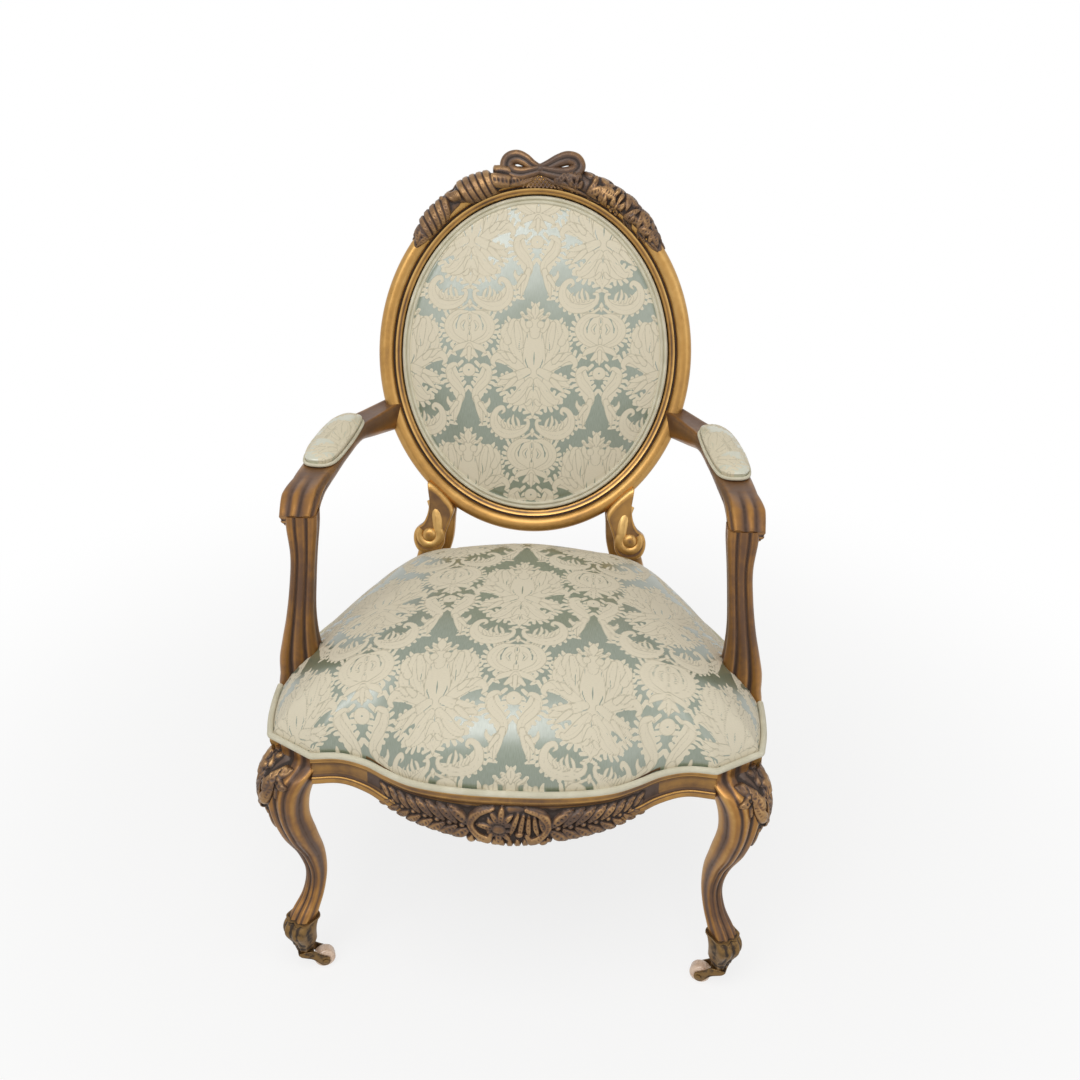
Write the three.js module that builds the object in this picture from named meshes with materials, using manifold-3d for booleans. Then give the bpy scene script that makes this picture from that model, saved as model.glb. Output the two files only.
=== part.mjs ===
// A carved giltwood open armchair with an oval padded back, a sprung seat and casters on its front feet.
// Millimetres, +Z up, the chair faces -Y. The model is built with y = 0 on the line between the
// two front corners of the seat rail, and is centred over the origin at the end.
import * as THREE from "three";
import { mergeVertices } from "three/addons/utils/BufferGeometryUtils.js";
import Module from "manifold-3d";

const wasm = await Module();
wasm.setup();

// Driving dimensions
const gap = 0.35; // glue line or play between two touching pieces
const overrun = 4; // how far a cutter runs past the face it cuts
const railTop = 387; // floor to the top of the seat rail's show wood
const seatHalfWidth = 335; // widest point of the seat, at the arm supports
const seatRearHalfWidth = 192; // half width of the seat's rear edge, between the rear legs' outer faces
const seatDepth = 458; // front corner line to the rear edge of the seat
const railThickness = 30;
const railInset = 3; // the rail's face stands this far inside the piping
const railDrop = 38; // show-wood height beside the front legs
const railBellyDrop = 30; // extra height of the front rail at its middle
const sideRailDrop = 56;
const rimDrop = 47; // rail's top down to its inner rim, which carries the webbing
const rimWidth = 10;
const rearRailThickness = 26;
const tenonLength = 14;
const tenonThickness = 10;
const mouldingDepth = 6; // how deep the rails' cove is cut

// Seat upholstery
const seatCrown = 132; // crown of the seat above the rail
const seatPipingRadius = 4.2;
const coverThickness = 1.4;
const coverEase = 0.8; // space between two layers of a cushion
const coverEdgeRise = 5; // straight edge of the stuffing above the rail
const canvasThickness = 1.6;
const canvasCrown = 74;
const canvasInset = 20; // edge of the spring canvas from the seat's outline
const webbingThickness = 2.4;
const webbingWidth = 48;
const dustCoverThickness = 1.2;
const springRadius = 38;
const springWaistRadius = 26;
const springWireRadius = 2.2;
const springSpread = 118; // middle spring to the corner springs, across
const springSpreadDeep = 108; // middle spring to the corner springs, along the depth

// Front legs
const legHalf = 22.4; // half thickness of the leg below the knee
const legReach = 35; // how far the knee stands out of the corner
const cornerDepth = 50; // how deep the block at the knee's top is
const footTop = 58; // underside of the wooden foot above the floor

// Rear legs and posts
const rearLegHalf = 23;
const rearLegInset = 4; // the leg's outer face inside the seat's rear corner
const rearLegSetBack = 8; // middle of the leg behind the seat's rear edge
const rearFootSplay = 36; // how far the foot stands outside the leg's top
const rearFootRake = 104; // how far the foot stands behind the leg's top
const postHalfWidth = 25;
const postHalfDepth = 13;

// Oval back
const ovalHalfWidth = 203; // sight edge
const ovalHalfHeight = 237; // sight edge
const ovalFace = 34; // width of the frame's face
const ovalThickness = 32;
const ovalLip = 8; // width of the lip that carries the webbing
const backLeanRise = 488; // the back leans by run over rise
const backLeanRun = 152;
const ovalReach = 78.5; // oval's centre behind the rear legs' middle
const ovalRise = 352.8; // oval's centre above the seat rail's top
const backCrown = 30;
const backPipingRadius = 3;
const outsideCrown = 7;
const outsidePipingRadius = 2.2;

// Arms
const armHalfWidth = 21;
const armHalfHeight = 15;
const armSpread = 288; // middle of the arm at its widest
const armRootDrop = 95; // root of the arm below the oval's centre, along the back
const armRootSpread = 9; // root of the arm outside the middle of the oval's face
const armRootDepth = 14; // root of the arm behind the middle of the oval's thickness
const armTop = 664; // middle of the arm at its highest
const padCrown = 21;
const padPipingRadius = 2.4;
const supportHalfWidth = 18;
const supportHalfDepth = 17;
const supportInset = 32; // middle of the support's foot inside the seat's widest point

// Casters
const wheelRadius = 15;
const wheelWidth = 19;
const wheelBore = 3;
const axleRadius = 2.5;
const casterTrail = 27;
const cheekThickness = 2.6;
const cupWall = 2.2;
const crownThickness = 4.4;
const crownClearance = 3; // wheel tread to the underside of the fork's crown
const pintleRadius = 3.2;
const pintleLength = 12;
const pintlePlay = 0.4;

// Finishes
const gilt = new THREE.MeshStandardMaterial({ color: 0xa9762f, roughness: 0.42, metalness: 0.55 });
const carvedGilt = new THREE.MeshStandardMaterial({ color: 0x6d4a2a, roughness: 0.55, metalness: 0.3 });
const beech = new THREE.MeshStandardMaterial({ color: 0xb08a5c, roughness: 0.75, metalness: 0 });
const damask = new THREE.MeshStandardMaterial({ color: 0xb9bfa4, roughness: 0.5, metalness: 0 });
const piping = new THREE.MeshStandardMaterial({ color: 0xe6dfc8, roughness: 0.8, metalness: 0 });
const horsehair = new THREE.MeshStandardMaterial({ color: 0x4a3b2e, roughness: 0.95, metalness: 0 });
const canvas = new THREE.MeshStandardMaterial({ color: 0xb59a6c, roughness: 0.95, metalness: 0 });
const webbing = new THREE.MeshStandardMaterial({ color: 0x9c8156, roughness: 0.95, metalness: 0 });
const steel = new THREE.MeshStandardMaterial({ color: 0x6f6b64, roughness: 0.45, metalness: 0.9 });
const brass = new THREE.MeshStandardMaterial({ color: 0x5b4c38, roughness: 0.5, metalness: 0.85 });
const ceramic = new THREE.MeshStandardMaterial({ color: 0xe9cdb0, roughness: 0.3, metalness: 0 });
const cambric = new THREE.MeshStandardMaterial({ color: 0x2c2a28, roughness: 0.95, metalness: 0 });

const chair = new THREE.Group();
chair.name = "armchair";

// Places that follow from the driving dimensions
const rimHeight = railTop - rimDrop;
const rearLegX = seatRearHalfWidth - rearLegHalf - rearLegInset;
const rearLegY = seatDepth + rearLegSetBack;
const ovalHalfThickness = ovalThickness / 2;

// Small helpers
const vec = (x, y, z) => new THREE.Vector3(x, y, z);
const mix = (a, b, t) => a + (b - a) * t;
const range = (count) => Array.from({ length: count }, (unused, i) => i);

function place(name, geometry, material) {
  const mesh = new THREE.Mesh(geometry, material);
  mesh.name = name;
  chair.add(mesh);
  return mesh;
}

const weldDistance = 1e-4; // vertices nearer than this are one
// A bare, welded copy of a geometry: only positions, with shared vertices merged.
function welded(geometry) {
  const bare = geometry.index ? geometry.toNonIndexed() : geometry.clone();
  for (const key of Object.keys(bare.attributes)) if (key !== "position") bare.deleteAttribute(key);
  return mergeVertices(bare, weldDistance);
}

function solid(geometry) {
  const bare = welded(geometry);
  return new wasm.Manifold(
    new wasm.Mesh({
      numProp: 3,
      vertProperties: new Float32Array(bare.attributes.position.array),
      triVerts: new Uint32Array(bare.index.array),
    }),
  );
}

function geometryOf(manifold) {
  const mesh = manifold.getMesh();
  const positions = new Float32Array(mesh.numVert * 3);
  for (let i = 0; i < mesh.numVert; i++)
    positions.set(mesh.vertProperties.subarray(i * mesh.numProp, i * mesh.numProp + 3), i * 3);
  const geometry = new THREE.BufferGeometry();
  geometry.setAttribute("position", new THREE.BufferAttribute(positions, 3));
  geometry.setIndex(new THREE.BufferAttribute(new Uint32Array(mesh.triVerts), 1));
  return geometry;
}

const joined = (geometries) => geometryOf(geometries.map(solid).reduce((a, b) => a.add(b)));
const cut = (geometry, ...cutters) =>
  geometryOf(cutters.map(solid).reduce((whole, cutter) => whole.subtract(cutter), solid(geometry)));
const trimmed = (geometry, within) => geometryOf(solid(geometry).intersect(solid(within)));

// The largest body of a cut piece, which drops slivers that a cut leaves behind.
const largest = (geometry) =>
  geometryOf(
    solid(geometry)
      .decompose()
      .reduce((a, b) => (a.volume() > b.volume() ? a : b)),
  );

// The same piece on the other side of the chair's middle plane.
function mirrored(geometry) {
  const bare = welded(geometry);
  const position = bare.attributes.position;
  for (let i = 0; i < position.count; i++) position.setX(i, -position.getX(i));
  const index = bare.index;
  for (let i = 0; i < index.count; i += 3) {
    const second = index.getX(i + 1);
    index.setX(i + 1, index.getX(i + 2));
    index.setX(i + 2, second);
  }
  return bare;
}

function facingOut(positions, indices) {
  let volume = 0;
  const corner = (k) => vec(positions[3 * k], positions[3 * k + 1], positions[3 * k + 2]);
  for (let i = 0; i < indices.length; i += 3)
    volume += corner(indices[i]).dot(corner(indices[i + 1]).cross(corner(indices[i + 2])));
  if (volume < 0)
    for (let i = 0; i < indices.length; i += 3)
      [indices[i + 1], indices[i + 2]] = [indices[i + 2], indices[i + 1]];
  return indices;
}

// Triangles that close one ring, found on the plane that the ring lies nearest to.
function capOf(ring, first) {
  const normal = vec(0, 0, 0);
  ring.forEach((p, i) => normal.add(p.clone().cross(ring[(i + 1) % ring.length])));
  normal.normalize();
  const across = ring[1].clone().sub(ring[0]).projectOnPlane(normal).normalize();
  const up = normal.clone().cross(across);
  const flat = ring.map((p) => new THREE.Vector2(p.dot(across), p.dot(up)));
  return THREE.ShapeUtils.triangulateShape(flat, []).flatMap((t) => t.map((k) => k + first));
}

// A closed solid through rings of points; a closed run joins its last ring to its first.
function loft(rings, closed = false) {
  const count = rings[0].length;
  const positions = rings.flat().flatMap((p) => [p.x, p.y, p.z]);
  const indices = [];
  const spans = closed ? rings.length : rings.length - 1;
  for (const i of range(spans))
    for (const j of range(count)) {
      const a = i * count + j;
      const b = i * count + ((j + 1) % count);
      const c = ((i + 1) % rings.length) * count + ((j + 1) % count);
      const d = ((i + 1) % rings.length) * count + j;
      indices.push(a, b, c, a, c, d);
    }
  if (!closed) {
    const last = (rings.length - 1) * count;
    for (const [ring, first, turned] of [
      [rings[0], 0, true],
      [rings.at(-1), last, false],
    ]) {
      const cap = capOf(ring, first);
      for (let i = 0; i < cap.length; i += 3)
        indices.push(cap[i], cap[i + (turned ? 2 : 1)], cap[i + (turned ? 1 : 2)]);
    }
  }
  const geometry = new THREE.BufferGeometry();
  geometry.setAttribute("position", new THREE.BufferAttribute(new Float32Array(positions), 3));
  geometry.setIndex(facingOut(positions, indices));
  return geometry;
}

// A box between two corners.
function block(low, high) {
  const size = high.clone().sub(low);
  const middle = low.clone().add(high).multiplyScalar(0.5);
  return new THREE.BoxGeometry(size.x, size.y, size.z).translate(middle.x, middle.y, middle.z);
}

// A box set on a frame: length along `along`, from its start point, with `up` across it.
function bar(start, along, up, length, width, height) {
  const side = up.clone().cross(along).normalize();
  const lift = along.clone().cross(side).normalize();
  return new THREE.BoxGeometry(width, height, length)
    .translate(0, 0, length / 2)
    .applyMatrix4(new THREE.Matrix4().makeBasis(side, lift, along.clone().normalize()).setPosition(start));
}

// A round tube along a closed or open list of points.
function tube(points, radius, sides, closed) {
  const rings = points.map((p, i) => {
    const before = closed ? points.at(i - 1) : points[Math.max(i - 1, 0)];
    const after = closed ? points[(i + 1) % points.length] : points[Math.min(i + 1, points.length - 1)];
    const along = after.clone().sub(before).normalize();
    const side = along.clone().cross(vec(0, 0, 1)).normalize();
    const up = side.clone().cross(along).normalize();
    return range(sides).map((k) => {
      const angle = (2 * Math.PI * k) / sides;
      return p
        .clone()
        .addScaledVector(side, radius * Math.cos(angle))
        .addScaledVector(up, radius * Math.sin(angle));
    });
  });
  return loft(rings, closed);
}

// Seat outline, from the middle of the front round to the middle of the rear. The front's and the
// corner's points are shares of the seat's half width and depth.
const frontShares = [
  [0, -0.131],
  [0.146, -0.128],
  [0.275, -0.117],
  [0.388, -0.096],
  [0.484, -0.058],
  [0.561, -0.022],
  [0.663, 0.002],
  [0.773, -0.004],
];
const cornerShares = [
  [0.773, -0.004],
  [0.964, 0.087],
];
// The side's points: share of the way out from the rear corner's width to the widest point, and share
// of the seat's depth.
const sideShares = [
  [0.972, 0.175],
  [1, 0.317],
  [0.972, 0.437],
  [0.852, 0.568],
  [0.672, 0.699],
  [0.454, 0.819],
  [0.225, 0.917],
  [0, 0.983],
];
// The rear's points: shares of the rear's half width and of the seat's depth.
const rearShares = [
  [1, 0.983],
  [0.52, 0.998],
  [0, 1],
];

function stretch(points, steps) {
  return new THREE.CatmullRomCurve3(points, false, "centripetal").getPoints(steps);
}
const onFront = ([x, y]) => vec(x * seatHalfWidth, y * seatDepth, 0);
const onSide = ([x, y]) => vec(mix(seatRearHalfWidth, seatHalfWidth, x), y * seatDepth, 0);
const onRear = ([x, y]) => vec(x * seatRearHalfWidth, y * seatDepth, 0);

const frontSteps = 7;
const sideSteps = 6;
const rearSteps = 2;
const frontRun = stretch(frontShares.map(onFront), frontSteps);
const cornerRun = cornerShares.map(onFront);
const sideRun = stretch([cornerRun.at(-1), ...sideShares.map(onSide)], sideSteps);
const rearRun = stretch(rearShares.map(onRear), rearSteps);
const halfOutline = [...frontRun, ...cornerRun.slice(1), ...sideRun.slice(1), ...rearRun.slice(1)];
const otherSide = halfOutline
  .slice(1, -1)
  .reverse()
  .map((p) => vec(-p.x, p.y, 0));
const outline = [...halfOutline, ...otherSide]; // anticlockwise from the middle of the front

const sharpestTurn = 0.5; // least cosine of half a turn that an inset still follows
// The inward normal at each point of a run of points, closed or open, longer where the run turns.
function inwardNormals(points, closed) {
  return points.map((p, i) => {
    const before = closed ? points.at(i - 1) : points[Math.max(i - 1, 0)];
    const after = closed ? points[(i + 1) % points.length] : points[Math.min(i + 1, points.length - 1)];
    const first = (i > 0 || closed ? p.clone().sub(before) : after.clone().sub(p)).normalize();
    const second = (i < points.length - 1 || closed ? after.clone().sub(p) : first.clone()).normalize();
    const along = first.clone().add(second).normalize();
    const stretchOut = 1 / Math.max(sharpestTurn, along.dot(first));
    return vec(-along.y, along.x, 0).multiplyScalar(stretchOut);
  });
}
const outlineNormals = inwardNormals(outline, true);
const inset = (amount, z) =>
  outline.map((p, i) => p.clone().addScaledVector(outlineNormals[i], amount).setZ(z));

// Front legs: the section's middle runs in the upright plane through the corner's face.
const cusp = cornerRun[0];
const corner = cornerRun.at(-1);
const faceAlong = corner.clone().sub(cusp).normalize();
const faceOut = vec(faceAlong.y, -faceAlong.x, 0);
const faceMiddle = cusp.clone().add(corner).multiplyScalar(0.5);
// Height as a share of the rail top, then the middle's reach, the half depth and the half width as
// shares of the knee's reach and the leg's half thickness.
const legShares = [
  [1, -0.8, 1.11, 1.6],
  [0.955, -0.78, 1.13, 1.56],
  [0.915, -0.2, 1.3, 1.42],
  [0.86, 0.2, 1.14, 1.18],
  [0.76, 0.26, 0.98, 0.97],
  [0.635, -0.11, 0.91, 0.91],
  [0.515, -0.63, 0.7, 0.7],
  [0.405, -0.8, 0.55, 0.55],
  [0.328, -0.54, 0.57, 0.57],
  [0.277, -0.08, 0.68, 0.68],
  [0.252, 0.13, 0.73, 0.72],
  [0.23, 0.31, 0.77, 0.76],
  [0.205, 0.36, 0.75, 0.74],
  [0.15, 0.2, 0.56, 0.58],
];
const cupStationIndex = 10; // the station where the caster's cup begins
const legFluteShare = 0.13; // depth of the groove down the leg's front as a share of its half width
const legSectionShares = [
  [-1, -0.55],
  [-0.72, -1],
  [0.5, -1],
  [0.95, -0.72],
  [1, -0.35],
  [1, 0],
  [1, 0.35],
  [0.95, 0.72],
  [0.5, 1],
  [-0.72, 1],
  [-1, 0.55],
];

function legRings(growth) {
  return legShares.map(([height, reach, depth, width], station) => {
    const middle = faceMiddle.clone().addScaledVector(faceOut, reach * legReach);
    const last = station === legShares.length - 1;
    const z = last ? footTop - growth : height * railTop + (station === 0 ? growth : 0);
    return legSectionShares.map(([out, across]) => {
      const fluted = across === 0 && station > 2 && station < cupStationIndex;
      const groove = fluted ? legFluteShare * width * legHalf : 0;
      return middle
        .clone()
        .addScaledVector(faceOut, out * (depth * legHalf + growth) - groove)
        .addScaledVector(faceAlong, across * (width * legHalf + growth))
        .setZ(z);
    });
  });
}
const legCutter = loft(legRings(gap));

// Rear legs: one timber from the floor to the foot of the oval.
// Height share of the rail top, splay share, rake share, half width share, half depth share.
const rearLegShares = [
  [0, 1, 1, 0.62, 0.62],
  [0.2, 0.7, 0.68, 0.68, 0.68],
  [0.45, 0.36, 0.33, 0.8, 0.8],
  [0.7, 0.1, 0.1, 0.92, 0.95],
  [0.86, 0, 0.01, 1, 1],
  [1, 0, 0, 1, 1],
];
const leanLength = Math.hypot(backLeanRise, backLeanRun);
const backUp = vec(0, backLeanRun, backLeanRise).divideScalar(leanLength);
const backOut = vec(0, -backLeanRise, backLeanRun).divideScalar(leanLength); // towards the sitter
const ovalCentre = vec(0, rearLegY + ovalReach, railTop + ovalRise);
// A point of the back's own frame: across, up from the oval's centre, and out towards the sitter.
const onBack = (across, up, out) =>
  ovalCentre.clone().addScaledVector(backUp, up).addScaledVector(backOut, out).setX(across);

// Places up the post: middle as a share of the leg's, drop below the oval's centre as a share of its
// outer half height, and half width as a share of the post's own.
const ovalOuterHalfWidth = ovalHalfWidth + ovalFace;
const ovalOuterHalfHeight = ovalHalfHeight + ovalFace;
const postSetBack = 7; // the post's middle behind the oval's own middle plane
const postShares = [
  [0.88, 1.06, 1],
  [0.84, 0.92, 0.86],
  [0.8, 0.8, 0.76],
];
function rearLegRings(growth) {
  const section = (middle, across, deep, halfWidth, halfDepth) =>
    [
      [-1, -1],
      [1, -1],
      [1, 1],
      [-1, 1],
    ].map(([x, y]) =>
      middle
        .clone()
        .addScaledVector(across, x * (halfWidth + growth))
        .addScaledVector(deep, y * (halfDepth + growth)),
    );
  const low = rearLegShares.map(([height, splay, rake, width, depth], station) =>
    section(
      vec(
        rearLegX + splay * rearFootSplay,
        rearLegY + rake * rearFootRake,
        height * railTop - (station === 0 ? growth : 0),
      ),
      vec(1, 0, 0),
      vec(0, 1, 0),
      width * rearLegHalf,
      depth * rearLegHalf,
    ),
  );
  const high = postShares.map(([across, drop, width], station) =>
    section(
      onBack(across * rearLegX, -drop * ovalOuterHalfHeight, -postSetBack).addScaledVector(
        backUp,
        station === postShares.length - 1 ? growth : 0,
      ),
      vec(1, 0, 0),
      backOut.clone().negate(),
      width * postHalfWidth,
      postHalfDepth,
    ),
  );
  return [...low, ...high];
}
const rearLegCutter = loft(rearLegRings(gap));

// Seat rails. The show face of a rail's section, from its top down: share of the moulding's depth
// behind the face, share of the rail's height, then the way each point moves forwards and upwards where
// the section grows.
const railFaceShares = [
  [0, 1, 1, 1],
  [0, 0.86, 1, -1],
  [1, 0.72, 1, -1],
  [1, 0.3, 1, 1],
  [0.15, 0.14, 1, 1],
  [0.3, 0, 0.5, -1.5],
];

function rail(run, drops, growth = 0) {
  const normals = inwardNormals(run, false);
  const back = railInset + railThickness + growth;
  const rings = run.map((p, i) => {
    const at = (behind, z) => p.clone().addScaledVector(normals[i], behind).setZ(z);
    const bottom = railTop - drops[i];
    return [
      ...railFaceShares.map(([deep, height, forward, up]) =>
        at(railInset + deep * mouldingDepth - forward * growth, mix(bottom, railTop, height) + up * growth),
      ),
      at(back - rimWidth - growth, rimHeight - growth),
      at(back, rimHeight - growth),
      at(back, railTop + growth),
    ];
  });
  return loft(rings);
}

// Depth of the belly at the front rail's points, from the middle outwards.
const bellyShares = [1, 0.95, 0.77, 0.55, 0.38, 0.25, 0.07, 0.12];
const frontHalfDrops = frontRun.map((p, i) => railDrop + bellyShares[i] * railBellyDrop);
const frontWholeRun = [
  ...frontRun
    .slice(1)
    .reverse()
    .map((p) => vec(-p.x, p.y, 0)),
  ...frontRun,
];
const frontWholeDrops = [...frontHalfDrops.slice(1).reverse(), ...frontHalfDrops];

const sideDropShares = [0.68, 0.74, 0.92, 1, 0.99, 0.97, 0.96];
const sideReachShares = [-0.62, 0.78]; // the side rail runs this far into the rear leg
const sideReach = vec(...sideReachShares, 0).multiplyScalar(rearLegHalf);
const sideRailRun = [...sideRun, sideRun.at(-1).clone().add(sideReach)];
const sideRailDrops = [...sideDropShares, sideDropShares.at(-1)].map((share) => share * sideRailDrop);

// Tenons of the rails, set square to the faces they enter.
const tenonHeight = railDrop / 2;
const tenonMiddle = railTop - railDrop / 2;
function tenonAt(point, along, growth) {
  const start = point.clone().setZ(tenonMiddle).addScaledVector(along, -tenonLength);
  return bar(
    start,
    along,
    vec(0, 0, 1),
    2 * tenonLength + growth,
    tenonThickness + 2 * growth,
    tenonHeight + 2 * growth,
  );
}
const frontTenonPoint = cusp.clone().addScaledVector(faceOut, -cornerDepth / 2);
const frontTenon = (growth) => tenonAt(frontTenonPoint, faceAlong.clone(), growth);
const sideTenonPoint = corner.clone().addScaledVector(faceOut, -cornerDepth / 2);
const sideTenon = (growth) => tenonAt(sideTenonPoint, faceAlong.clone().negate(), growth);
const rearRailMiddleY = seatDepth - seatPipingRadius / 2;
const rearTenonPoint = vec(rearLegX - rearLegHalf, rearRailMiddleY, 0);
const rearTenon = (growth) => tenonAt(rearTenonPoint, vec(1, 0, 0), growth);

const sideRearShare = -0.35; // the side rail's rear tenon starts this far before the rail's end
const sideRearPoint = sideRun.at(-1).clone().addScaledVector(sideReach, sideRearShare);
const sideRearTenon = (growth) => tenonAt(sideRearPoint, sideReach.clone().normalize(), growth);

// Front rail, with a tenon at each end let into the legs.
const frontRailBody = rail(frontWholeRun, frontWholeDrops);
const bareFrontRail = cut(frontRailBody, legCutter, mirrored(legCutter));
const frontRail = joined([bareFrontRail, frontTenon(0), mirrored(frontTenon(0))]);
place("front_rail", frontRail, gilt);

// Side rails, cut to the front and rear legs.
const sideRailBody = largest(cut(rail(sideRailRun, sideRailDrops), legCutter, rearLegCutter));
const sideRail = joined([sideRailBody, sideTenon(0), sideRearTenon(0)]);
place("right_side_rail", sideRail, gilt);
place("left_side_rail", mirrored(sideRail), gilt);

// Rear rail, between the rear legs.
const rearRailHalf = rearLegX - rearLegHalf - gap;
const rearRail = joined([
  block(
    vec(-rearRailHalf, rearRailMiddleY - rearRailThickness / 2, rimHeight),
    vec(rearRailHalf, rearRailMiddleY + rearRailThickness / 2, railTop),
  ),
  rearTenon(0),
  mirrored(rearTenon(0)),
]);
place("rear_rail", rearRail, gilt);

// Front legs, mortised for the rails.
const frontLeg = cut(loft(legRings(0)), frontTenon(gap), sideTenon(gap));
place("right_front_leg", frontLeg, gilt);
place("left_front_leg", mirrored(frontLeg), gilt);

// Rear legs, mortised for the rear rail.
const rearLeg = cut(loft(rearLegRings(0)), rearTenon(gap), sideRearTenon(gap));
place("right_rear_leg", rearLeg, gilt);
place("left_rear_leg", mirrored(rearLeg), gilt);

// Oval frame. A section across the frame: shares of the lip's or the face's width outwards from the
// sight edge, shares of the half thickness towards the sitter, then the way each point moves outwards
// and towards the sitter where the section grows.
const lipFrontShare = -0.2;
const lipBackShare = -0.7;
const lipSectionShares = [
  [-1, lipBackShare, -1, -1],
  [-1, lipFrontShare, -1, 1],
];
const ovalSectionShares = [
  [0, lipFrontShare, -1, 0],
  [0, 0.22, -1, 0],
  [0.36, 0.66, 0, 1],
  [0.52, 0.96, 0, 1],
  [0.84, 0.98, 0, 1],
  [1, 0.5, 1, 1],
  [1, -1, 1, -1],
  [0, -1, -1, -1],
  [0, lipBackShare, -1, -1],
];

// A point of the back at an angle, a distance outwards from the sight edge and out of the back.
function aroundOval(angle, radial, out) {
  const across = (ovalHalfWidth + radial) * Math.cos(angle);
  return onBack(across, (ovalHalfHeight + radial) * Math.sin(angle), out);
}
function ovalRing(angle, growth) {
  const row = (width) => ([radial, out, spread, rise]) =>
    aroundOval(angle, radial * width + spread * growth, out * ovalHalfThickness + rise * growth);
  return [...lipSectionShares.map(row(ovalLip)), ...ovalSectionShares.map(row(ovalFace))];
}
const ovalSpan = (from, to, steps, growth = 0) =>
  loft(range(steps + 1).map((i) => ovalRing(THREE.MathUtils.degToRad(mix(from, to, i / steps)), growth)));
const crestEndAngle = 38; // degrees above the middle where the crest rail ends
const footEndAngle = 52; // degrees below the middle where the lower rail ends
const jointTurn = THREE.MathUtils.radToDeg(gap / 2 / ovalHalfHeight);
const rightAngle = 90;
const crestStartAngle = crestEndAngle + jointTurn;
const crestSteps = 10;
const stileSteps = 9;
const lowerSteps = 8;

// A tenon across the joint of two oval pieces, along the ring's own direction.
function ovalTenon(degrees, forwards, growth) {
  const angle = THREE.MathUtils.degToRad(degrees);
  const a = ovalHalfWidth + ovalFace / 2;
  const b = ovalHalfHeight + ovalFace / 2;
  const point = onBack(a * Math.cos(angle), b * Math.sin(angle), 0);
  const along = vec(-a * Math.sin(angle), 0, 0)
    .addScaledVector(backUp, b * Math.cos(angle))
    .multiplyScalar(forwards)
    .normalize();
  const start = point.addScaledVector(along, -tenonLength);
  return bar(
    start,
    along,
    backOut,
    2 * tenonLength + growth,
    tenonThickness + 2 * growth,
    tenonThickness + 2 * growth,
  );
}
const crestTenon = (growth) => ovalTenon(crestEndAngle, -1, growth);
const lowerTenon = (growth) => ovalTenon(-footEndAngle, 1, growth);

const crestRail = joined([
  ovalSpan(crestStartAngle, 2 * rightAngle - crestStartAngle, crestSteps),
  crestTenon(0),
  mirrored(crestTenon(0)),
]);
const lowerRail = joined([
  cut(
    ovalSpan(-footEndAngle - jointTurn, footEndAngle + jointTurn - 2 * rightAngle, lowerSteps),
    rearLegCutter,
    mirrored(rearLegCutter),
  ),
  lowerTenon(0),
  mirrored(lowerTenon(0)),
]);
const stileSpan = ovalSpan(-footEndAngle, crestEndAngle, stileSteps);
const stileBody = cut(stileSpan, crestTenon(gap), lowerTenon(gap), rearLegCutter);

place("crest_rail", crestRail, gilt);
place("lower_oval_rail", lowerRail, gilt);

// Arms. The middle line from the oval to the elbow: shares of the way from the root out to the arm's
// spread, forwards to its front end and up to its top, then the drop below that as a share of the arm's
// half height, and the half width and half height there as shares of the arm's own.
const armShares = [
  [0, 0, 0, 0, 0.8, 1.5],
  [0.373, 0.177, 0.517, 0, 0.92, 1.15],
  [0.654, 0.314, 0.897, 0, 1.08, 0.84],
  [0.812, 0.511, 1, 0, 1.14, 0.76],
  [0.908, 0.698, 1, 0, 1.14, 0.78],
  [0.954, 0.828, 1, 0, 1.08, 0.95],
  [0.992, 0.927, 1, 0.31, 1.2, 1.2],
  [1, 1, 1, 1.33, 1.08, 1.2],
];
const armWidthIndex = 4;
const armHeightIndex = 5;
const armFrontShare = 0.345; // the arm's front end as a share of the seat's depth
const armRootAngle = -Math.asin(armRootDrop / (ovalHalfHeight + ovalFace / 2));
const armRootPoint = aroundOval(armRootAngle, ovalFace / 2, -armRootDepth).add(vec(armRootSpread, 0, 0));
const armCurve = new THREE.CatmullRomCurve3(
  armShares.map(([spread, forward, rise, drop]) =>
    vec(
      mix(armRootPoint.x, armSpread, spread),
      mix(armRootPoint.y, armFrontShare * seatDepth, forward),
      mix(armRootPoint.z, armTop, rise) - drop * armHalfHeight,
    ),
  ),
);
const armSectionShares = [
  [-1, 0.3],
  [-0.92, 1],
  [0, 1.02],
  [0.92, 1],
  [1, 0.3],
  [0.85, -0.6],
  [0.4, -1],
  [-0.4, -1],
  [-0.85, -0.6],
];
const armSteps = 13;

// The arm's middle, directions and half sizes at a share of its length.
function armFrame(share) {
  const held = THREE.MathUtils.clamp(share, 0, 1);
  const station = held * (armShares.length - 1);
  const low = Math.min(Math.floor(station), armShares.length - 2);
  const between = (column) => mix(armShares[low][column], armShares[low + 1][column], station - low);
  const along = armCurve.getTangent(held);
  const side = along.clone().cross(vec(0, 0, 1)).normalize();
  return {
    middle: armCurve.getPoint(held),
    along,
    side,
    up: side.clone().cross(along).normalize(),
    width: between(armWidthIndex) * armHalfWidth,
    height: between(armHeightIndex) * armHalfHeight,
  };
}

function armBody(growth) {
  const rings = range(armSteps + 1).map((i) => {
    const { middle, along, side, up, width, height } = armFrame(i / armSteps);
    const reach = i === 0 ? -growth : i === armSteps ? growth : 0;
    return armSectionShares.map(([across, lift]) =>
      middle
        .clone()
        .addScaledVector(along, reach)
        .addScaledVector(side, across * (width + growth))
        .addScaledVector(up, lift * (height + growth)),
    );
  });
  return loft(rings);
}

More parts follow.
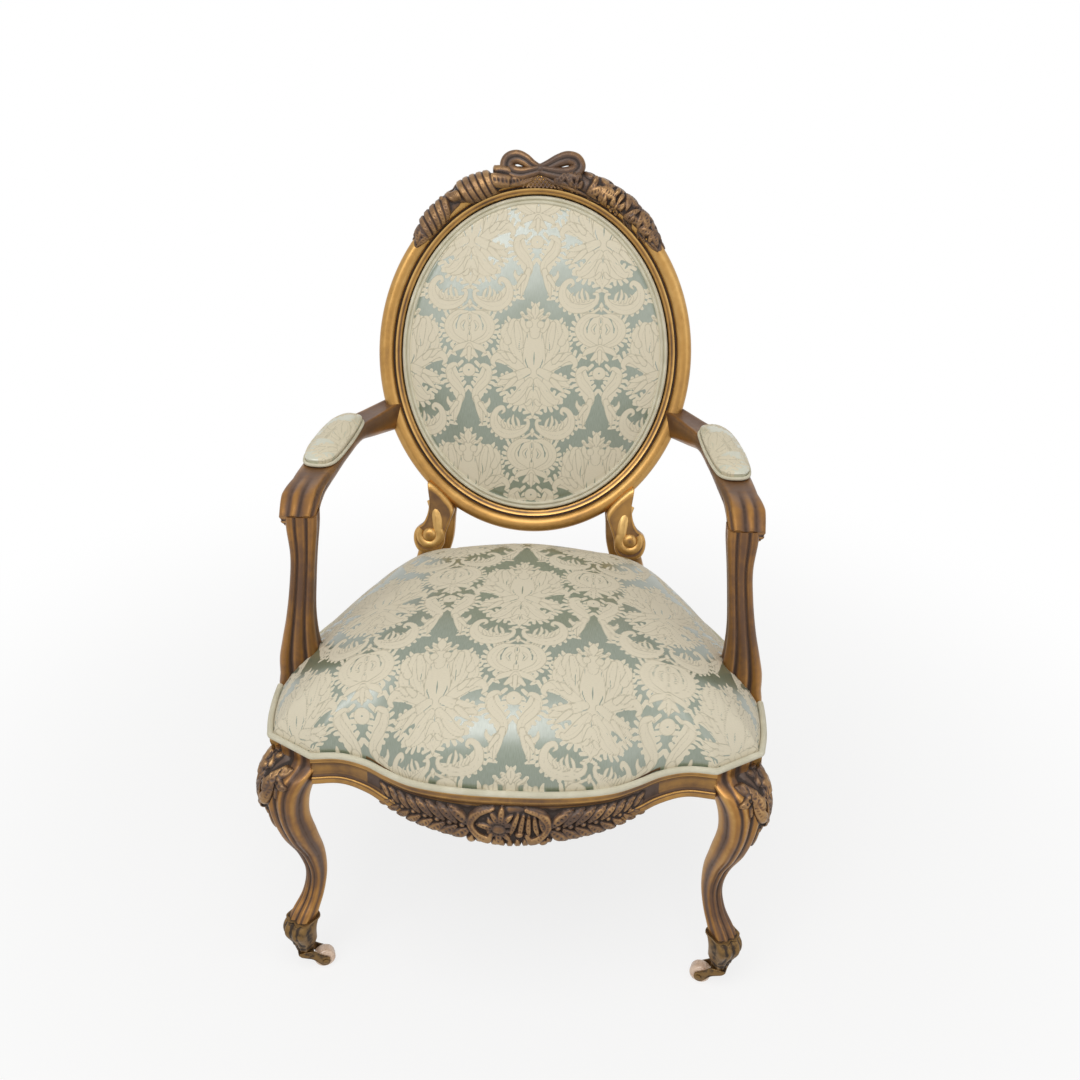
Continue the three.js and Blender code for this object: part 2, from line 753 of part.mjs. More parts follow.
// Arm supports: height as a share of the way from the rail's top to the arm's, middle as a share of the
// way from the foot's place to the arm's spread, middle as a share of the seat's depth, then half width
// and half depth as shares of the support's own.
const supportShares = [
  [-0.767, 0.8, 0.38, 0.55, 0.8],
  [-0.272, 0.8, 0.38, 0.55, 0.8],
  [-0.129, 0, 0.38, 1.58, 1.3],
  [0.082, 0, 0.38, 1.58, 1.3],
  [0.171, 0.04, 0.375, 1.52, 1.2],
  [0.281, 0.2, 0.365, 1.28, 1.05],
  [0.425, 0.52, 0.356, 1.02, 0.95],
  [0.6, 0.94, 0.352, 0.9, 0.9],
  [0.77, 1.27, 0.352, 0.9, 0.92],
  [0.914, 1.33, 0.358, 1.1, 1],
  [0.971, 1.33, 0.364, 1.12, 1],
];
const supportFootX = seatHalfWidth - supportInset;
// The middle of the support at one row of its shares; a height below 0 is a share of the side rail's drop.
function supportMiddle([height, spread, deep]) {
  const z = height < 0 ? railTop + height * sideRailDrop : mix(railTop, armTop, height);
  return vec(mix(supportFootX, armSpread, spread), deep * seatDepth, z);
}
const supportSectionShares = [
  [-1, 0.7],
  [-1, -0.7],
  [-0.75, -1],
  [-0.3, -1],
  [0, -0.84],
  [0.3, -1],
  [0.75, -1],
  [1, -0.7],
  [1, 0.7],
  [0.75, 1],
  [-0.75, 1],
];
function supportBody(growth) {
  const rings = supportShares.map((row, station) => {
    const [, , , width, depth] = row;
    return supportSectionShares.map(([x, y]) =>
      supportMiddle(row).add(
        vec(
          x * (width * supportHalfWidth + growth),
          y * (depth * supportHalfDepth + growth),
          station === 0 ? -growth : 0,
        ),
      ),
    );
  });
  return loft(rings);
}
const supportCutter = supportBody(gap);

// The support's top is tenoned up into the arm, and the arm's rear end into the oval stile.
const supportTop = supportMiddle(supportShares.at(-1)).sub(vec(0, 0, 2 * tenonLength));
function supportTenon(growth) {
  return bar(
    supportTop,
    vec(0, 0, 1),
    vec(0, 1, 0),
    2 * tenonLength + growth,
    tenonThickness + 2 * growth,
    tenonThickness + 2 * growth,
  );
}
const armTenonShare = 0.09; // where along the arm its rear tenon starts
function armTenon(growth) {
  const start = armFrame(armTenonShare);
  return bar(
    start.middle,
    start.along.clone().negate(),
    start.up,
    start.middle.distanceTo(armFrame(0).middle) + growth,
    tenonThickness + 2 * growth,
    tenonThickness + 2 * growth,
  );
}
const ovalCutter = ovalSpan(-footEndAngle, crestEndAngle, stileSteps, gap);
const arm = cut(
  joined([largest(cut(armBody(0), ovalCutter)), armTenon(0)]),
  supportTenon(gap),
);
place("right_arm", arm, gilt);
place("left_arm", mirrored(arm), gilt);

const sideRailCutter = rail(sideRailRun, sideRailDrops, gap);
const supportFoot = largest(cut(supportBody(0), armBody(gap), sideRailCutter));
const support = joined([supportFoot, supportTenon(0)]);
place("right_arm_support", support, gilt);
place("left_arm_support", mirrored(support), gilt);

const stile = largest(cut(stileBody, armTenon(gap)));
place("right_oval_stile", stile, gilt);
place("left_oval_stile", mirrored(stile), gilt);

// Volute consoles that fill the corner between the oval and the rear posts. Outline from the oval's
// centre, as shares of its outer half width, of its outer half height, and of the room that is left
// between the oval's foot and the seat rail.
const voluteShares = [
  [0.5, 0.87, 0],
  [0.52, 0.94, 0],
  [0.55, 1, 0.055],
  [0.56, 1, 0.22],
  [0.6, 1, 0.358],
  [0.66, 1, 0.385],
  [0.73, 1, 0.33],
  [0.76, 1, 0.165],
  [0.75, 1, 0],
  [0.7, 0.96, 0],
  [0.67, 0.9, 0],
  [0.66, 0.8, 0],
  [0.67, 0.72, 0],
];
const roundSides = 16;
const pinSides = 10;
const voluteThickness = 20;
const voluteBossRadius = 12;
const voluteBossRise = 5;
const voluteCentreShares = [0.655, 1, 0.069];
const voluteRoom = ovalRise / backUp.z - ovalOuterHalfHeight;
const postFront = postHalfDepth - postSetBack + gap; // the post's front face, out from the oval's middle
function volute() {
  const spot = ([across, down, room]) =>
    new THREE.Vector2(across * ovalOuterHalfWidth, -down * ovalOuterHalfHeight - room * voluteRoom);
  const shape = new THREE.Shape(voluteShares.map(spot));
  const centre = spot(voluteCentreShares);
  const scroll = new THREE.ExtrudeGeometry(shape, { depth: voluteThickness, bevelEnabled: false });
  const bossLength = voluteThickness + voluteBossRise;
  const boss = new THREE.CylinderGeometry(voluteBossRadius, voluteBossRadius, bossLength, roundSides)
    .rotateX(Math.PI / 2)
    .translate(centre.x, centre.y, bossLength / 2);
  const onPost = new THREE.Matrix4()
    .makeBasis(vec(1, 0, 0), backUp, backOut)
    .setPosition(ovalCentre.clone().addScaledVector(backOut, postFront));
  const body = joined([scroll, boss]).applyMatrix4(onPost);
  const lowerCutter = ovalSpan(-footEndAngle, footEndAngle - 2 * rightAngle, lowerSteps, gap);
  return largest(cut(body, ovalCutter, lowerCutter, rearLegCutter, seatSpace));
}
// Corner blocks glued behind the rails.
const blockThickness = 24;
const blockFall = 8; // top of the block below the rail's top
const blockHalfLength = 60;
const cornerBlockSet = cornerDepth + blockThickness / 2;
const railCutters = [rail(frontWholeRun, frontWholeDrops, gap), sideRailCutter];
const rearRailCutter = block(
  vec(-rearRailHalf, rearRailMiddleY - rearRailThickness / 2 - gap, 0),
  vec(rearRailHalf, rearRailMiddleY + rearRailThickness / 2 + gap, railTop + overrun),
);
function cornerBlock(middle, along) {
  const height = railTop - blockFall - rimHeight;
  const start = middle
    .clone()
    .addScaledVector(along, -blockHalfLength)
    .setZ(rimHeight + height / 2);
  const whole = bar(start, along, vec(0, 0, 1), 2 * blockHalfLength, blockThickness, height);
  return largest(cut(whole, ...railCutters, legCutter, rearLegCutter, rearRailCutter, supportCutter));
}
const frontBlock = cornerBlock(faceMiddle.clone().addScaledVector(faceOut, -cornerBlockSet), faceAlong);
place("right_front_corner_block", frontBlock, beech);
place("left_front_corner_block", mirrored(frontBlock), beech);
const rearBlockShare = 0.9; // the rear block's middle as shares of the rear leg's own place
const rearBlock = cornerBlock(
  vec(rearLegX * rearBlockShare, rearLegY * rearBlockShare, 0),
  vec(2, -1, 0).normalize(),
);
place("right_rear_corner_block", rearBlock, beech);
place("left_rear_corner_block", mirrored(rearBlock), beech);

// Seat upholstery
const seatCentreShare = 0.46; // the crown's place as a share of the seat's depth
const seatCentre = vec(0, seatDepth * seatCentreShare, 0);
const domePower = 3; // how flat the crown is
const frontShoulder = 0.45; // how full the dome is towards the front
const rearShoulder = 0.28;
const sideShoulder = 0.8;
const crownShares = [0.98, 0.92, 0.81, 0.63, 0.36]; // the dome's rings as shares of the way out
const bedShares = [0.92, 0.63]; // the spring canvas needs fewer rings

// The dome's height share over a point at a share of the way out in a direction.
function domeShare(fraction, direction) {
  const lengthwise = direction.y * direction.y;
  const shoulder = mix(sideShoulder, direction.y < 0 ? frontShoulder : rearShoulder, lengthwise);
  return (1 - fraction ** domePower) ** shoulder;
}
// The outline's corners fade into a smooth curve towards the crown.
const fadePasses = 9;
const neighbourShare = 0.25;
function faded(edge, passes) {
  if (passes <= 0) return edge;
  const softer = edge.map((p, i) =>
    p
      .clone()
      .multiplyScalar(1 - 2 * neighbourShare)
      .addScaledVector(edge.at(i - 1), neighbourShare)
      .addScaledVector(edge[(i + 1) % edge.length], neighbourShare),
  );
  return faded(softer, passes - 1);
}
function domeRing(sharpEdge, fraction, base, crown) {
  const edge = faded(sharpEdge, Math.round(fadePasses * (1 - fraction)));
  return edge.map((p) => {
    const out = p.clone().sub(seatCentre).setZ(0);
    const rise = crown * domeShare(fraction, out.clone().normalize());
    return seatCentre
      .clone()
      .addScaledVector(out, fraction)
      .setZ(base + rise);
  });
}
const domeRings = (edgeInset, base, crown, shares = crownShares) =>
  shares.map((share) => domeRing(inset(edgeInset, base), share, base, crown));

// A closed body whose rings are shut by a point at each end.
function polar(start, rings, end) {
  const count = rings[0].length;
  const points = [start, ...rings.flat(), end];
  const last = points.length - 1;
  const indices = [];
  for (const j of range(count)) {
    const next = (j + 1) % count;
    indices.push(0, 1 + next, 1 + j);
    for (const i of range(rings.length - 1)) {
      const a = 1 + i * count + j;
      const b = 1 + i * count + next;
      const [c, d] = [b + count, a + count];
      if (points[a].distanceTo(points[c]) < points[b].distanceTo(points[d])) indices.push(a, b, c, a, c, d);
      else indices.push(a, b, d, b, c, d);
    }
    const first = 1 + (rings.length - 1) * count;
    indices.push(first + j, first + next, last);
  }
  const positions = points.flatMap((p) => [p.x, p.y, p.z]);
  const geometry = new THREE.BufferGeometry();
  geometry.setAttribute("position", new THREE.BufferAttribute(new Float32Array(positions), 3));
  geometry.setIndex(facingOut(positions, indices));
  return geometry;
}

const postCutters = [rearLegCutter, mirrored(rearLegCutter)];
const supportCutters = [supportCutter, mirrored(supportCutter)];
const seatFoot = railTop + gap;
const canvasRim = canvasInset + railThickness / 2;
const springCanvas = polar(
  seatCentre.clone().setZ(seatFoot + canvasCrown),
  [
    ...domeRings(canvasRim, seatFoot, canvasCrown, bedShares).reverse(),
    inset(canvasRim, seatFoot),
    inset(canvasInset, seatFoot),
    inset(canvasInset, seatFoot + canvasThickness),
    inset(canvasRim - canvasThickness, seatFoot + canvasThickness),
    ...domeRings(canvasRim - canvasThickness, seatFoot + canvasThickness, canvasCrown, bedShares),
  ],
  seatCentre.clone().setZ(seatFoot + canvasThickness + canvasCrown),
);
place("spring_canvas", largest(cut(springCanvas, ...postCutters, ...supportCutters)), canvas);

const coverInset = 2 * seatPipingRadius + gap;
const coverBase = seatFoot + coverEdgeRise;
const stuffingInset = coverInset + coverThickness + coverEase;
const stuffingCrown = seatCrown - coverEdgeRise - coverThickness - coverEase;
const bedInset = canvasInset - gap;
const bedRim = canvasRim - canvasThickness - coverEase;
const bedBase = seatFoot + canvasThickness + coverEase;
const stuffing = polar(
  seatCentre.clone().setZ(bedBase + canvasCrown),
  [
    ...domeRings(bedRim, bedBase, canvasCrown, bedShares).reverse(),
    inset(bedRim, bedBase),
    inset(bedInset, bedBase),
    inset(bedInset, seatFoot),
    inset(stuffingInset, seatFoot),
    inset(stuffingInset, coverBase),
    ...domeRings(stuffingInset, coverBase, stuffingCrown),
  ],
  seatCentre.clone().setZ(coverBase + stuffingCrown),
);
place("seat_stuffing", largest(cut(stuffing, ...postCutters, ...supportCutters)), horsehair);

const coverInner = coverInset + coverThickness;
const seatCover = polar(
  seatCentre.clone().setZ(coverBase + stuffingCrown + coverEase),
  [
    ...domeRings(coverInner, coverBase, stuffingCrown + coverEase).reverse(),
    inset(coverInner, coverBase),
    inset(coverInner, seatFoot),
    inset(coverInset, seatFoot),
    inset(coverInset, coverBase),
    ...domeRings(coverInset, coverBase, stuffingCrown + coverEase + coverThickness),
  ],
  seatCentre.clone().setZ(coverBase + stuffingCrown + coverEase + coverThickness),
);
place("seat_cover", largest(cut(seatCover, ...postCutters, ...supportCutters)), damask);

// The room of the upholstered seat, which the volute consoles keep clear of.
const seatSpaceInset = coverInset - gap;
const seatSpaceCrown = seatCrown - coverEdgeRise + gap;
const seatSpace = polar(
  seatCentre.clone().setZ(seatFoot),
  [
    inset(seatSpaceInset, seatFoot),
    inset(seatSpaceInset, coverBase),
    ...domeRings(seatSpaceInset, coverBase, seatSpaceCrown),
  ],
  seatCentre.clone().setZ(coverBase + seatSpaceCrown),
);
const rightVolute = volute();
place("right_volute_console", rightVolute, gilt);
place("left_volute_console", mirrored(rightVolute), gilt);

// Piping round the seat's foot, broken by the arm supports and the rear posts.
const pipingSides = 6;
const pipingRun = inset(seatPipingRadius, seatFoot + seatPipingRadius);
const pipingRing = tube(pipingRun, seatPipingRadius, pipingSides, true);
const breakStationIndex = 3; // the widest station of the support
const breakRow = supportShares[breakStationIndex];
const [, , , breakWidth, breakDepth] = breakRow;
const breakMiddle = supportMiddle(breakRow);
const breakHalf = breakDepth * supportHalfDepth + gap;
const pipingBreak = block(
  vec(breakMiddle.x - breakWidth * supportHalfWidth, breakMiddle.y - breakHalf, railTop),
  vec(seatHalfWidth + overrun, breakMiddle.y + breakHalf, railTop + seatCrown),
);
const pipingRuns = solid(
  cut(pipingRing, pipingBreak, mirrored(pipingBreak), ...supportCutters, ...postCutters),
)
  .decompose()
  .map((body) => ({ body, box: body.boundingBox() }))
  .filter(({ body }) => body.volume() > seatPipingRadius ** 3 * pipingSides);
const middleOf = ({ box }) => [(box.min[0] + box.max[0]) / 2, (box.min[1] + box.max[1]) / 2];
const rearPipingShare = 0.9;
const pipingNames = [
  ["front_seat_piping", (x, y) => y < seatDepth / 4],
  ["rear_seat_piping", (x, y) => y > seatDepth * rearPipingShare],
  ["right_seat_piping", (x) => x > seatHalfWidth / 4],
  ["left_seat_piping", (x) => x < -seatHalfWidth / 4],
];
for (const [name, fits] of pipingNames)
  place(name, geometryOf(pipingRuns.find((run) => fits(...middleOf(run))).body), piping);

// Webbing woven across the rails' inner rims, and the dust cover below it.
const webbingReach = railInset + railThickness - rimWidth + gap;
const webbingTop = rimHeight - gap;
const webbingAcross = [-2, 0, 2];
const webbingDeep = [-2, -1, 0, 1, 2];
const webbingSpace = 11; // between two strips
const webbingPitch = webbingWidth + webbingSpace;
function prismOf(amount, low, high) {
  return loft([inset(amount, low), inset(amount, high)]);
}
function webbingLattice() {
  const half = webbingWidth / 2;
  const low = webbingTop - webbingThickness;
  const strips = [
    ...webbingAcross.map((n) =>
      block(
        vec(n * webbingPitch - half, -seatDepth, low),
        vec(n * webbingPitch + half, 2 * seatDepth, webbingTop),
      ),
    ),
    ...webbingDeep.map((n) =>
      block(
        vec(-2 * seatHalfWidth, seatCentre.y + n * webbingPitch - half, low),
        vec(2 * seatHalfWidth, seatCentre.y + n * webbingPitch + half, webbingTop),
      ),
    ),
  ];
  const lattice = trimmed(joined(strips), prismOf(webbingReach, low - overrun, webbingTop + overrun));
  return largest(cut(lattice, legCutter, mirrored(legCutter), ...postCutters, ...supportCutters));
}
place("seat_webbing", webbingLattice(), webbing);
const dustTop = webbingTop - webbingThickness - gap;
const dustCover = cut(
  prismOf(webbingReach, dustTop - dustCoverThickness, dustTop),
  legCutter,
  mirrored(legCutter),
  ...postCutters,
  ...supportCutters,
);
place("dust_cover", largest(dustCover), cambric);

// Hourglass springs, one in the middle and one towards each corner.
const springTurns = 4;
const springSteps = 8;
const springSides = 5;
const springClearance = 3.6; // wire to the canvas above it
function springPoints(x, y) {
  const foot = webbingTop + gap + springWireRadius;
  const out = vec(x, y - seatCentre.y, 0);
  const direction = out.length() > 0 ? out.clone().normalize() : vec(1, 0, 0);
  const spread = (out.length() + springRadius) / (seatDepth / 2);
  const rise = canvasCrown * domeShare(Math.min(spread, 1), direction);
  const head = seatFoot + rise - springClearance - springWireRadius;
  const count = springTurns * springSteps;
  return range(count + 1).map((i) => {
    const share = i / count;
    const angle = (2 * Math.PI * i) / springSteps;
    const radius = mix(springWaistRadius, springRadius, Math.abs(2 * share - 1) ** 2) - springWireRadius;
    return vec(x + radius * Math.cos(angle), y + radius * Math.sin(angle), mix(foot, head, share));
  });
}
function leastGap(points, radius) {
  let least = Infinity;
  for (const i of range(points.length))
    for (const j of range(points.length))
      if (j - i >= springSteps - 1) least = Math.min(least, points[i].distanceTo(points[j]) - 2 * radius);
  return least;
}
const springPlaces = [
  ["middle_spring", 0, 0],
  ["left_front_spring", -1, -1],
  ["right_front_spring", 1, -1],
  ["left_rear_spring", -1, 1],
  ["right_rear_spring", 1, 1],
];
for (const [name, across, deep] of springPlaces) {
  const points = springPoints(across * springSpread, seatCentre.y + deep * springSpreadDeep);
  console.log(name, "least gap between curls", leastGap(points, springWireRadius).toFixed(2), "mm");
  place(name, tube(points, springWireRadius, springSides, false), steel);
}

// Back upholstery, built in the back's own frame on an ellipse inside the oval's sight edge.
const backSteps = 28;
const lipFront = lipFrontShare * ovalHalfThickness;
const lipBack = lipBackShare * ovalHalfThickness;
const backAngles = range(backSteps).map((i) => (2 * Math.PI * i) / backSteps);
const ellipse = (radial, out) => backAngles.map((angle) => aroundOval(angle, radial, out));
// The same ring drawn in towards the oval's centre, to a share of its size.
const drawnIn = (share, radial, out) =>
  ellipse(radial, out).map((p) => onBack(0, 0, out).lerp(p, share));
const facetDip = 1.4; // an outline's flats lie this far inside the true curve
const canvasFront = lipFront + gap + canvasThickness;
place(
  "back_canvas",
  loft([ellipse(-gap - facetDip, lipFront + gap), ellipse(-gap - facetDip, canvasFront)]),
  canvas,
);

const backDomeShares = [1, 0.97, 0.89, 0.74, 0.48];
const backDomePower = 2.4;
const backShoulder = 0.75;
const backMargin = 4 * backPipingRadius + 2 * gap + facetDip; // flat edge that the piping covers
const backDome = (base, crown, radial) =>
  backDomeShares.map((share) =>
    drawnIn(share, radial, base + crown * (1 - share ** backDomePower) ** backShoulder),
  );
const stuffingBack = canvasFront + gap;
const stuffingEdge = 3; // straight edge of the back's stuffing
const stuffingFront = stuffingBack + stuffingEdge;
const edgeRadial = -gap - facetDip;
place(
  "back_stuffing",
  polar(
    onBack(0, 0, stuffingBack),
    [
      ellipse(edgeRadial, stuffingBack),
      ellipse(edgeRadial, stuffingFront),
      ...backDome(stuffingFront, backCrown, -backMargin),
    ],
    onBack(0, 0, stuffingFront + backCrown),
  ),
  horsehair,
);
const coverBack = stuffingFront + coverEase;
const coverFront = coverBack + coverThickness;
place(
  "back_cover",
  polar(
    onBack(0, 0, coverBack + backCrown),
    [
      ...backDome(coverBack, backCrown, -backMargin).reverse(),
      ellipse(edgeRadial, coverBack),
      ellipse(edgeRadial, coverFront),
      ...backDome(coverFront, backCrown, coverThickness - backMargin),
    ],
    onBack(0, 0, coverFront + backCrown),
  ),
  damask,
);

// Double piping: two round lobes side by side, shares of the lobe radius across and out.
const doubleLobeShares = [
  [-1.9, 0],
  [-1.7, 1.3],
  [-0.9, 1.8],
  [0, 1],
  [0.9, 1.8],
  [1.7, 1.3],
  [1.9, 0],
];
function doublePiping(radius, middle, out, outwards) {
  const rings = backAngles.map((angle) =>
    doubleLobeShares.map(([across, lift]) =>
      aroundOval(angle, middle + across * radius, out + outwards * lift * radius),
    ),
  );
  return loft(rings, true);
}
const frontPipingMiddle = edgeRadial - 2 * backPipingRadius;
const pipingFoot = 2 * gap; // the double piping's foot over the cover
place("back_piping", doublePiping(backPipingRadius, frontPipingMiddle, coverFront + pipingFoot, 1), piping);

const outsideFront = lipBack - gap;
const outsideEdge = 2.4; // straight edge of the outside panel
const outsideMargin = 4 * outsidePipingRadius + 2 * gap + facetDip;
place(
  "outside_back_panel",
  polar(
    onBack(0, 0, outsideFront),
    [
      ellipse(edgeRadial, outsideFront),
      ellipse(edgeRadial, outsideFront - outsideEdge),
      ...backDome(outsideFront - outsideEdge, -outsideCrown, -outsideMargin),
    ],
    onBack(0, 0, outsideFront - outsideEdge - outsideCrown),
  ),
  damask,
);
place(
  "outside_back_piping",
  doublePiping(
    outsidePipingRadius,
    edgeRadial - 2 * outsidePipingRadius,
    outsideFront - outsideEdge - gap,
    -1,
  ),
  piping,
);

// Arm pads: rounded cushions on the arms' tops.
const padSpanShares = [0.26, 0.6]; // where the pad starts and ends, as shares of the arm's length
const padSteps = 14;
const padFootShare = 0.8; // the pad's foot as a share of the arm's half width
const padEndPower = 0.75; // how blunt the pad's ends are
const padSidePower = 0.7;
const padMiddleShare = (padSpanShares[0] + padSpanShares[1]) / 2;
const padHalfShare = (padSpanShares[1] - padSpanShares[0]) / 2;
const padHalfLength = armCurve.getLength() * padHalfShare;
const rounded = (value, power) => Math.sign(value) * Math.abs(value) ** power;
function padRing(growth, scale, lift) {
  return range(padSteps).map((i) => {
    const angle = (2 * Math.PI * i) / padSteps;
    const along = rounded(Math.cos(angle), padEndPower);
    const across = rounded(Math.sin(angle), padSidePower);
    const reach = padHalfShare * (scale + growth / padHalfLength) * along;
    const { middle, side, up, width, height } = armFrame(padMiddleShare + reach);
    return middle
      .clone()
      .addScaledVector(side, across * (scale * padFootShare * width + growth))
      .addScaledVector(up, height + lift);
  });
}
const padMiddle = armFrame(padMiddleShare);
const onPadMiddle = (lift) =>
  padMiddle.middle.clone().addScaledVector(padMiddle.up, padMiddle.height + lift);
const padSeat = 3 * gap; // pad and piping over the arm's faceted top
const padWall = 2 * padPipingRadius + 2 * gap;
// The pad's rings above its piping: overhang as a share of the piping's radius, size as a share of the
// pad's own, and height as a share of the way from the wall to the crown.
const padDomeShares = [
  [2, 1, 0.3],
  [1, 1, 0.65],
  [0, 0.72, 0.93],
];
const padBody = polar(
  onPadMiddle(padSeat),
  [
    padRing(0, 1, padSeat),
    padRing(0, 1, padWall),
    ...padDomeShares.map(([overhang, size, rise]) =>
      padRing(overhang * padPipingRadius, size, mix(padWall, padCrown, rise)),
    ),
  ],
  onPadMiddle(padCrown),
);
const pad = largest(cut(padBody, armBody(gap)));
place("right_arm_pad", pad, damask);
place("left_arm_pad", mirrored(pad), damask);
const padPipingRun = padRing(padPipingRadius + 2 * gap, 1, padPipingRadius + padSeat);
const padPiping = tube(padPipingRun, padPipingRadius, pipingSides, true);
place("right_arm_pad_piping", padPiping, piping);
place("left_arm_pad_piping", mirrored(padPiping), piping);

// Garlands of leaves and flowers laid over the shoulders of the crest, each one carved lump.
const garlandFromAngle = 28; // degrees up the oval
const garlandToAngle = 78;
const garlandSteps = 12;
const garlandSides = 6;
const garlandReach = 20; // half width over the frame's face
const garlandRise = 13; // half height out of the frame
const garlandMiddleShare = 0.95; // middle of the garland as a share of the frame's face
const garlandLumpCount = 4;
const garlandLumpShare = 0.26; // how far the garland draws in between two lumps
const garlandTaperShare = 0.45; // how far it draws in towards its lower end
function garlandBody(growth) {
  const rings = range(garlandSteps + 1).map((i) => {
    const share = i / garlandSteps;
    const lump = 1 - garlandLumpShare * (1 - Math.abs(Math.sin(Math.PI * garlandLumpCount * share)));
    const swell = lump * (1 - garlandTaperShare * (1 - share) ** 2);
    const angle = THREE.MathUtils.degToRad(mix(garlandFromAngle, garlandToAngle, share));
    return range(garlandSides).map((k) => {
      const turn = (2 * Math.PI * k) / garlandSides;
      const radial = garlandMiddleShare * ovalFace + (garlandReach * swell + growth) * Math.cos(turn);
      return aroundOval(angle, radial, ovalHalfThickness + (garlandRise * swell + growth) * Math.sin(turn));
    });
  });
  return loft(rings);
}
const crestCutter = ovalSpan(crestStartAngle, 2 * rightAngle - crestStartAngle, crestSteps, gap);
const rightGarland = largest(cut(garlandBody(0), crestCutter, ovalCutter));
place("right_garland", rightGarland, carvedGilt);
place("left_garland", mirrored(rightGarland), carvedGilt);

// Ribbon bow: two loops, a knot and two tails on top of the crest.
const ribbonRadius = 7.5;
const ribbonSides = 5;
const ribbonSteps = 9;
const loopHalfWidth = 26;
const loopHalfHeight = 15;
const loopMiddle = 36; // loop's middle from the knot
const bowRise = -2; // knot above the crest's outer edge
const loopRise = 5; // loop's middle above the knot
const loopTiltShare = 0.22;
const tailSteps = 3;
const tailReach = 54;
const tailFall = 14;
const bowOut = 8; // middle of the ribbon out from the oval's middle
const knotY = ovalOuterHalfHeight + bowRise;
function ribbon(points, closed) {
  return tube(points, ribbonRadius, ribbonSides, closed);
}
function bowLoop() {
  const points = range(ribbonSteps).map((i) => {
    const angle = (2 * Math.PI * i) / ribbonSteps;
    const x = loopHalfWidth * Math.cos(angle);
    const y = loopHalfHeight * Math.sin(angle);
    return onBack(loopMiddle + x - y * loopTiltShare, knotY + loopRise + y + x * loopTiltShare, bowOut);
  });
  return ribbon(points, true);
}
function bowTail() {
  const points = range(tailSteps + 1).map((i) => {
    const share = i / tailSteps;
    return onBack(tailReach * share, knotY - tailFall * share ** 2, bowOut);
  });
  return ribbon(points, false);
}
const knotRadius = 10;
const knotSides = 8;
const knot = new THREE.SphereGeometry(knotRadius, knotSides, ribbonSides).applyMatrix4(
  new THREE.Matrix4().setPosition(onBack(0, knotY, bowOut)),
);
const bow = largest(
  cut(
    joined([knot, bowLoop(), mirrored(bowLoop()), bowTail(), mirrored(bowTail())]),
    crestCutter,
    garlandBody(gap),
    mirrored(garlandBody(gap)),
  ),
);
place("ribbon_bow", bow, carvedGilt);

// Carving along the front rail: a strip of foliage that fills the rail's cove and hangs below it
// in the middle.
const carvingSubSteps = 2;
const carvingRelief = 8.5; // height of the leaves over the cove's floor
const carvingSink = 1; // how far the strip is let into the rail before it is fitted
const carvingHalfShare = 0.911; // half the strip's length as a share of the front rail's
const carvingWave = 58; // length of one leaf
const dropReach = 46; // the carving hangs lowest this far from the middle
const dropFall = 10;
const leafLowShare = 0.8; // relief between two leaves as a share of a leaf's own
// The strip's section: height as a share of the rail's, and relief as a share of the leaf's.
const carvingFaceShares = [
  [0.05, 0.75],
  [0.22, 1],
  [0.58, 0.95],
  [0.8, 0.35],
];
const carvingBackShares = [0.8, 0.25];
function frontCarving() {
  const stations = frontWholeRun.slice(0, -1).flatMap((p, i) =>
    range(carvingSubSteps).map((k) => ({
      point: p.clone().lerp(frontWholeRun[i + 1], k / carvingSubSteps),
      drop: mix(frontWholeDrops[i], frontWholeDrops[i + 1], k / carvingSubSteps),
    })),
  );
  const held = stations.filter(({ point }) => Math.abs(point.x) < carvingHalfShare * cusp.x);
  const normals = inwardNormals(held.map(({ point }) => point), false);
  const rings = held.map(({ point, drop }, i) => {
    const at = (behind, z) => point.clone().addScaledVector(normals[i], behind).setZ(z);
    const leaf = mix(leafLowShare, 1, Math.cos((Math.PI * point.x) / carvingWave) ** 2);
    const hang = dropFall * Math.exp(-(((Math.abs(point.x) - dropReach) / (dropReach / 2)) ** 2));
    const low = railTop - drop - hang;
    const floor = railInset + mouldingDepth + carvingSink;
    const face = carvingFaceShares.map(([height, relief]) =>
      at(railInset + mouldingDepth - carvingRelief * leaf * relief - gap, mix(low, railTop, height)),
    );
    return [...face, ...carvingBackShares.map((height) => at(floor, mix(low, railTop, height)))];
  });
  return largest(cut(loft(rings), railCutters[0], legCutter, mirrored(legCutter)));
}
place("front_rail_carving", frontCarving(), carvedGilt);

// Knee carvings: leaves wrapped over the front of each knee. The leg's station, or the number of a
// point of its section, and the share of the relief there.
const kneeRelief = 5;
const kneeStationShares = [
  [0, 2.2],
  [1, 2.4],
  [2, 1.2],
  [3, 0.85],
  [4, 0.4],
  [5, 0.12],
];
const kneeColumnShares = [
  [2, 0.3],
  [3, 0.8],
  [4, 0.75],
  [5, 1],
  [6, 0.75],
  [7, 0.8],
  [8, 0.3],
];
function kneeCarving() {
  const inner = legRings(gap);
  const outer = legRings(gap + kneeRelief);
  const rings = kneeStationShares.map(([station, relief]) => {
    const level = station === 0 ? railTop : inner[station][0].z;
    const front = kneeColumnShares.map(([column, share]) =>
      inner[station][column].clone().lerp(outer[station][column], relief * share),
    );
    const back = kneeColumnShares.map(([column]) => inner[station][column].clone()).reverse();
    return [...front, ...back].map((p) => p.setZ(level));
  });
  return largest(cut(loft(rings), ...railCutters, legCutter));
}
const rightKnee = kneeCarving();
place("right_knee_carving", rightKnee, carvedGilt);
place("left_knee_carving", mirrored(rightKnee), carvedGilt);

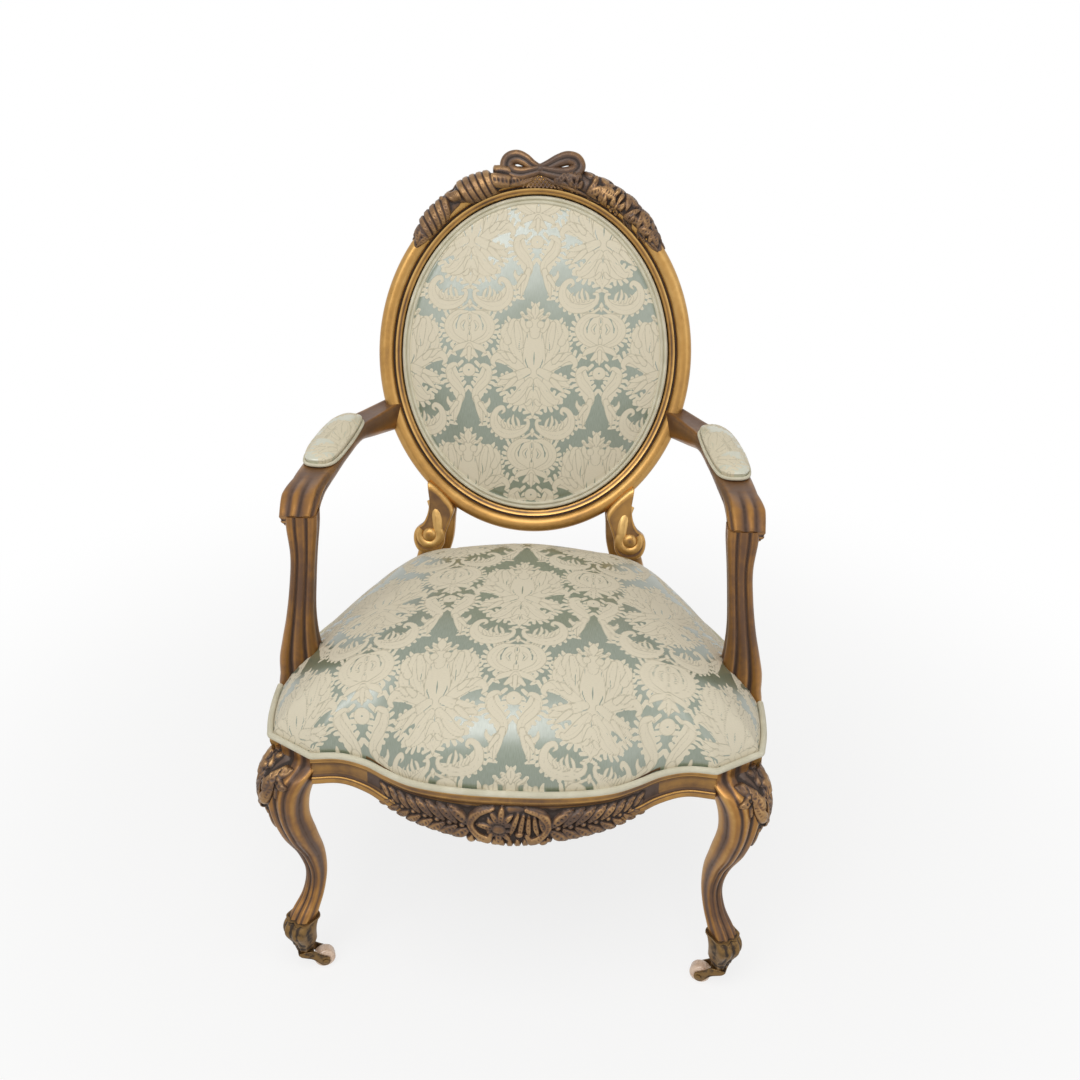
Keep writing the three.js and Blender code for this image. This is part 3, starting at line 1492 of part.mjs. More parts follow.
// Casters. The swivel axis is upright under the middle of the foot.
const [, footReachShare] = legShares.at(-1);
const swivel = faceMiddle.clone().addScaledVector(faceOut, footReachShare * legReach);
const trailTurnShare = 0.35; // how far back the wheel trails for each step inwards
const trailAlong = vec(-1, trailTurnShare, 0).normalize();
const wheelAlong = vec(trailAlong.y, -trailAlong.x, 0); // direction of the axle
const crownLow = 2 * wheelRadius + crownClearance;
const crownTop = crownLow + crownThickness;
const cheekPlay = 0.5; // wheel to cheek
const forkHalf = wheelWidth / 2 + cheekPlay + cheekThickness;
// A geometry drawn along the trail (x), the axle (y) and up (z), set at the swivel.
const onSwivel = (geometry) =>
  geometry.applyMatrix4(
    new THREE.Matrix4().makeBasis(trailAlong, wheelAlong.clone().negate(), vec(0, 0, 1)).setPosition(swivel),
  );
function upright(radius, low, high) {
  return new THREE.CylinderGeometry(radius, radius, high - low, pinSides)
    .rotateX(Math.PI / 2)
    .translate(0, 0, (low + high) / 2);
}
function alongAxle(radius, halfLength) {
  return new THREE.CylinderGeometry(radius, radius, 2 * halfLength, pinSides).translate(
    casterTrail,
    0,
    wheelRadius,
  );
}
// A cheek's outline: shares of the trail, and shares of the crown's height above the floor.
const cheekShares = [
  [-0.3, 1],
  [-0.3, 0.9],
  [0.35, 0.62],
  [0.72, 0.3],
  [0.86, 0.2],
  [1.1, 0.2],
  [1.24, 0.34],
  [1.22, 0.52],
  [1, 0.66],
  [0.7, 0.82],
  [0.45, 1],
];
function cheek(side) {
  const shape = new THREE.Shape(
    cheekShares.map(([along, up]) => new THREE.Vector2(along * casterTrail, up * crownTop)),
  );
  const start = side > 0 ? forkHalf - cheekThickness : -forkHalf;
  return new THREE.ExtrudeGeometry(shape, { depth: cheekThickness, bevelEnabled: false })
    .rotateX(Math.PI / 2)
    .translate(0, start + cheekThickness, 0);
}
const crownBack = 10; // the crown plate's end behind the pintle
const crownFront = cheekShares.at(-1)[0] * casterTrail;
function fork() {
  const crownPlate = block(vec(-crownBack, -forkHalf, crownLow), vec(crownFront, forkHalf, crownTop));
  const pintle = upright(pintleRadius, crownLow, crownTop + pintleLength);
  const body = joined([crownPlate, pintle, cheek(1), cheek(-1)]);
  return onSwivel(cut(body, alongAxle(axleRadius + gap, forkHalf + overrun)));
}
place("right_caster_fork", fork(), brass);
place("left_caster_fork", mirrored(fork()), brass);

const rivetRadius = 4;
const rivetRise = 1.6;
function axle() {
  const shaft = forkHalf + gap;
  const profile = [
    [0, -shaft - rivetRise],
    [rivetRadius, -shaft - rivetRise / 2],
    [rivetRadius, -shaft],
    [axleRadius, -shaft],
    [axleRadius, shaft],
    [rivetRadius, shaft],
    [rivetRadius, shaft + rivetRise / 2],
    [0, shaft + rivetRise],
  ].map(([r, y]) => new THREE.Vector2(r, y));
  const turned = new THREE.LatheGeometry(profile, pinSides);
  return onSwivel(turned.translate(casterTrail, 0, wheelRadius));
}
place("right_caster_axle", axle(), brass);
place("left_caster_axle", mirrored(axle()), brass);

// The barrel wheel's profile: shares of its radius and of its half width.
const wheelShares = [
  [0.62, 1],
  [0.9, 0.92],
  [1, 0.6],
  [1, -0.6],
  [0.9, -0.92],
  [0.62, -1],
];
function wheel() {
  const half = wheelWidth / 2;
  const profile = [
    [wheelBore, -half],
    ...wheelShares.map(([r, y]) => [r * wheelRadius, -y * half]),
    [wheelBore, half],
    [wheelBore, -half],
  ].map(([r, y]) => new THREE.Vector2(r, y));
  const turned = new THREE.LatheGeometry(profile, roundSides);
  return onSwivel(turned.translate(casterTrail, 0, wheelRadius));
}
place("right_caster_wheel", wheel(), ceramic);
place("left_caster_wheel", mirrored(wheel()), ceramic);

// The cup that shoes the foot, with the swivel's bore in its stub.
const stubShares = [0.56, 0.44]; // half widths of the stub as shares of the leg's half thickness
const stubTopShare = 0.6; // where the stub starts, from the crown up to the wooden foot
function cup() {
  const rings = legRings(gap + cupWall).slice(cupStationIndex);
  const stub = stubShares.map((share, i) =>
    legSectionShares.map(([out, across]) =>
      faceMiddle
        .clone()
        .addScaledVector(faceOut, footReachShare * legReach + out * share * legHalf)
        .addScaledVector(faceAlong, across * share * legHalf)
        .setZ(i === 0 ? mix(crownTop, footTop, stubTopShare) : crownTop + gap),
    ),
  );
  const bore = upright(pintleRadius + pintlePlay, 0, crownTop + pintleLength + pintlePlay);
  return largest(cut(loft([...rings, ...stub]), legCutter, bore.translate(swivel.x, swivel.y, 0)));
}
place("right_caster_cup", cup(), brass);
place("left_caster_cup", mirrored(cup()), brass);

// Centre the whole chair over the origin.
chair.updateMatrixWorld(true);
const bounds = new THREE.Box3().setFromObject(chair, true);
const middleY = (bounds.min.y + bounds.max.y) / 2;
for (const mesh of chair.children) mesh.geometry.translate(0, -middleY, 0);

export default chair;
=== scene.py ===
"""The looks of a carved giltwood open armchair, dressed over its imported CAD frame.

Lengths are millimetres, with y = 0 on the line between the seat rail's two front corners, as in the
part's source. A piece is scaled to metres and moved onto the frame when its mesh is made.
"""
import logging
import math
from dataclasses import dataclass, field
from enum import Enum
from functools import cached_property
from typing import Callable, Sequence

import bpy
import numpy as np
from mathutils import Matrix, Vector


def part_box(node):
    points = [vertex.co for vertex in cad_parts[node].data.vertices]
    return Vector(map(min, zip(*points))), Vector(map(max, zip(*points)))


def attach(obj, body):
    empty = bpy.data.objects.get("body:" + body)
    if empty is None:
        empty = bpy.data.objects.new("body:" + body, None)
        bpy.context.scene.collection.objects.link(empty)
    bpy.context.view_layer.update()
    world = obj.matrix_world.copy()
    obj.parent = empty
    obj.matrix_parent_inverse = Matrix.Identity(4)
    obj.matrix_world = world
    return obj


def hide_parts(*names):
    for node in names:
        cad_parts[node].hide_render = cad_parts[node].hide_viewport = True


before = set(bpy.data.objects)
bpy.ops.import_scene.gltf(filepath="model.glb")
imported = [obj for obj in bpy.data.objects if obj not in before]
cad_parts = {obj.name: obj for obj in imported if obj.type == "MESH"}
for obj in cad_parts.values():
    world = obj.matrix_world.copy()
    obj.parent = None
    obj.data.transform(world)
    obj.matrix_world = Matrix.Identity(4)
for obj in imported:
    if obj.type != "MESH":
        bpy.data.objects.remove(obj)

log = logging.getLogger("armchair")
Array = np.ndarray
Colour = tuple[float, float, float]
METRE = 0.001
BODY = "chair"


# Curves and grids

def spline(knots: Array | Sequence, steps: int, closed: bool = False) -> Array:
    """Centripetal Catmull-Rom curve: each span is the cubic whose end slopes weigh the neighbouring
    chords by the square roots of their lengths.

    Args:
        knots: Points, one a row, of any number of columns.
        steps: Samples on each span.
        closed: Whether the last knot joins the first.
    Returns:
        The samples, one a row; an open curve ends on its last knot.
    """
    held = np.asarray(knots, float)
    if closed:
        held = np.vstack([held[-1:], held, held[:2]])
    else:
        held = np.vstack([2 * held[:1] - held[1:2], held, 2 * held[-1:] - held[-2:-1]])
    before, first, second, after = (held[i:len(held) - 3 + i] for i in range(4))
    widths = [np.maximum(np.linalg.norm(b - a, axis=1, keepdims=True), 1e-6) ** 0.5
              for a, b in ((before, first), (first, second), (second, after))]
    w0, w1, w2 = widths
    leave = ((first - before) / w0 - (second - before) / (w0 + w1) + (second - first) / w1) * w1
    arrive = ((second - first) / w1 - (after - first) / (w1 + w2) + (after - second) / w2) * w1
    t = (np.arange(steps) / steps)[None, :, None]
    first, second, leave, arrive = (a[:, None, :] for a in (first, second, leave, arrive))
    curve = (first + leave * t + (3 * (second - first) - 2 * leave - arrive) * t ** 2
             + (2 * (first - second) + leave + arrive) * t ** 3).reshape(-1, held.shape[1])
    return curve if closed else np.vstack([curve, np.asarray(knots, float)[-1:]])


def unit(vectors: Array | Sequence) -> Array:
    """The vectors, each scaled to length one."""
    held = np.asarray(vectors, float)
    return held / np.maximum(np.linalg.norm(held, axis=-1, keepdims=True), 1e-9)


def directions(points: Array, closed: bool = False) -> Array:
    """The unit direction of travel at each point of a run: the chord between its neighbours."""
    if closed:
        return unit(np.roll(points, -1, 0) - np.roll(points, 1, 0))
    return unit(np.gradient(points, axis=0))


def resampled(points: Array, count: int, closed: bool = False) -> Array:
    """Evenly spaced points along a run, found by linear interpolation over its length.

    Args:
        points: The run, one point a row.
        count: How many points to return.
        closed: Whether the run joins its own start; the start isn't repeated at the end.
    Returns:
        The even points, one a row.
    """
    run = np.vstack([points, points[:1]]) if closed else points
    reach = np.concatenate([[0], np.cumsum(np.linalg.norm(np.diff(run, axis=0), axis=1))])
    wanted = np.linspace(0, reach[-1], count, endpoint=not closed)
    return np.stack([np.interp(wanted, reach, column) for column in run.T], 1)


def blurred(values: Array, cells: int, axis: int, closed: bool) -> Array:
    """The mean over a window of cells each way along one axis, as a difference of running sums."""
    cells = min(cells, (values.shape[axis] - 1) // 2)
    if cells < 1:
        return values
    pad = [(0, 0)] * values.ndim
    pad[axis] = (cells + 1, cells)
    sums = np.cumsum(np.pad(values, pad, mode="wrap" if closed else "edge"), axis=axis)
    window = 2 * cells + 1
    count = values.shape[axis]
    high = np.take(sums, np.arange(window, window + count), axis=axis)
    low = np.take(sums, np.arange(count), axis=axis)
    return (high - low) / window


def waves(points: Array, pitch: float, seed: float = 0.0) -> Array:
    """Soft unevenness in -1..1: the mean of three products of sines with unlike pitches."""
    x, y, z = (points[..., i] / pitch * 2 * math.pi for i in range(3))
    first = np.sin(x + 1.3 * np.sin(0.7 * y + seed)) * np.cos(0.9 * y + z + seed)
    second = np.sin(1.7 * y - 0.6 * x + 2.1 * seed) * np.cos(1.3 * z + x)
    third = np.sin(2.3 * x + 1.9 * z) * np.sin(2.1 * y + 0.5 * seed)
    return (first + second + third) / 3


def disc_square(cells: int) -> tuple[Array, Array]:
    """A square grid wrapped onto a disc by equal rings: the ring number is the larger coordinate,
    and the place on the ring is the place on that square's edge.

    Args:
        cells: Cells along the square's side, an even number.
    Returns:
        Share of the way out, and share of the way round from the middle of the first side.
    """
    line = np.linspace(-1, 1, cells + 1)
    x, y = np.meshgrid(line, line)
    ring = np.maximum(np.abs(x), np.abs(y))
    safe = np.maximum(ring, 1e-9)
    around = np.select(
        [-y >= np.abs(x), x >= np.abs(y), y >= np.abs(x)],
        [x / safe, 2 + y / safe, 4 - x / safe], 6 - y / safe)
    return ring, (around / 8) % 1.0


def grid_faces(rows: int, columns: int, closed: bool, looped: bool) -> Array:
    """The four corners of each cell of a grid of points, numbered row by row."""
    i = np.arange(rows if looped else rows - 1)[:, None]
    j = np.arange(columns if closed else columns - 1)[None, :]
    over, down = (j + 1) % columns, (i + 1) % rows
    corners = (i * columns + j, i * columns + over, down * columns + over, down * columns + j)
    return np.stack(np.broadcast_arrays(*corners), -1).reshape(-1, 4)


class Shell:
    """The points, faces and point values of one piece, gathered patch by patch."""

    def __init__(self) -> None:
        self.points: list[Array] = []
        self.faces: list[Array] = []
        self.values: list[dict[str, Array]] = []
        self.count = 0

    def add(self, grid: Array, closed: bool = False, looped: bool = False, capped: bool = False,
            inside: Array | None = None, reach: float = 3.5, **values: Array) -> "Shell":
        """Adds a grid of points as quads, turned to face away from a point inside it.

        The value named wear is how proud a point stands of the mean of the points within
        reach of it, along its normal: positive on edges and beads, negative in hollows. The gilt
        finishes paint shade into hollows and highlights onto edges from it; the metal keeps its edges
        clean of tarnish by it.

        Args:
            grid: Points as rows by columns by 3.
            closed: Whether each row joins its own start.
            looped: Whether the last row joins the first.
            capped: Whether a fan to its middle shuts the first and the last row.
            inside: A point behind the faces; the grid's mean if none is given.
            reach: The distance over which wear is judged.
            **values: Further values at each point, rows by columns.
        Returns:
            This shell.
        """
        rows, columns = grid.shape[:2]
        faces = grid_faces(rows, columns, closed, looped)
        points = grid.reshape(-1, 3)
        behind = points.mean(0) if inside is None else np.asarray(inside, float)
        a, b, c, d = (points[faces[:, k]] for k in range(4))
        turned = ((np.cross(c - a, d - b) * ((a + b + c + d) / 4 - behind)).sum() < 0)
        held = {name: np.asarray(value, float).reshape(-1) for name, value in values.items()}
        held.setdefault("wear", self.wear_and_shading_of(grid, closed, looped, turned, reach).reshape(-1))
        if capped:
            ends = np.stack([grid[0].mean(0), grid[-1].mean(0)])
            around = np.arange(columns)
            over = np.roll(around, -1)
            first = np.stack([np.full(columns, len(points)), over, around, np.full(columns, -1)], 1)
            start = (rows - 1) * columns
            last = np.stack([np.full(columns, len(points) + 1), start + around, start + over,
                             np.full(columns, -1)], 1)
            faces = np.vstack([faces, first, last])
            points = np.vstack([points, ends])
            held = {name: np.concatenate([value, value[[0, -1]]]) for name, value in held.items()}
        if turned:
            three = faces[:, 3] < 0
            faces = np.where(three[:, None], faces[:, [0, 2, 1, 3]], faces[:, ::-1])
        self.faces.append(np.where(faces < 0, -1, faces + self.count))
        self.points.append(points)
        self.values.append(held)
        self.count += len(points)
        return self

    @staticmethod
    def wear_and_shading_of(grid: Array, closed: bool, looped: bool, turned: bool, reach: float) -> Array:
        """How proud each point stands of its neighbours' mean, as a share of a tenth of the reach."""
        pads = ((1, 1), (0, 0), (0, 0))
        down = np.pad(grid, pads, mode="wrap" if looped else "edge")
        over = np.pad(grid, (pads[1], pads[0], pads[2]), mode="wrap" if closed else "edge")
        step_down, step_over = down[2:] - down[:-2], over[:, 2:] - over[:, :-2]
        normal = unit(np.cross(step_over, step_down)) * (-1 if turned else 1)
        mean = grid
        for axis, step, joined in ((0, step_down, looped), (1, step_over, closed)):
            pitch = np.linalg.norm(step, axis=-1).mean() / 2
            mean = blurred(mean, round(reach / max(pitch, 0.05)), axis, joined)
        proud = ((grid - mean) * normal).sum(-1)
        # Proudness: the gilt finishes turn it into painted shade in hollows and painted highlights on edges.
        return np.tanh(proud / (0.1 * reach))

    def merge(self, other: "Shell") -> "Shell":
        """Adds all patches of another shell."""
        self.faces += [np.where(f < 0, -1, f + self.count) for f in other.faces]
        self.points += other.points
        self.values += other.values
        self.count += other.count
        return self

    def mirrored(self) -> "Shell":
        """The same piece on the other side of the chair's middle plane."""
        twin = Shell()
        twin.points = [p * [-1, 1, 1] for p in self.points]
        twin.faces = [np.where(f[:, 3:] < 0, f[:, [0, 2, 1, 3]], f[:, ::-1]) for f in self.faces]
        twin.values = self.values
        twin.count = self.count
        return twin

    def build(self, name: str, finish: "Finish", body: str = BODY, replaces: Sequence[str] = (),
              crease: float = 50.0) -> bpy.types.Object:
        """Makes the mesh object, with its finish, on its CAD body.

        Args:
            name: The piece's name.
            finish: What its surface is made of.
            body: The CAD body it moves with.
            replaces: The CAD nodes it stands for.
            crease: Edges that turn by more than this many degrees stay sharp.
        Returns:
            The finished object.
        """
        points = (np.vstack(self.points) + [0, Y_SHIFT, 0]) * METRE
        faces = np.vstack(self.faces)
        lengths = np.where(faces[:, 3] < 0, 3, 4)
        corners = faces.reshape(-1)[faces.reshape(-1) >= 0]
        mesh = bpy.data.meshes.new(name)
        mesh.vertices.add(len(points))
        mesh.vertices.foreach_set("co", points.astype(np.float32).reshape(-1))
        mesh.loops.add(len(corners))
        mesh.loops.foreach_set("vertex_index", corners.astype(np.int32))
        mesh.polygons.add(len(faces))
        starts = np.concatenate([[0], np.cumsum(lengths)[:-1]])
        mesh.polygons.foreach_set("loop_start", starts.astype(np.int32))
        mesh.update(calc_edges=True)
        mesh.validate()
        names = sorted({key for held in self.values for key in held})
        for key in names:
            whole = np.concatenate([held.get(key, np.zeros(len(p)))
                                    for held, p in zip(self.values, self.points)])
            layer = mesh.attributes.new(key, "FLOAT", "POINT")
            layer.data.foreach_set("value", whole.astype(np.float32))
        mesh.polygons.foreach_set("use_smooth", np.ones(len(mesh.polygons), bool))
        mesh.set_sharp_from_angle(angle=math.radians(crease))
        made = bpy.data.objects.new(name, mesh)
        bpy.context.scene.collection.objects.link(made)
        mesh.materials.append(finish.material)
        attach(made, body)
        if replaces:
            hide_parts(*replaces)
        log.info("%s: %d points, %d faces", name, len(points), len(faces))
        return made


def tube(path: Array, radii: Array | float, sides: int, closed: bool = False,
         up: Sequence[float] = (0, 0, 1), squash: float = 1.0) -> Array:
    """Rings round a path: at each point a circle across the direction of travel.

    Args:
        path: Points of the path.
        radii: The circle's radius, one for all points or one each.
        sides: Points on each ring.
        closed: Whether the path joins its own start.
        up: The direction from which each ring is numbered.
        squash: The ring's size along that direction, as a share of its size across it.
    Returns:
        A grid of points, rings by sides.
    """
    along = directions(path, closed)
    side = unit(np.cross(along, np.asarray(up, float)))
    rise = np.cross(side, along)
    turn = np.linspace(0, 2 * math.pi, sides, endpoint=False)[None, :, None]
    size = np.broadcast_to(np.asarray(radii, float), len(path))[:, None, None]
    return path[:, None] + size * (np.cos(turn) * side[:, None] + squash * np.sin(turn) * rise[:, None])


def lathe(profile: Array, sides: int, origin: Array, axis: Array, start: Array) -> Array:
    """A profile of radii and places along an axis, turned round that axis.

    Args:
        profile: Radius and place along the axis, one pair a row.
        sides: Points on each ring.
        origin: Where the axis starts.
        axis: Its direction.
        start: A direction across it.
    Returns:
        A grid of points, profile by sides.
    """
    other = np.cross(axis, start)
    turn = np.linspace(0, 2 * math.pi, sides, endpoint=False)[None, :, None]
    ring = np.cos(turn) * start + np.sin(turn) * other
    return origin + profile[:, 1][:, None, None] * axis + profile[:, 0][:, None, None] * ring


# Shared sizes and places

@dataclass(frozen=True)
class Layout:
    """Sizes that several sub-assemblies share, as the CAD solids have them."""

    gap: float = 0.35
    rail_top: float = 387.0
    seat_half_width: float = 335.0
    seat_rear_half_width: float = 192.0
    seat_depth: float = 458.0
    rear_leg_x: float = 165.0
    rear_leg_y: float = 466.0
    oval_half_width: float = 203.0
    oval_half_height: float = 237.0
    oval_face: float = 34.0
    oval_half_thickness: float = 16.0
    oval_y: float = 544.5
    oval_z: float = 739.8
    lean_rise: float = 488.0
    lean_run: float = 152.0

    @cached_property
    def back_up(self) -> Array:
        """The direction up the leaning back."""
        return unit([0, self.lean_run, self.lean_rise])

    @cached_property
    def back_out(self) -> Array:
        """The direction out of the back, towards the sitter."""
        return unit([0, -self.lean_rise, self.lean_run])

    def on_back(self, across: Array | float, up: Array | float, out: Array | float) -> Array:
        """Points of the back's own frame: across, up from the oval's centre, and out of it."""
        across, up, out = np.broadcast_arrays(*(np.asarray(v, float) for v in (across, up, out)))
        centre = np.array([0, self.oval_y, self.oval_z])
        return (centre + up[..., None] * self.back_up + out[..., None] * self.back_out
                + across[..., None] * np.array([1.0, 0, 0]))

    def round_oval(self, angle: Array | float, radial: Array | float, out: Array | float) -> Array:
        """Points at an angle, a distance outwards from the oval's sight edge and out of the back."""
        across = (self.oval_half_width + radial) * np.cos(angle)
        return self.on_back(across, (self.oval_half_height + radial) * np.sin(angle), out)


LAYOUT = Layout()
WHEEL_Y = 22.061  # middle of a caster wheel, from the line between the front corners
_low, _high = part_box("right_caster_wheel")
Y_SHIFT = (_low.y + _high.y) / 2 / METRE - WHEEL_Y


@dataclass(frozen=True)
class Stance:
    """Where a carved leaf or flower sits: its foot, the way it points and the way it faces."""

    foot: Array
    along: Array
    out: Array

    def place(self, grid: Array) -> Array:
        """Moves a grid drawn along x, across y and out along z to this stance."""
        out = unit(self.out)
        along = unit(self.along - out * (self.along * out).sum())
        across = np.cross(out, along)
        return self.foot + grid @ np.stack([along, across, out])

    def turned(self, degrees: float) -> "Stance":
        """The same stance with its direction turned in its own plane."""
        out = unit(self.out)
        along = unit(self.along - out * (self.along * out).sum())
        angle = math.radians(degrees)
        return Stance(self.foot, along * math.cos(angle) + np.cross(out, along) * math.sin(angle), out)


def carved_leaf(length: float, width: float, rise: float, lobes: int = 3, curl: float = 0.0,
                sway: float = 0.0) -> Array:
    """An acanthus leaf: a lens outline cut into lobes, a groove down its middle, a ridge up each
    lobe, and a tip that lifts with the cube of the way along it.

    Args:
        length: Foot to tip.
        width: Widest place.
        rise: Height of its back over what it lies on.
        lobes: Lobes on each side.
        curl: How far the tip lifts.
        sway: Sideways reach of the tip.
    Returns:
        A closed-ring grid, rows by columns by 3.
    """
    s = np.linspace(0, 1, 12 * lobes + 6)[:, None]
    t = np.concatenate([np.linspace(-1, 1, 17), np.linspace(0.7, -0.7, 5)])[None, :]
    under = np.concatenate([np.zeros(17), np.ones(5)])[None, :]
    tooth = 0.5 + 0.5 * np.cos(2 * math.pi * (lobes * s - 0.42))
    half = width / 2 * np.sin(math.pi * (0.04 + 0.96 * s) ** 0.8).clip(0, 1) ** 0.7 * (0.68 + 0.32 * tooth)
    forward = 0.16 * length / lobes * np.abs(t) * tooth
    ridge = 0.22 * np.cos(2 * math.pi * (lobes * s - 0.42 - 0.28 * np.abs(t))) * np.abs(t)
    groove = 0.55 * np.exp(-(t / 0.16) ** 2)
    body = np.sin(math.pi * (0.06 + 0.9 * s)) ** 0.5 * (1 - 0.5 * t ** 2)
    height = rise * (body * (0.85 + ridge) - groove * np.sin(math.pi * s))
    x = length * s + forward
    y = t * half + sway * s ** 2
    lift = curl * s ** 3
    z = np.where(under > 0, -0.35 * rise, height) + lift
    return np.stack(np.broadcast_arrays(x, y, z), -1)


def carved_berry(radius: float) -> Array:
    """A round berry: a sphere of rings round the way it faces."""
    lift = np.linspace(-0.98, 0.99, 9)[:, None]
    turn = np.linspace(0, 2 * math.pi, 14, endpoint=False)[None, :]
    ring = np.sqrt(1 - lift ** 2)
    return radius * np.stack(np.broadcast_arrays(ring * np.cos(turn), ring * np.sin(turn), lift), -1)


class Sprig(Enum):
    """The kinds of carved ornament that tapered runs draw."""

    LEAF = "leaf"
    FAN = "fan"
    FLOWER = "flower"
    BEAD = "bead"
    REED = "reed"
    SWELL = "swell"


def leaf(along: float, across: float, heading: float, length: float, half: float, height: float,
         curl: float = 0.0) -> list[Array]:
    """A pointed leaf as one tapered run: its half width follows a sine from foot to tip, and it bends
    evenly. A run's rows are place along, place across, half width, height and depth of the gouge.

    Args:
        along: Foot of the leaf along the carved band.
        across: Foot of the leaf across it.
        heading: Its first direction in degrees, from along towards across.
        length: Foot to tip.
        half: Greatest half width.
        height: Greatest height.
        curl: How many degrees it turns.
    Returns:
        The run, in a list.
    """
    share = np.linspace(0, 1, 7)
    turn = np.radians(heading + curl * share)
    steps = length / 6 * np.stack([np.cos(turn), np.sin(turn)], 1)
    spine = np.array([along, across]) + np.vstack([[[0, 0]], np.cumsum(steps[:-1], 0)])
    girth = half * np.sin(math.pi * (0.12 + 0.84 * share)) ** 0.7
    lift = height * (0.75 + 0.25 * np.sin(math.pi * share))
    return [np.column_stack([spine, girth, lift, np.full(7, 0.45)])]


def fan(along: float, across: float, heading: float, length: float, half: float, height: float,
        leaves: int = 5, opening: float = 130.0) -> list[Array]:
    """A lobed leaf as several leaves from one foot: the middle one is the longest and highest, and the
    outer ones bend outwards."""
    runs = []
    for lean in np.linspace(-1, 1, leaves):
        shrink = 1 - 0.34 * abs(lean)
        runs += leaf(along, across, heading + lean * opening / 2, length * shrink, half * (1 - 0.15 * abs(lean)),
                     height * (1 - 0.22 * abs(lean)), 26 * lean)
    return runs


def flower(along: float, across: float, radius: float, height: float, petals: int = 5) -> list[Array]:
    """A flower as tapered runs: petals round an eye."""
    runs = []
    for turn in np.arange(petals) / petals * 2 * math.pi + 0.4:
        way = np.array([math.cos(turn), math.sin(turn)])
        near, far = (np.array([along, across]) + way * radius * share for share in (0.34, 0.66))
        runs.append(np.array([[*near, 0.24 * radius, 0.6 * height, 0.3], [*far, 0.36 * radius, 0.9 * height, 0.3]]))
    return runs + bead(along, across, 0.26 * radius, height)


def bead(along: float, across: float, radius: float, height: float) -> list[Array]:
    """A round bead as one short run."""
    return [np.array([[along, across, radius, height, 0], [along + 0.1, across, radius, height, 0]])]


def reed(*knots: tuple[float, ...]) -> list[Array]:
    """A grooved stem or scroll through knots of place along, place across, half width and height."""
    return [np.pad(spline(knots, 5), ((0, 0), (0, 1)), constant_values=0.3)]


def swell(*knots: tuple[float, ...]) -> list[Array]:
    """A smooth swelling of the ground through knots of place along and across, half width, height."""
    return [np.pad(spline(knots, 4), ((0, 0), (0, 1)))]


DRAWN: dict[Sprig, Callable[..., list[Array]]] = {
    Sprig.LEAF: leaf, Sprig.FAN: fan, Sprig.FLOWER: flower, Sprig.BEAD: bead, Sprig.REED: reed,
    Sprig.SWELL: swell}


def drawn(rows: Sequence, ground: bool = False) -> list[Array]:
    """The runs of a list of ornaments, each a kind and its sizes: of the ground, or of what is on it."""
    return [run for kind, *sizes in rows if (kind is Sprig.SWELL) == ground for run in DRAWN[kind](*sizes)]


def from_run(x: Array, y: Array, run: Array) -> Array:
    """Distance to a tapered run less its half width: the least over its straight pieces."""
    least = np.full(x.shape, 1e6)
    for (ax, ay, ar), (bx, by, br) in zip(run[:-1, :3], run[1:, :3]):
        dx, dy = bx - ax, by - ay
        share = (((x - ax) * dx + (y - ay) * dy) / (dx * dx + dy * dy + 1e-9)).clip(0, 1)
        away = np.hypot(x - ax - share * dx, y - ay - share * dy) - (ar + (br - ar) * share)
        np.minimum(least, away, out=least)
    return least


def carved_height(x: Array, y: Array, runs: Sequence[Array]) -> Array:
    """Height of carving: each run's section is half an ellipse with a gouge cut along its middle, and
    where runs cross the highest shows.

    Args:
        x: Places along.
        y: Places across.
        runs: Tapered runs with height and gouge in their last columns.
    Returns:
        The height at each place.
    """
    top = np.zeros(x.shape)
    for run in runs:
        for (ax, ay, ar, ah, depth), (bx, by, br, bh, _) in zip(run[:-1], run[1:]):
            dx, dy = bx - ax, by - ay
            share = (((x - ax) * dx + (y - ay) * dy) / (dx * dx + dy * dy + 1e-9)).clip(0, 1)
            out = np.hypot(x - ax - share * dx, y - ay - share * dy) / (ar + (br - ar) * share + 1e-6)
            gouge = 1 - depth * np.exp(-(out / 0.26) ** 2)
            lift = (ah + (bh - ah) * share) * np.sqrt((1 - out ** 2).clip(0, 1)) * gouge
            np.maximum(top, lift, out=top)
    return top


def relief(base: Array, along: Array, across: Array, rows: Sequence, facing: Array,
           sink: float = 1.2, depth: float = 3.0) -> Shell:
    """Carving raised over a base surface, shut by a second skin inside the wood. Its height is that of
    the swelling ground plus that of the ornaments on it.

    Args:
        base: The wood's own surface, along by across by 3.
        along: Places along the base's rows, in the ornaments' measure.
        across: Places across its columns.
        rows: The ornaments.
        facing: A direction that the carved face turns to.
        sink: How far bare ground lies inside the wood.
        depth: Thickness of the hidden part.
    Returns:
        The closed shell.
    """
    normal = unit(np.cross(np.gradient(base, axis=1), np.gradient(base, axis=0)))
    normal *= np.sign((normal * facing).sum())
    x, y = np.meshgrid(along, across, indexing="ij")
    height = carved_height(x, y, drawn(rows)) + carved_height(x, y, drawn(rows, ground=True))
    top = base + normal * (height - sink)[..., None]
    under = base - normal * (sink + depth)
    middle = len(base) // 2
    return Shell().add(np.concatenate([top, under[:, ::-1]], 1), closed=True, capped=True, reach=5.0,
                       inside=base[middle].mean(0) - normal[middle].mean(0) * (sink + depth / 2))


def add_leaf(shell: Shell, stance: Stance, size: float, width: float = 0.5, rise: float = 0.2,
             curl: float = 2.0) -> None:
    """Adds a leaf that stands free of its ground, at a stance."""
    grid = carved_leaf(size, size * width, size * rise, curl=curl)
    shell.add(stance.place(grid), closed=True, capped=True, reach=1.6)


# Shader expressions and finishes

def srgb(red: int, green: int, blue: int) -> Colour:
    """A colour as it is seen, 0 to 255 a channel, as linear light."""
    seen = np.array([red, green, blue]) / 255
    linear = np.where(seen > 0.04045, ((seen + 0.055) / 1.055) ** 2.4, seen / 12.92)
    return tuple(float(c) for c in linear)


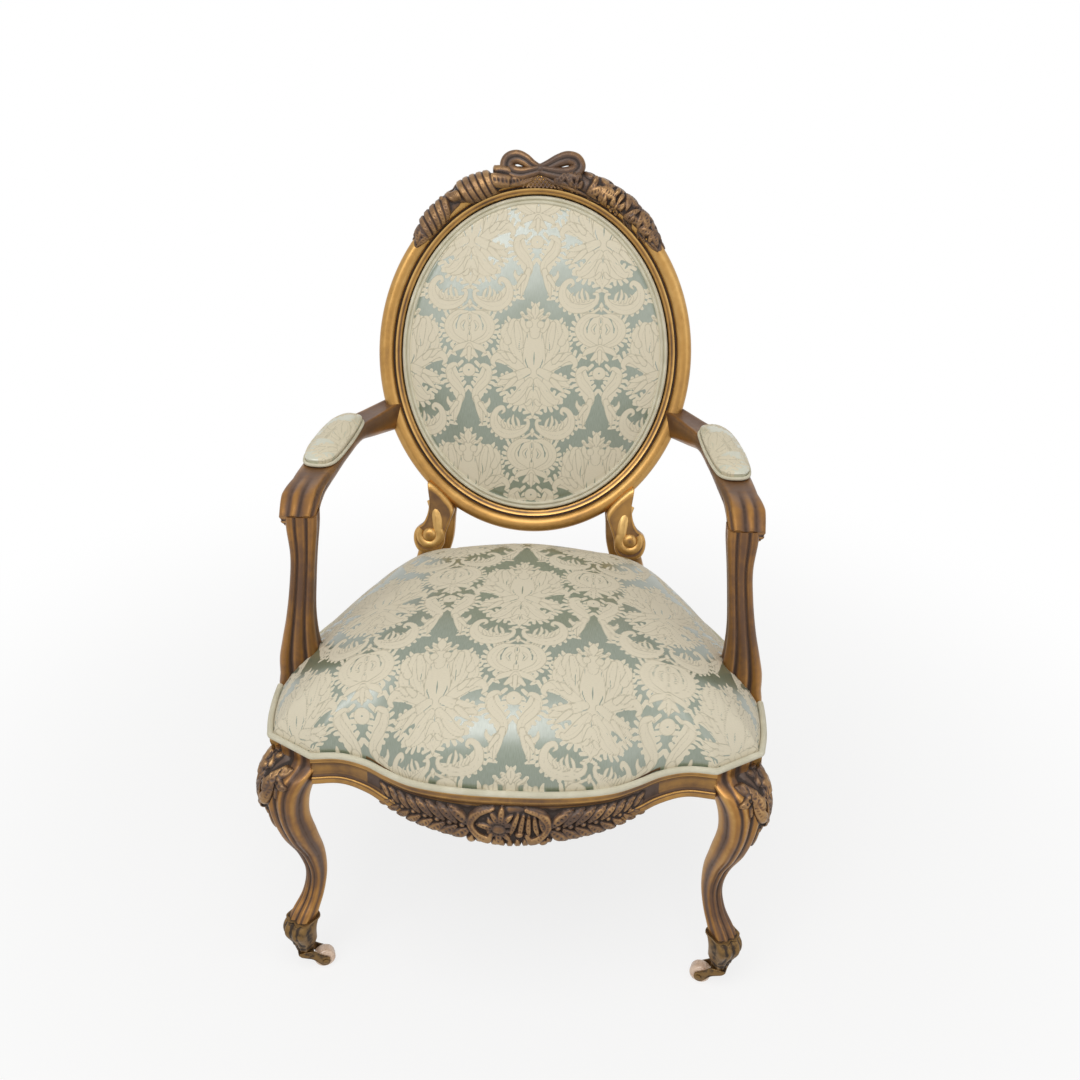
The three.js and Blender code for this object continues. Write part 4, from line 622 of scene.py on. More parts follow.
class Signal:
    """One output of a shader node, on which sums are written as Python expressions."""

    def __init__(self, bench: "Bench", socket: bpy.types.NodeSocket) -> None:
        self.bench = bench
        self.socket = socket

    def _math(self, operation: str, *values: "Signal | float") -> "Signal":
        """A Math node on these values."""
        return self.bench.node("ShaderNodeMath", {"operation": operation}, dict(enumerate(values)))

    def __add__(self, other: "Signal | float") -> "Signal":
        """Sum."""
        return self._math("ADD", self, other)

    __radd__ = __add__

    def __sub__(self, other: "Signal | float") -> "Signal":
        """Difference."""
        return self._math("SUBTRACT", self, other)

    def __rsub__(self, other: float) -> "Signal":
        """Difference, from a number."""
        return self._math("SUBTRACT", other, self)

    def __mul__(self, other: "Signal | float") -> "Signal":
        """Product."""
        return self._math("MULTIPLY", self, other)

    __rmul__ = __mul__

    def above(self, low: float, high: float) -> "Signal":
        """0 below low, 1 above high, and a smooth step between them."""
        return self.bench.node("ShaderNodeMapRange", {"interpolation_type": "SMOOTHSTEP"},
                               {"Value": self, "From Min": low, "From Max": high})

    def held(self) -> "Signal":
        """The value kept between 0 and 1."""
        return self.bench.node("ShaderNodeMath", {"operation": "ADD", "use_clamp": True}, {0: self, 1: 0.0})


class Bench:
    """The bench on which one material's nodes are laid out."""

    def __init__(self, name: str, sky: bool = False) -> None:
        self.material = bpy.data.worlds.new(name) if sky else bpy.data.materials.new(name)
        self.material.use_nodes = True
        self.tree = self.material.node_tree
        self.tree.nodes.clear()
        self.output = self.tree.nodes.new("ShaderNodeOutputWorld" if sky else "ShaderNodeOutputMaterial")

    def node(self, kind: str, settings: dict | None = None, inputs: dict | None = None,
             output: int | str = 0) -> Signal:
        """Adds a node.

        Args:
            kind: The node's type.
            settings: Its own settings; stops gives a ramp's places and colours.
            inputs: The values or signals of its sockets, by name or number.
            output: The output to return.
        Returns:
            That output as a signal.
        """
        made = self.tree.nodes.new(kind)
        for key, value in (settings or {}).items():
            if key == "stops":
                ramp = made.color_ramp.elements
                while len(ramp) < len(value):
                    ramp.new(0.5)
                for stop, (place, colour) in zip(ramp, value):
                    stop.position = place
                    stop.color = (*colour, 1)
            else:
                setattr(made, key, value)
        for key, value in (inputs or {}).items():
            socket = made.inputs[key]
            if isinstance(value, Signal):
                self.tree.links.new(value.socket, socket)
            elif isinstance(value, tuple) and len(value) == 3 and socket.type == "RGBA":
                socket.default_value = (*value, 1)
            else:
                socket.default_value = value
        return Signal(self, made.outputs[output])

    def value(self, name: str) -> Signal:
        """A value that the mesh holds at its points."""
        return self.node("ShaderNodeAttribute", {"attribute_name": name}, output="Fac")

    def place(self, stretch: tuple[float, float, float] = (1, 1, 1)) -> Signal:
        """Object coordinates, stretched along the axes."""
        spot = self.node("ShaderNodeTexCoord", output="Object")
        return self.node("ShaderNodeMapping", None, {"Vector": spot, "Scale": stretch})

    def cloth(self) -> Signal:
        """Coordinates that follow the cloth, in metres along its weft and its warp."""
        return self.node("ShaderNodeCombineXYZ", None, {0: self.value("weft"), 1: self.value("warp")})

    def noise(self, scale: float, detail: float = 3.0, at: Signal | None = None) -> Signal:
        """Cloudy noise about 0.5, with this many clouds to the metre."""
        return self.node("ShaderNodeTexNoise", None,
                         {"Vector": at or self.place(), "Scale": scale, "Detail": detail})

    def mix(self, share: Signal | float, first: Signal | Colour, second: Signal | Colour) -> Signal:
        """The first colour where share is 0 and the second where it is 1."""
        return self.node("ShaderNodeMix", {"data_type": "RGBA"}, {0: share, 6: first, 7: second}, output=2)

    def bump(self, height: Signal, strength: float, distance: float) -> Signal:
        """A normal roughened by a height; distance is in metres."""
        return self.node("ShaderNodeBump", None,
                         {"Height": height, "Strength": strength, "Distance": distance})

    def surface(self, **sockets: Signal | float | Colour) -> bpy.types.Material:
        """Ends the material in a Principled surface; underscores in names stand for spaces."""
        inputs = {key.replace("_", " "): value for key, value in sockets.items()}
        return self.finished(self.node("ShaderNodeBsdfPrincipled", None, inputs))

    def finished(self, shader: Signal) -> bpy.types.Material:
        """Ends the material in a shader."""
        self.tree.links.new(shader.socket, self.output.inputs["Surface"])
        return self.material

    def seen_bare(self) -> Signal:
        """1 where the camera sees the surface, by itself or in a mirror or through glass; else 0."""
        rays = [self.node("ShaderNodeLightPath", output=ray) for ray in
                ("Is Camera Ray", "Is Glossy Ray", "Is Transmission Ray")]
        return (rays[0] + rays[1] + rays[2]).held()


class Finish:
    """What a surface is made of: the record's slot and the material made for it."""

    slot: str

    def mixed(self) -> bpy.types.Material:
        """Lays out the material's nodes."""
        raise NotImplementedError

    @cached_property
    def material(self) -> bpy.types.Material:
        """The material, made once."""
        return self.mixed()


@dataclass(frozen=True)
class Gilding(Finish):
    """Bronze-gold leaf over brown bole on wood, worn to brown in patches, with painted highlights on proud edges
    and painted shade, with some dark patina, in hollows.
    """

    name: str
    slot: str
    # painted shade in hollows, with some dark patina
    patina_and_shade: Colour
    bole: Colour
    gold: Colour
    # painted highlight colour for the proudest edges
    painted_highlight: Colour
    coverage: float  # 0 bare and brown to 1 fully gold
    clouds: float  # patches of wear to the metre

    def mixed(self) -> bpy.types.Material:
        """Gold shows where proudness plus noise passes a level, so ridges take more gold, partly as painted
        highlight; a painted highlight colour rides on the proudest edges, and painted shade fills the hollows.
        """
        bench = Bench(self.name)
        wear = bench.value("wear")
        patches = bench.noise(self.clouds, 5.0)
        fine = bench.noise(self.clouds * 9, 4.0)
        # random patches of worn leaf, with more gold on ridges as partly painted highlight
        level = wear * 0.5 + patches * 1.1 + fine * 0.3 + (self.coverage - 1.1)
        gilded = level.above(0.02, 0.6)
        # painted shade: hollows darken towards the patina-and-shade colour
        deep = (wear * -1.0 + fine * 0.35 - 0.1).above(0.15, 0.85)
        # painted highlight on the proudest edges
        bright = (wear * 0.8 + patches * 0.7 + fine * 0.4 + (self.coverage * 0.6 - 1.2)).above(0.15, 0.95)
        colour = bench.mix(gilded, self.bole, self.gold)
        colour = bench.mix(bright * 0.7, colour, self.painted_highlight)
        colour = bench.mix(deep * 0.8, colour, self.patina_and_shade)
        metal = (gilded * 0.75 - deep * 0.7).held()
        rough = 0.44 - gilded * 0.12 + deep * 0.3 + (fine - 0.5) * 0.22
        grain = bench.noise(70, 4.0, bench.place((1, 1, 0.25)))
        height = fine * 0.6 + grain * 0.4
        return bench.surface(Base_Color=colour, Metallic=metal, Roughness=rough,
                             Normal=bench.bump(height, 0.28, 0.0012))


@dataclass(frozen=True)
class Damask(Finish):
    """Satin-ground damask: the figure is matt and pale, the ground smooth and sage."""

    name: str
    slot: str
    ground: Colour
    figure: Colour
    line: Colour
    ground_roughness: float = 0.36

    def mixed(self) -> bpy.types.Material:
        """The figure shows where the value figure is above half, with lines drawn over it."""
        bench = Bench(self.name)
        cloth = bench.cloth()
        figure = bench.value("figure").above(0.38, 0.62)
        line = bench.value("line").above(0.2, 0.8) * figure
        slub = bench.noise(90, 2.0, bench.node("ShaderNodeMapping", None,
                                               {"Vector": cloth, "Scale": (18, 1.2, 1)}))
        pick = bench.noise(160, 2.0, bench.node("ShaderNodeMapping", None,
                                                {"Vector": cloth, "Scale": (1.5, 9, 1)}))
        tone = (slub - 0.5) * 0.5 + 0.5
        ground = bench.mix(tone, tuple(c * 0.86 for c in self.ground), tuple(c * 1.14 for c in self.ground))
        raised = bench.mix((pick - 0.5) * 0.9 + 0.5, tuple(c * 0.88 for c in self.figure),
                           tuple(min(1, c * 1.1) for c in self.figure))
        colour = bench.mix(line * 0.75, bench.mix(figure, ground, raised), self.line)
        rough = self.ground_roughness + figure * 0.42 + (slub - 0.5) * 0.12
        height = figure * 0.55 - line * 0.3 + slub * 0.1 + pick * figure * 0.25
        return bench.surface(Base_Color=colour, Roughness=rough, Coat_Weight=(1 - figure) * (slub * 0.8 + 0.3),
                             Coat_Roughness=0.36, Coat_IOR=2.8, Sheen_Weight=0.1, Sheen_Roughness=0.4,
                             Specular_IOR_Level=0.6, Normal=bench.bump(height, 0.45, 0.0008))


@dataclass(frozen=True)
class Woven(Finish):
    """Plain woven or matted stuff: two sets of threads with a slubby tone."""

    name: str
    slot: str
    colour: Colour
    shade: Colour
    threads: float  # threads to the metre
    roughness: float = 0.9
    depth: float = 0.0004

    def mixed(self) -> bpy.types.Material:
        """Threads are waves along the cloth's two directions; noise shades them."""
        bench = Bench(self.name)
        cloth = bench.cloth()
        bands = [bench.node("ShaderNodeTexWave", {"bands_direction": way},
                            {"Vector": cloth, "Scale": self.threads / 10, "Distortion": 0.6,
                             "Detail": 1.0}, output="Fac") for way in ("X", "Y")]
        weave = bands[0] * 0.5 + bands[1] * 0.5
        cloud = bench.noise(45, 4.0)
        shade = (weave * 0.45 + cloud * 0.7 - 0.1).above(0.1, 0.75)
        colour = bench.mix(shade, self.shade, self.colour)
        return bench.surface(Base_Color=colour, Roughness=self.roughness + (cloud - 0.5) * 0.1,
                             Sheen_Weight=0.15, Normal=bench.bump(weave, 0.55, self.depth))


@dataclass(frozen=True)
class Metal(Finish):
    """Worn metal: clean on edges and tarnished in patches."""

    name: str
    slot: str
    bright: Colour
    tarnish: Colour
    roughness: float
    metallic: float = 0.9

    def mixed(self) -> bpy.types.Material:
        """Tarnish shows where noise less wear passes a level."""
        bench = Bench(self.name)
        cloud = bench.noise(120, 5.0)
        fine = bench.noise(700, 3.0)
        stain = (cloud + fine * 0.3 - bench.value("wear") * 0.3).above(0.42, 0.8)
        colour = bench.mix(stain, self.bright, self.tarnish)
        return bench.surface(Base_Color=colour, Metallic=self.metallic - stain * 0.4,
                             Roughness=self.roughness + stain * 0.25,
                             Normal=bench.bump(fine, 0.2, 0.0004))


@dataclass(frozen=True)
class Ceramic(Finish):
    """Glazed pottery of a caster wheel, crazed and a little stained by the floor."""

    name: str
    slot: str
    glaze: Colour
    stain: Colour

    def mixed(self) -> bpy.types.Material:
        """Fine cracks are the edges of cells; stains are clouds."""
        bench = Bench(self.name)
        cells = bench.node("ShaderNodeTexVoronoi", {"feature": "DISTANCE_TO_EDGE"},
                           {"Vector": bench.place(), "Scale": 260.0}, output="Distance")
        cloud = bench.noise(90, 4.0)
        crack = 1 - cells.above(0.0, 0.06)
        dirt = (cloud + crack * 0.25).above(0.5, 0.85)
        return bench.surface(Base_Color=bench.mix(dirt, self.glaze, self.stain),
                             Roughness=0.26 + dirt * 0.3, Coat_Weight=0.35,
                             Normal=bench.bump(crack, 0.15, 0.0002))


@dataclass(frozen=True)
class Timber(Finish):
    """Bare beech of the hidden blocks: fine straight grain with darker flecks."""

    name: str
    slot: str
    pale: Colour
    dark: Colour

    def mixed(self) -> bpy.types.Material:
        """Grain is noise stretched along the wood."""
        bench = Bench(self.name)
        grain = bench.noise(30, 6.0, bench.place((1, 1, 9)))
        fleck = bench.noise(260, 2.0, bench.place((1, 1, 6)))
        tone = (grain * 0.8 + fleck * 0.4).above(0.4, 0.8)
        return bench.surface(Base_Color=bench.mix(tone, self.pale, self.dark), Roughness=0.72,
                             Normal=bench.bump(grain, 0.2, 0.0006))


# Each gilding's first colour is painted shade with some dark patina for hollows, and its fourth a painted highlight
# for proud edges.
GILT = Gilding("gilt_frame", "gilt_wood", srgb(42, 26, 16), srgb(90, 60, 34), srgb(178, 134, 72),
               srgb(242, 204, 134), 0.72, 11.0)
# A darker, browner copy of the frame's gilding, used on the legs, arms and supports.
DARKER_GILT = Gilding("darker_gilding", "gilt_wood", srgb(38, 24, 15), srgb(94, 62, 36), srgb(160, 114, 60),
               srgb(226, 184, 114), 0.52, 12.0)
CARVED = Gilding("carved_gilding", "carved_gilt", srgb(24, 16, 11), srgb(80, 58, 44), srgb(138, 102, 66),
                 srgb(230, 194, 138), 0.3, 24.0)
BEECH = Timber("bare_beech", "beech", srgb(190, 154, 108), srgb(150, 112, 72))
SATIN = Damask("sage_damask", "damask", srgb(102, 115, 90), srgb(222, 213, 190), srgb(168, 160, 136))
# A paler copy of the seat's damask for the arm pads: its ground is lifted near the figure's tone as painted sheen
# on their upturned tops.
PAD_SATIN_SHEEN = Damask("pad_damask", "damask", srgb(196, 196, 172), srgb(222, 212, 186), srgb(190, 182, 156), 0.4)
WELT = Woven("piping_cloth", "piping", srgb(240, 235, 216), srgb(204, 198, 174), 900.0)
HAIR = Woven("curled_hair", "stuffing", srgb(84, 66, 50), srgb(38, 28, 22), 260.0, 0.95, 0.002)
HESSIAN = Woven("hessian", "canvas", srgb(186, 160, 116), srgb(128, 104, 70), 420.0)
STRAPPING = Woven("jute_webbing", "webbing", srgb(170, 142, 96), srgb(112, 88, 56), 700.0)
CAMBRIC = Woven("black_cambric", "dust_cloth", srgb(54, 51, 48), srgb(32, 30, 28), 1100.0)
STEEL = Metal("spring_wire", "spring_steel", srgb(140, 134, 124), srgb(86, 70, 56), 0.42)
BRASS = Metal("dark_brass", "caster_brass", srgb(128, 100, 62), srgb(58, 46, 36), 0.4)
WHEEL = Ceramic("wheel_glaze", "wheel_ceramic", srgb(236, 208, 184), srgb(190, 150, 120))


# The woven figure

class Stroke(Enum):
    """What a stroke of the woven figure does."""

    GROUND = "fills without a line"
    LEAF = "fills and is outlined"
    OPENING = "cuts out"
    VEIN = "draws a line"


class DamaskFigure:
    """One repeat of the cloth's figure, drawn with tapered strokes on a grid and read by bilinear
    interpolation. Each stroke is a run of (across, up, half width) from the motif's middle; its
    mirror image is drawn with it, and the motif repeats in half drops."""

    repeat_across = 196.0
    repeat_up = 380.0
    pitch = 0.6
    line_half = 0.55
    gap = 0.8  # how far the figure's edge lies inside its strokes
    leaves: tuple = (
        # motif's body and stem
        ((0, 48, 9), (0, 26, 15), (0, 0, 18), (0, -26, 15), (0, -50, 9)),
        # big upper plumes, each with its outer lobes
        ((24, -4, 9), (33, 18, 13), (36, 38, 11), (31, 54, 7)),
        ((38, 4, 7), (46, 20, 7), (45, 34, 5)),
        ((40, 26, 6), (46, 40, 6), (42, 51, 4)),
        ((22, 20, 6), (24, 38, 7), (27, 53, 5)),
        # crown with its two round flowers
        ((0, 38, 8), (0, 50, 9), (0, 60, 6)),
        ((12, 44, 5), (18, 54, 5), (19, 60, 3)),
        ((8.7, 52, 6.2), (8.8, 52.2, 6.2)),
        # bud and leaflets
        ((0, 62, 3), (0, 72, 6.8), (0, 78, 4), (0, 84, 1)),
        ((4, 63, 2.4), (10, 69, 2.6), (14, 73, 0.8)),
        ((9, 60, 2.4), (16, 64, 2.6), (21, 67, 0.8)),
        # side acanthus, curling over at its tip
        ((18, -14, 7), (32, -4, 9), (46, 4, 8), (57, 3, 6), (62, -5, 4.5), (58, -11, 2.5)),
        ((40, 2, 5), (48, 9, 4), (56, 11, 1.5)),
        ((30, -2, 5), (38, 7, 4), (44, 11, 1.2)),
        # lower side leaves
        ((10, -18, 7), (26, -25, 8), (40, -31, 7), (52, -38, 3.5)),
        ((30, -23, 5), (42, -27, 4.5), (53, -29, 1.5)),
        ((28, -30, 5), (38, -40, 4.5), (47, -48, 1.6)),
        # bottom leaves with their round ends
        ((5, -32, 6), (14, -44, 8), (24, -56, 7), (34, -63, 4.8), (37, -60, 3.4)),
        ((4, -44, 5), (10, -56, 6), (20, -65, 4.5), (30, -68, 2)),
        # pendant
        ((0, -50, 7), (0, -60, 10.5), (0, -67, 12), (0, -75, 6), (0, -87, 0.8)),
        ((4, -62, 4), (9, -67, 3.6), (13, -66, 1.5)),
        # big C scroll
        ((12, -91, 2.6), (7.5, -91, 3.4), (6.5, -98, 3.8), (13, -107, 5), (28, -113, 7), (44, -112, 8),
         (56, -102, 7.6), (59, -89, 6), (54, -77, 5), (46, -73, 4.4), (43, -78, 3), (47, -82, 1.8)),
        ((20, -100, 3), (22, -92, 3), (25, -87, 1.6)),
        ((27, -102, 3), (30, -92, 3.2), (29, -84, 2)),
        ((35, -102, 3), (37, -94, 3), (34, -88, 1.6)),
        ((43, -102, 3), (46, -95, 2.6), (42, -90, 1.4)),
        # knot below the scrolls
        ((0, -104, 2), (0, -110, 4.4), (0, -116, 2)),
        ((3, -112, 2.6), (14, -119, 3), (26, -122, 2.6)),
        # cartouche
        ((4, -122, 2.6), (18, -124, 5), (29, -134, 6.6), (32, -146, 7), (26, -158, 6), (12, -166, 4.4),
         (3, -168, 2)),
        ((0, -128, 3.2), (0, -134, 3.6), (0, -139, 1)),
        ((0, -152, 1), (0, -158, 3.6), (0, -165, 3)),
        ((8, -136, 2.4), (12, -142, 3), (9, -149, 2)),
        ((0, -141, 2.2), (0, -148, 2.2)),
        # bud leaves below it
        ((0, -168, 4), (9, -172, 5), (19, -176, 5), (25, -182, 2)),
        ((0, -172, 5), (6, -182, 5), (12, -188, 3)),
        ((0, -176, 4), (0, -190, 3.4), (0, -196, 1.6)),
        # ring flower
        ((0, -208, 10.5), (0.1, -208, 10.5)),
        # S scrolls beside it, with leaves that hang from their feet
        ((17, -203, 2.2), (21, -200, 3.6), (29, -205, 5.4), (28, -219, 7.4), (18, -231, 7), (10, -242, 5.6),
         (13, -254, 6), (24, -262, 5), (31, -257, 3.6), (32, -250, 2)),
        ((12, -250, 5), (17, -268, 5.4), (20, -280, 3.6), (22, -290, 1)),
        ((18, -258, 4), (26, -270, 3.4), (29, -279, 1)),
    )
    teeth: tuple = (  # runs fringed with small leaf tips: knots, then the side they point to
        (((48, -4), (52, 18), (50, 38), (38, 58)), 1),
        (((18, -110), (34, -117), (50, -113), (62, -100), (63, -84)), -1),
        (((22, -122), (36, -134), (38, -148), (30, -162), (16, -170)), 1),
        (((34, -204), (36, -218), (26, -234), (16, -242)), 1),
        (((44, 10), (56, 12), (66, 2)), 1),
        (((40, -26), (54, -34), (50, -44), (38, -56)), 1),
        (((30, -52), (38, -62), (30, -70), (14, -70), (8, -62)), 1),
        (((8, -54), (13, -66), (8, -78), (2, -86)), 1),
        (((8, 62), (8, 72), (3, 80)), 1),
        (((12, 44), (22, 54), (18, 64), (8, 62)), -1),
        (((10, -168), (22, -174), (24, -184)), 1),
        (((14, -200), (10, -208), (14, -222), (4, -238)), -1),
        (((14, -256), (24, -270), (22, -290)), 1),
    )
    bodies: tuple = (  # the filled ground of each ornament, without lines
        ((0, 46, 16), (0, 20, 28), (0, -10, 32), (0, -34, 28), (0, -56, 15)),
        ((14, 42, 15), (30, 32, 14), (30, 8, 17)),
        ((20, -8, 13), (44, 0, 9), (56, 0, 6)),
        ((20, -26, 13), (40, -35, 9)),
        ((10, -46, 13), (27, -58, 9)),
        ((10, -103, 6), (28, -109, 10), (48, -104, 12), (57, -88, 7)),
        ((22, -126, 7), (29, -144, 9), (20, -160, 7)),
        ((0, -130, 10), (0, -144, 20), (0, -158, 12)),
        ((0, -170, 9), (0, -186, 8)),
        ((0, -64, 12), (0, -76, 6)), ((0, 64, 6), (0, 74, 5)),
        ((26, -208, 8), (20, -228, 10), (14, -246, 8)), ((16, -258, 6), (22, -276, 5)),
    )
    openings: tuple = (
        ((0, -63, 0.6), (0, -66, 1.0), (0, -70, 0.5)),
        ((22, 6, 0.5), (23, 20, 1.0), (21, 34, 0.4)),
        ((0, -208, 1.6), (0.1, -208, 1.6)),
        ((0, -8, 0.6), (0, 2, 1.4), (0, 12, 0.5)), ((9, -12, 1.0), (13, -2, 1.1), (12, 8, 0.3)),
        ((6, -22, 1.0), (14, -27, 0.9), (22, -28, 0.2)), ((34, -10, 0.3), (40, -9, 1.0), (50, -10, 0.3)),
        ((33, 6, 0.3), (38, 14, 0.9), (38, 26, 0.3)), ((10, 26, 0.3), (11, 34, 0.9), (9, 42, 0.3)),
        ((16, -42, 0.3), (20, -46, 0.9), (28, -50, 0.3)), ((0, -36, 0.6), (0, -42, 1.1), (0, -48, 0.4)),
        ((0, -127, 0.8), (0, -133, 1.2)), ((7, -136, 0.6), (10, -143, 1.1), (7, -150, 0.6)),
        ((0, -142, 1.2), (0.1, -142, 1.2)), ((0, -150, 0.8), (0, -156, 1.1)),
        ((16, -132, 0.4), (21, -141, 1.0), (20, -152, 0.4)),
    )
    veins: tuple = (
        ((26, 2), (33, 20), (35, 38), (31, 52)),
        ((26, -8), (42, 0), (54, 0)),
        ((16, -22), (34, -30), (46, -36)),
        ((10, -40), (22, -56), (32, -62)),
        ((14, -106), (30, -113), (46, -111), (57, -100), (58, -86)),
        ((14, -123), (27, -132), (32, -146), (24, -159), (10, -166)),
        ((26, -206), (26, -220), (14, -234), (10, -246)),
        ((0, -198), (7, -201), (10, -208), (7, -215), (0, -218)),
        ((0, 66), (0, 78)),
        ((40, 6), (47, 20), (45, 34), (41, 48)),
        ((20, 22), (22, 38), (26, 52)),
        ((4, 40), (12, 46), (14, 56)),
        ((4, -30), (10, -44), (12, -60)),
        ((20, -18), (34, -20), (48, -26)),
        ((24, -30), (34, -42), (44, -50)),
        ((0, -54), (3, -66), (0, -78)),
        ((30, 8), (42, 10), (52, 8)),
        ((22, -96), (34, -106), (48, -104)),
        ((0, -172), (8, -178), (18, -180)),
        ((22, -204), (33, -212), (30, -226), (20, -238)),
        ((14, -256), (18, -270), (20, -284)),
    )

    def fringe(self, knots: Sequence, side: float) -> list[Array]:
        """Small pointed tips set every few millimetres along a run, leaning forwards."""
        run = spline(knots, 12)
        length = np.linalg.norm(np.diff(run, axis=0), axis=1).sum()
        feet = resampled(run, max(3, round(length / 6.6)))
        way = directions(feet)
        off = side * np.stack([way[:, 1], -way[:, 0]], 1)
        inner, middle, tips = feet - 5.0 * off - 2.0 * way, feet + 1.0 * off, feet + 4.4 * off + 2.2 * way
        return [np.array([[*a, 3.4], [*b, 3.5], [*c, 2.1]]) for a, b, c in zip(inner, middle, tips)]

    @cached_property
    def strokes(self) -> list[tuple["Stroke", Array]]:
        """Every stroke in the order of drawing."""
        tips = [tip for knots, side in self.teeth for tip in self.fringe(knots, side)]
        veins = [np.pad(spline(knots, 6), ((0, 0), (0, 1)), constant_values=0.3) for knots in self.veins]
        return ([(Stroke.GROUND, spline(body, 4)) for body in self.bodies]
                + [(Stroke.GROUND, tip) for tip in tips]
                + [(Stroke.LEAF, spline(leaf, 4)) for leaf in self.leaves]
                + [(Stroke.OPENING, np.array(run)) for run in self.openings]
                + [(Stroke.VEIN, vein) for vein in veins])

    @cached_property
    def tile(self) -> tuple[Array, Array]:
        """The figure and its lines on one quarter of the repeat, 0 to 1."""
        half = self.repeat_across / 2
        across = np.arange(int(half / self.pitch) + 2) * self.pitch
        upward = np.arange(int(self.repeat_up / self.pitch) + 2) * self.pitch - self.repeat_up / 2
        figure, line = (np.full((len(upward), len(across)), 9.0) for _ in range(2))
        for cx, cy in ((0, 0), (0, self.repeat_up), (half, self.repeat_up / 2), (half, -self.repeat_up / 2)):
            near, up = np.abs(across - cx), upward - cy
            for stroke, run in self.strokes:
                margin = run[:, 2].max() + 2
                rows = np.flatnonzero((up > run[:, 1].min() - margin) & (up < run[:, 1].max() + margin))
                columns = np.flatnonzero((near > run[:, 0].min() - margin) & (near < run[:, 0].max() + margin))
                if not len(rows) or not len(columns):
                    continue
                spot = np.ix_(rows, columns)
                away = from_run(*np.meshgrid(near[columns], up[rows]), run)
                if stroke is Stroke.VEIN:
                    line[spot] = np.minimum(line[spot], away)
                elif stroke is Stroke.OPENING:
                    figure[spot] = np.maximum(figure[spot], -away - self.gap - 0.3)
                else:
                    figure[spot] = np.minimum(figure[spot], away)
                if stroke is Stroke.LEAF:
                    kept = np.where(away < -self.gap, 9.0, line[spot])
                    line[spot] = np.minimum(kept, np.abs(away + self.gap) - self.line_half)
        soft = 1.3
        return (0.5 - (figure + self.gap) / soft).clip(0, 1), (0.5 - line / soft).clip(0, 1)

    def read(self, across: Array, up: Array) -> dict[str, Array]:
        """The figure's values at places on the cloth, in millimetres from a motif's middle."""
        x = np.abs(across - self.repeat_across * np.round(across / self.repeat_across))
        y = up - self.repeat_up * np.floor(up / self.repeat_up + 0.5) + self.repeat_up / 2
        column, row = x / self.pitch, y / self.pitch
        left, low = column.astype(int), row.astype(int)
        fx, fy = column - left, row - low

        def between(tile: Array) -> Array:
            """The tile's value between its four nearest grid points."""
            bottom = tile[low, left] * (1 - fx) + tile[low, left + 1] * fx
            top = tile[low + 1, left] * (1 - fx) + tile[low + 1, left + 1] * fx
            return bottom * (1 - fy) + top * fy

        figure, line = self.tile
        return {"figure": between(figure), "line": between(line),
                "weft": across * METRE, "warp": up * METRE}


FIGURE = DamaskFigure()


# The seat's outline, shared by the rails, the legs, the upholstery and the underside

@dataclass
class SeatPlan:
    """The seat's outline from above, and rings drawn in from it."""

    layout: Layout = LAYOUT
    front_shares: tuple = ((0, -0.131), (0.146, -0.128), (0.275, -0.117), (0.388, -0.096),
                           (0.484, -0.058), (0.561, -0.022), (0.663, 0.002), (0.773, -0.004))
    corner_share: tuple = (0.964, 0.087)
    side_shares: tuple = ((0.972, 0.175), (1, 0.317), (0.972, 0.437), (0.852, 0.568), (0.672, 0.699),
                          (0.454, 0.819), (0.225, 0.917), (0, 0.983))
    rear_shares: tuple = ((1, 0.983), (0.52, 0.998), (0, 1))

    @cached_property
    def front_run(self) -> Array:
        """The front from its middle to the cusp beside the right leg."""
        return spline(np.array(self.front_shares) * [self.layout.seat_half_width, self.layout.seat_depth], 16)

    @cached_property
    def cusp(self) -> Array:
        """Where the front rail meets the right leg's face."""
        return self.front_run[-1]

    @cached_property
    def corner(self) -> Array:
        """Where the side rail meets the right leg's face."""
        return np.array(self.corner_share) * [self.layout.seat_half_width, self.layout.seat_depth]

    @cached_property
    def side_run(self) -> Array:
        """The side from the corner to the rear leg."""
        shares = np.array(self.side_shares)
        rear, wide = self.layout.seat_rear_half_width, self.layout.seat_half_width
        knots = np.stack([rear + (wide - rear) * shares[:, 0], self.layout.seat_depth * shares[:, 1]], 1)
        return spline(np.vstack([self.corner, knots]), 12)

    @cached_property
    def rear_run(self) -> Array:
        """The rear from the rear leg to its middle."""
        size = [self.layout.seat_rear_half_width, self.layout.seat_depth]
        return spline(np.array(self.rear_shares) * size, 12)

    @cached_property
    def outline(self) -> Array:
        """The whole outline, anticlockwise from the middle of the front, evenly spaced."""
        half = np.vstack([self.front_run, np.linspace(self.cusp, self.corner, 20)[1:],
                          self.side_run[1:], self.rear_run[1:]])
        whole = np.vstack([half, half[-2:0:-1] * [-1, 1]])
        return resampled(whole, 960, closed=True)

    def inset(self, amount: float, smooth: int = 2) -> Array:
        """The outline moved inwards by an amount, with its corners eased by a running mean."""
        edge = blurred(self.outline, smooth, 0, True)
        way = directions(edge, closed=True)
        inward = np.stack([-way[:, 1], way[:, 0]], 1)
        return edge + blurred(inward, 4, 0, True) * amount

    @cached_property
    def face_along(self) -> Array:
        """The direction along the right front leg's face."""
        return np.append(unit(self.corner - self.cusp), 0)

    @cached_property
    def face_out(self) -> Array:
        """The direction out of the right front leg's face."""
        return np.array([self.face_along[1], -self.face_along[0], 0])

    @cached_property
    def face_middle(self) -> Array:
        """The middle of the right front leg's face."""
        return np.append((self.corner + self.cusp) / 2, 0)


PLAN = SeatPlan()


def walls(run: Array, behind: Array, heights: Array) -> Array:
    """A section carried along a run seen from above: at each point of the run the section's points
    stand behind it along the inward normal, at their own heights.

    Args:
        run: Points seen from above.
        behind: Distances behind the run, one or a row a point.
        heights: Heights, a row for each point.
    Returns:
        A grid of points, run by section.
    """
    way = directions(run)
    inward = np.stack([-way[:, 1], way[:, 0]], 1)
    flat = run[:, None] + inward[:, None] * np.broadcast_to(behind, heights.shape)[..., None]
    return np.concatenate([flat, heights[..., None]], -1)


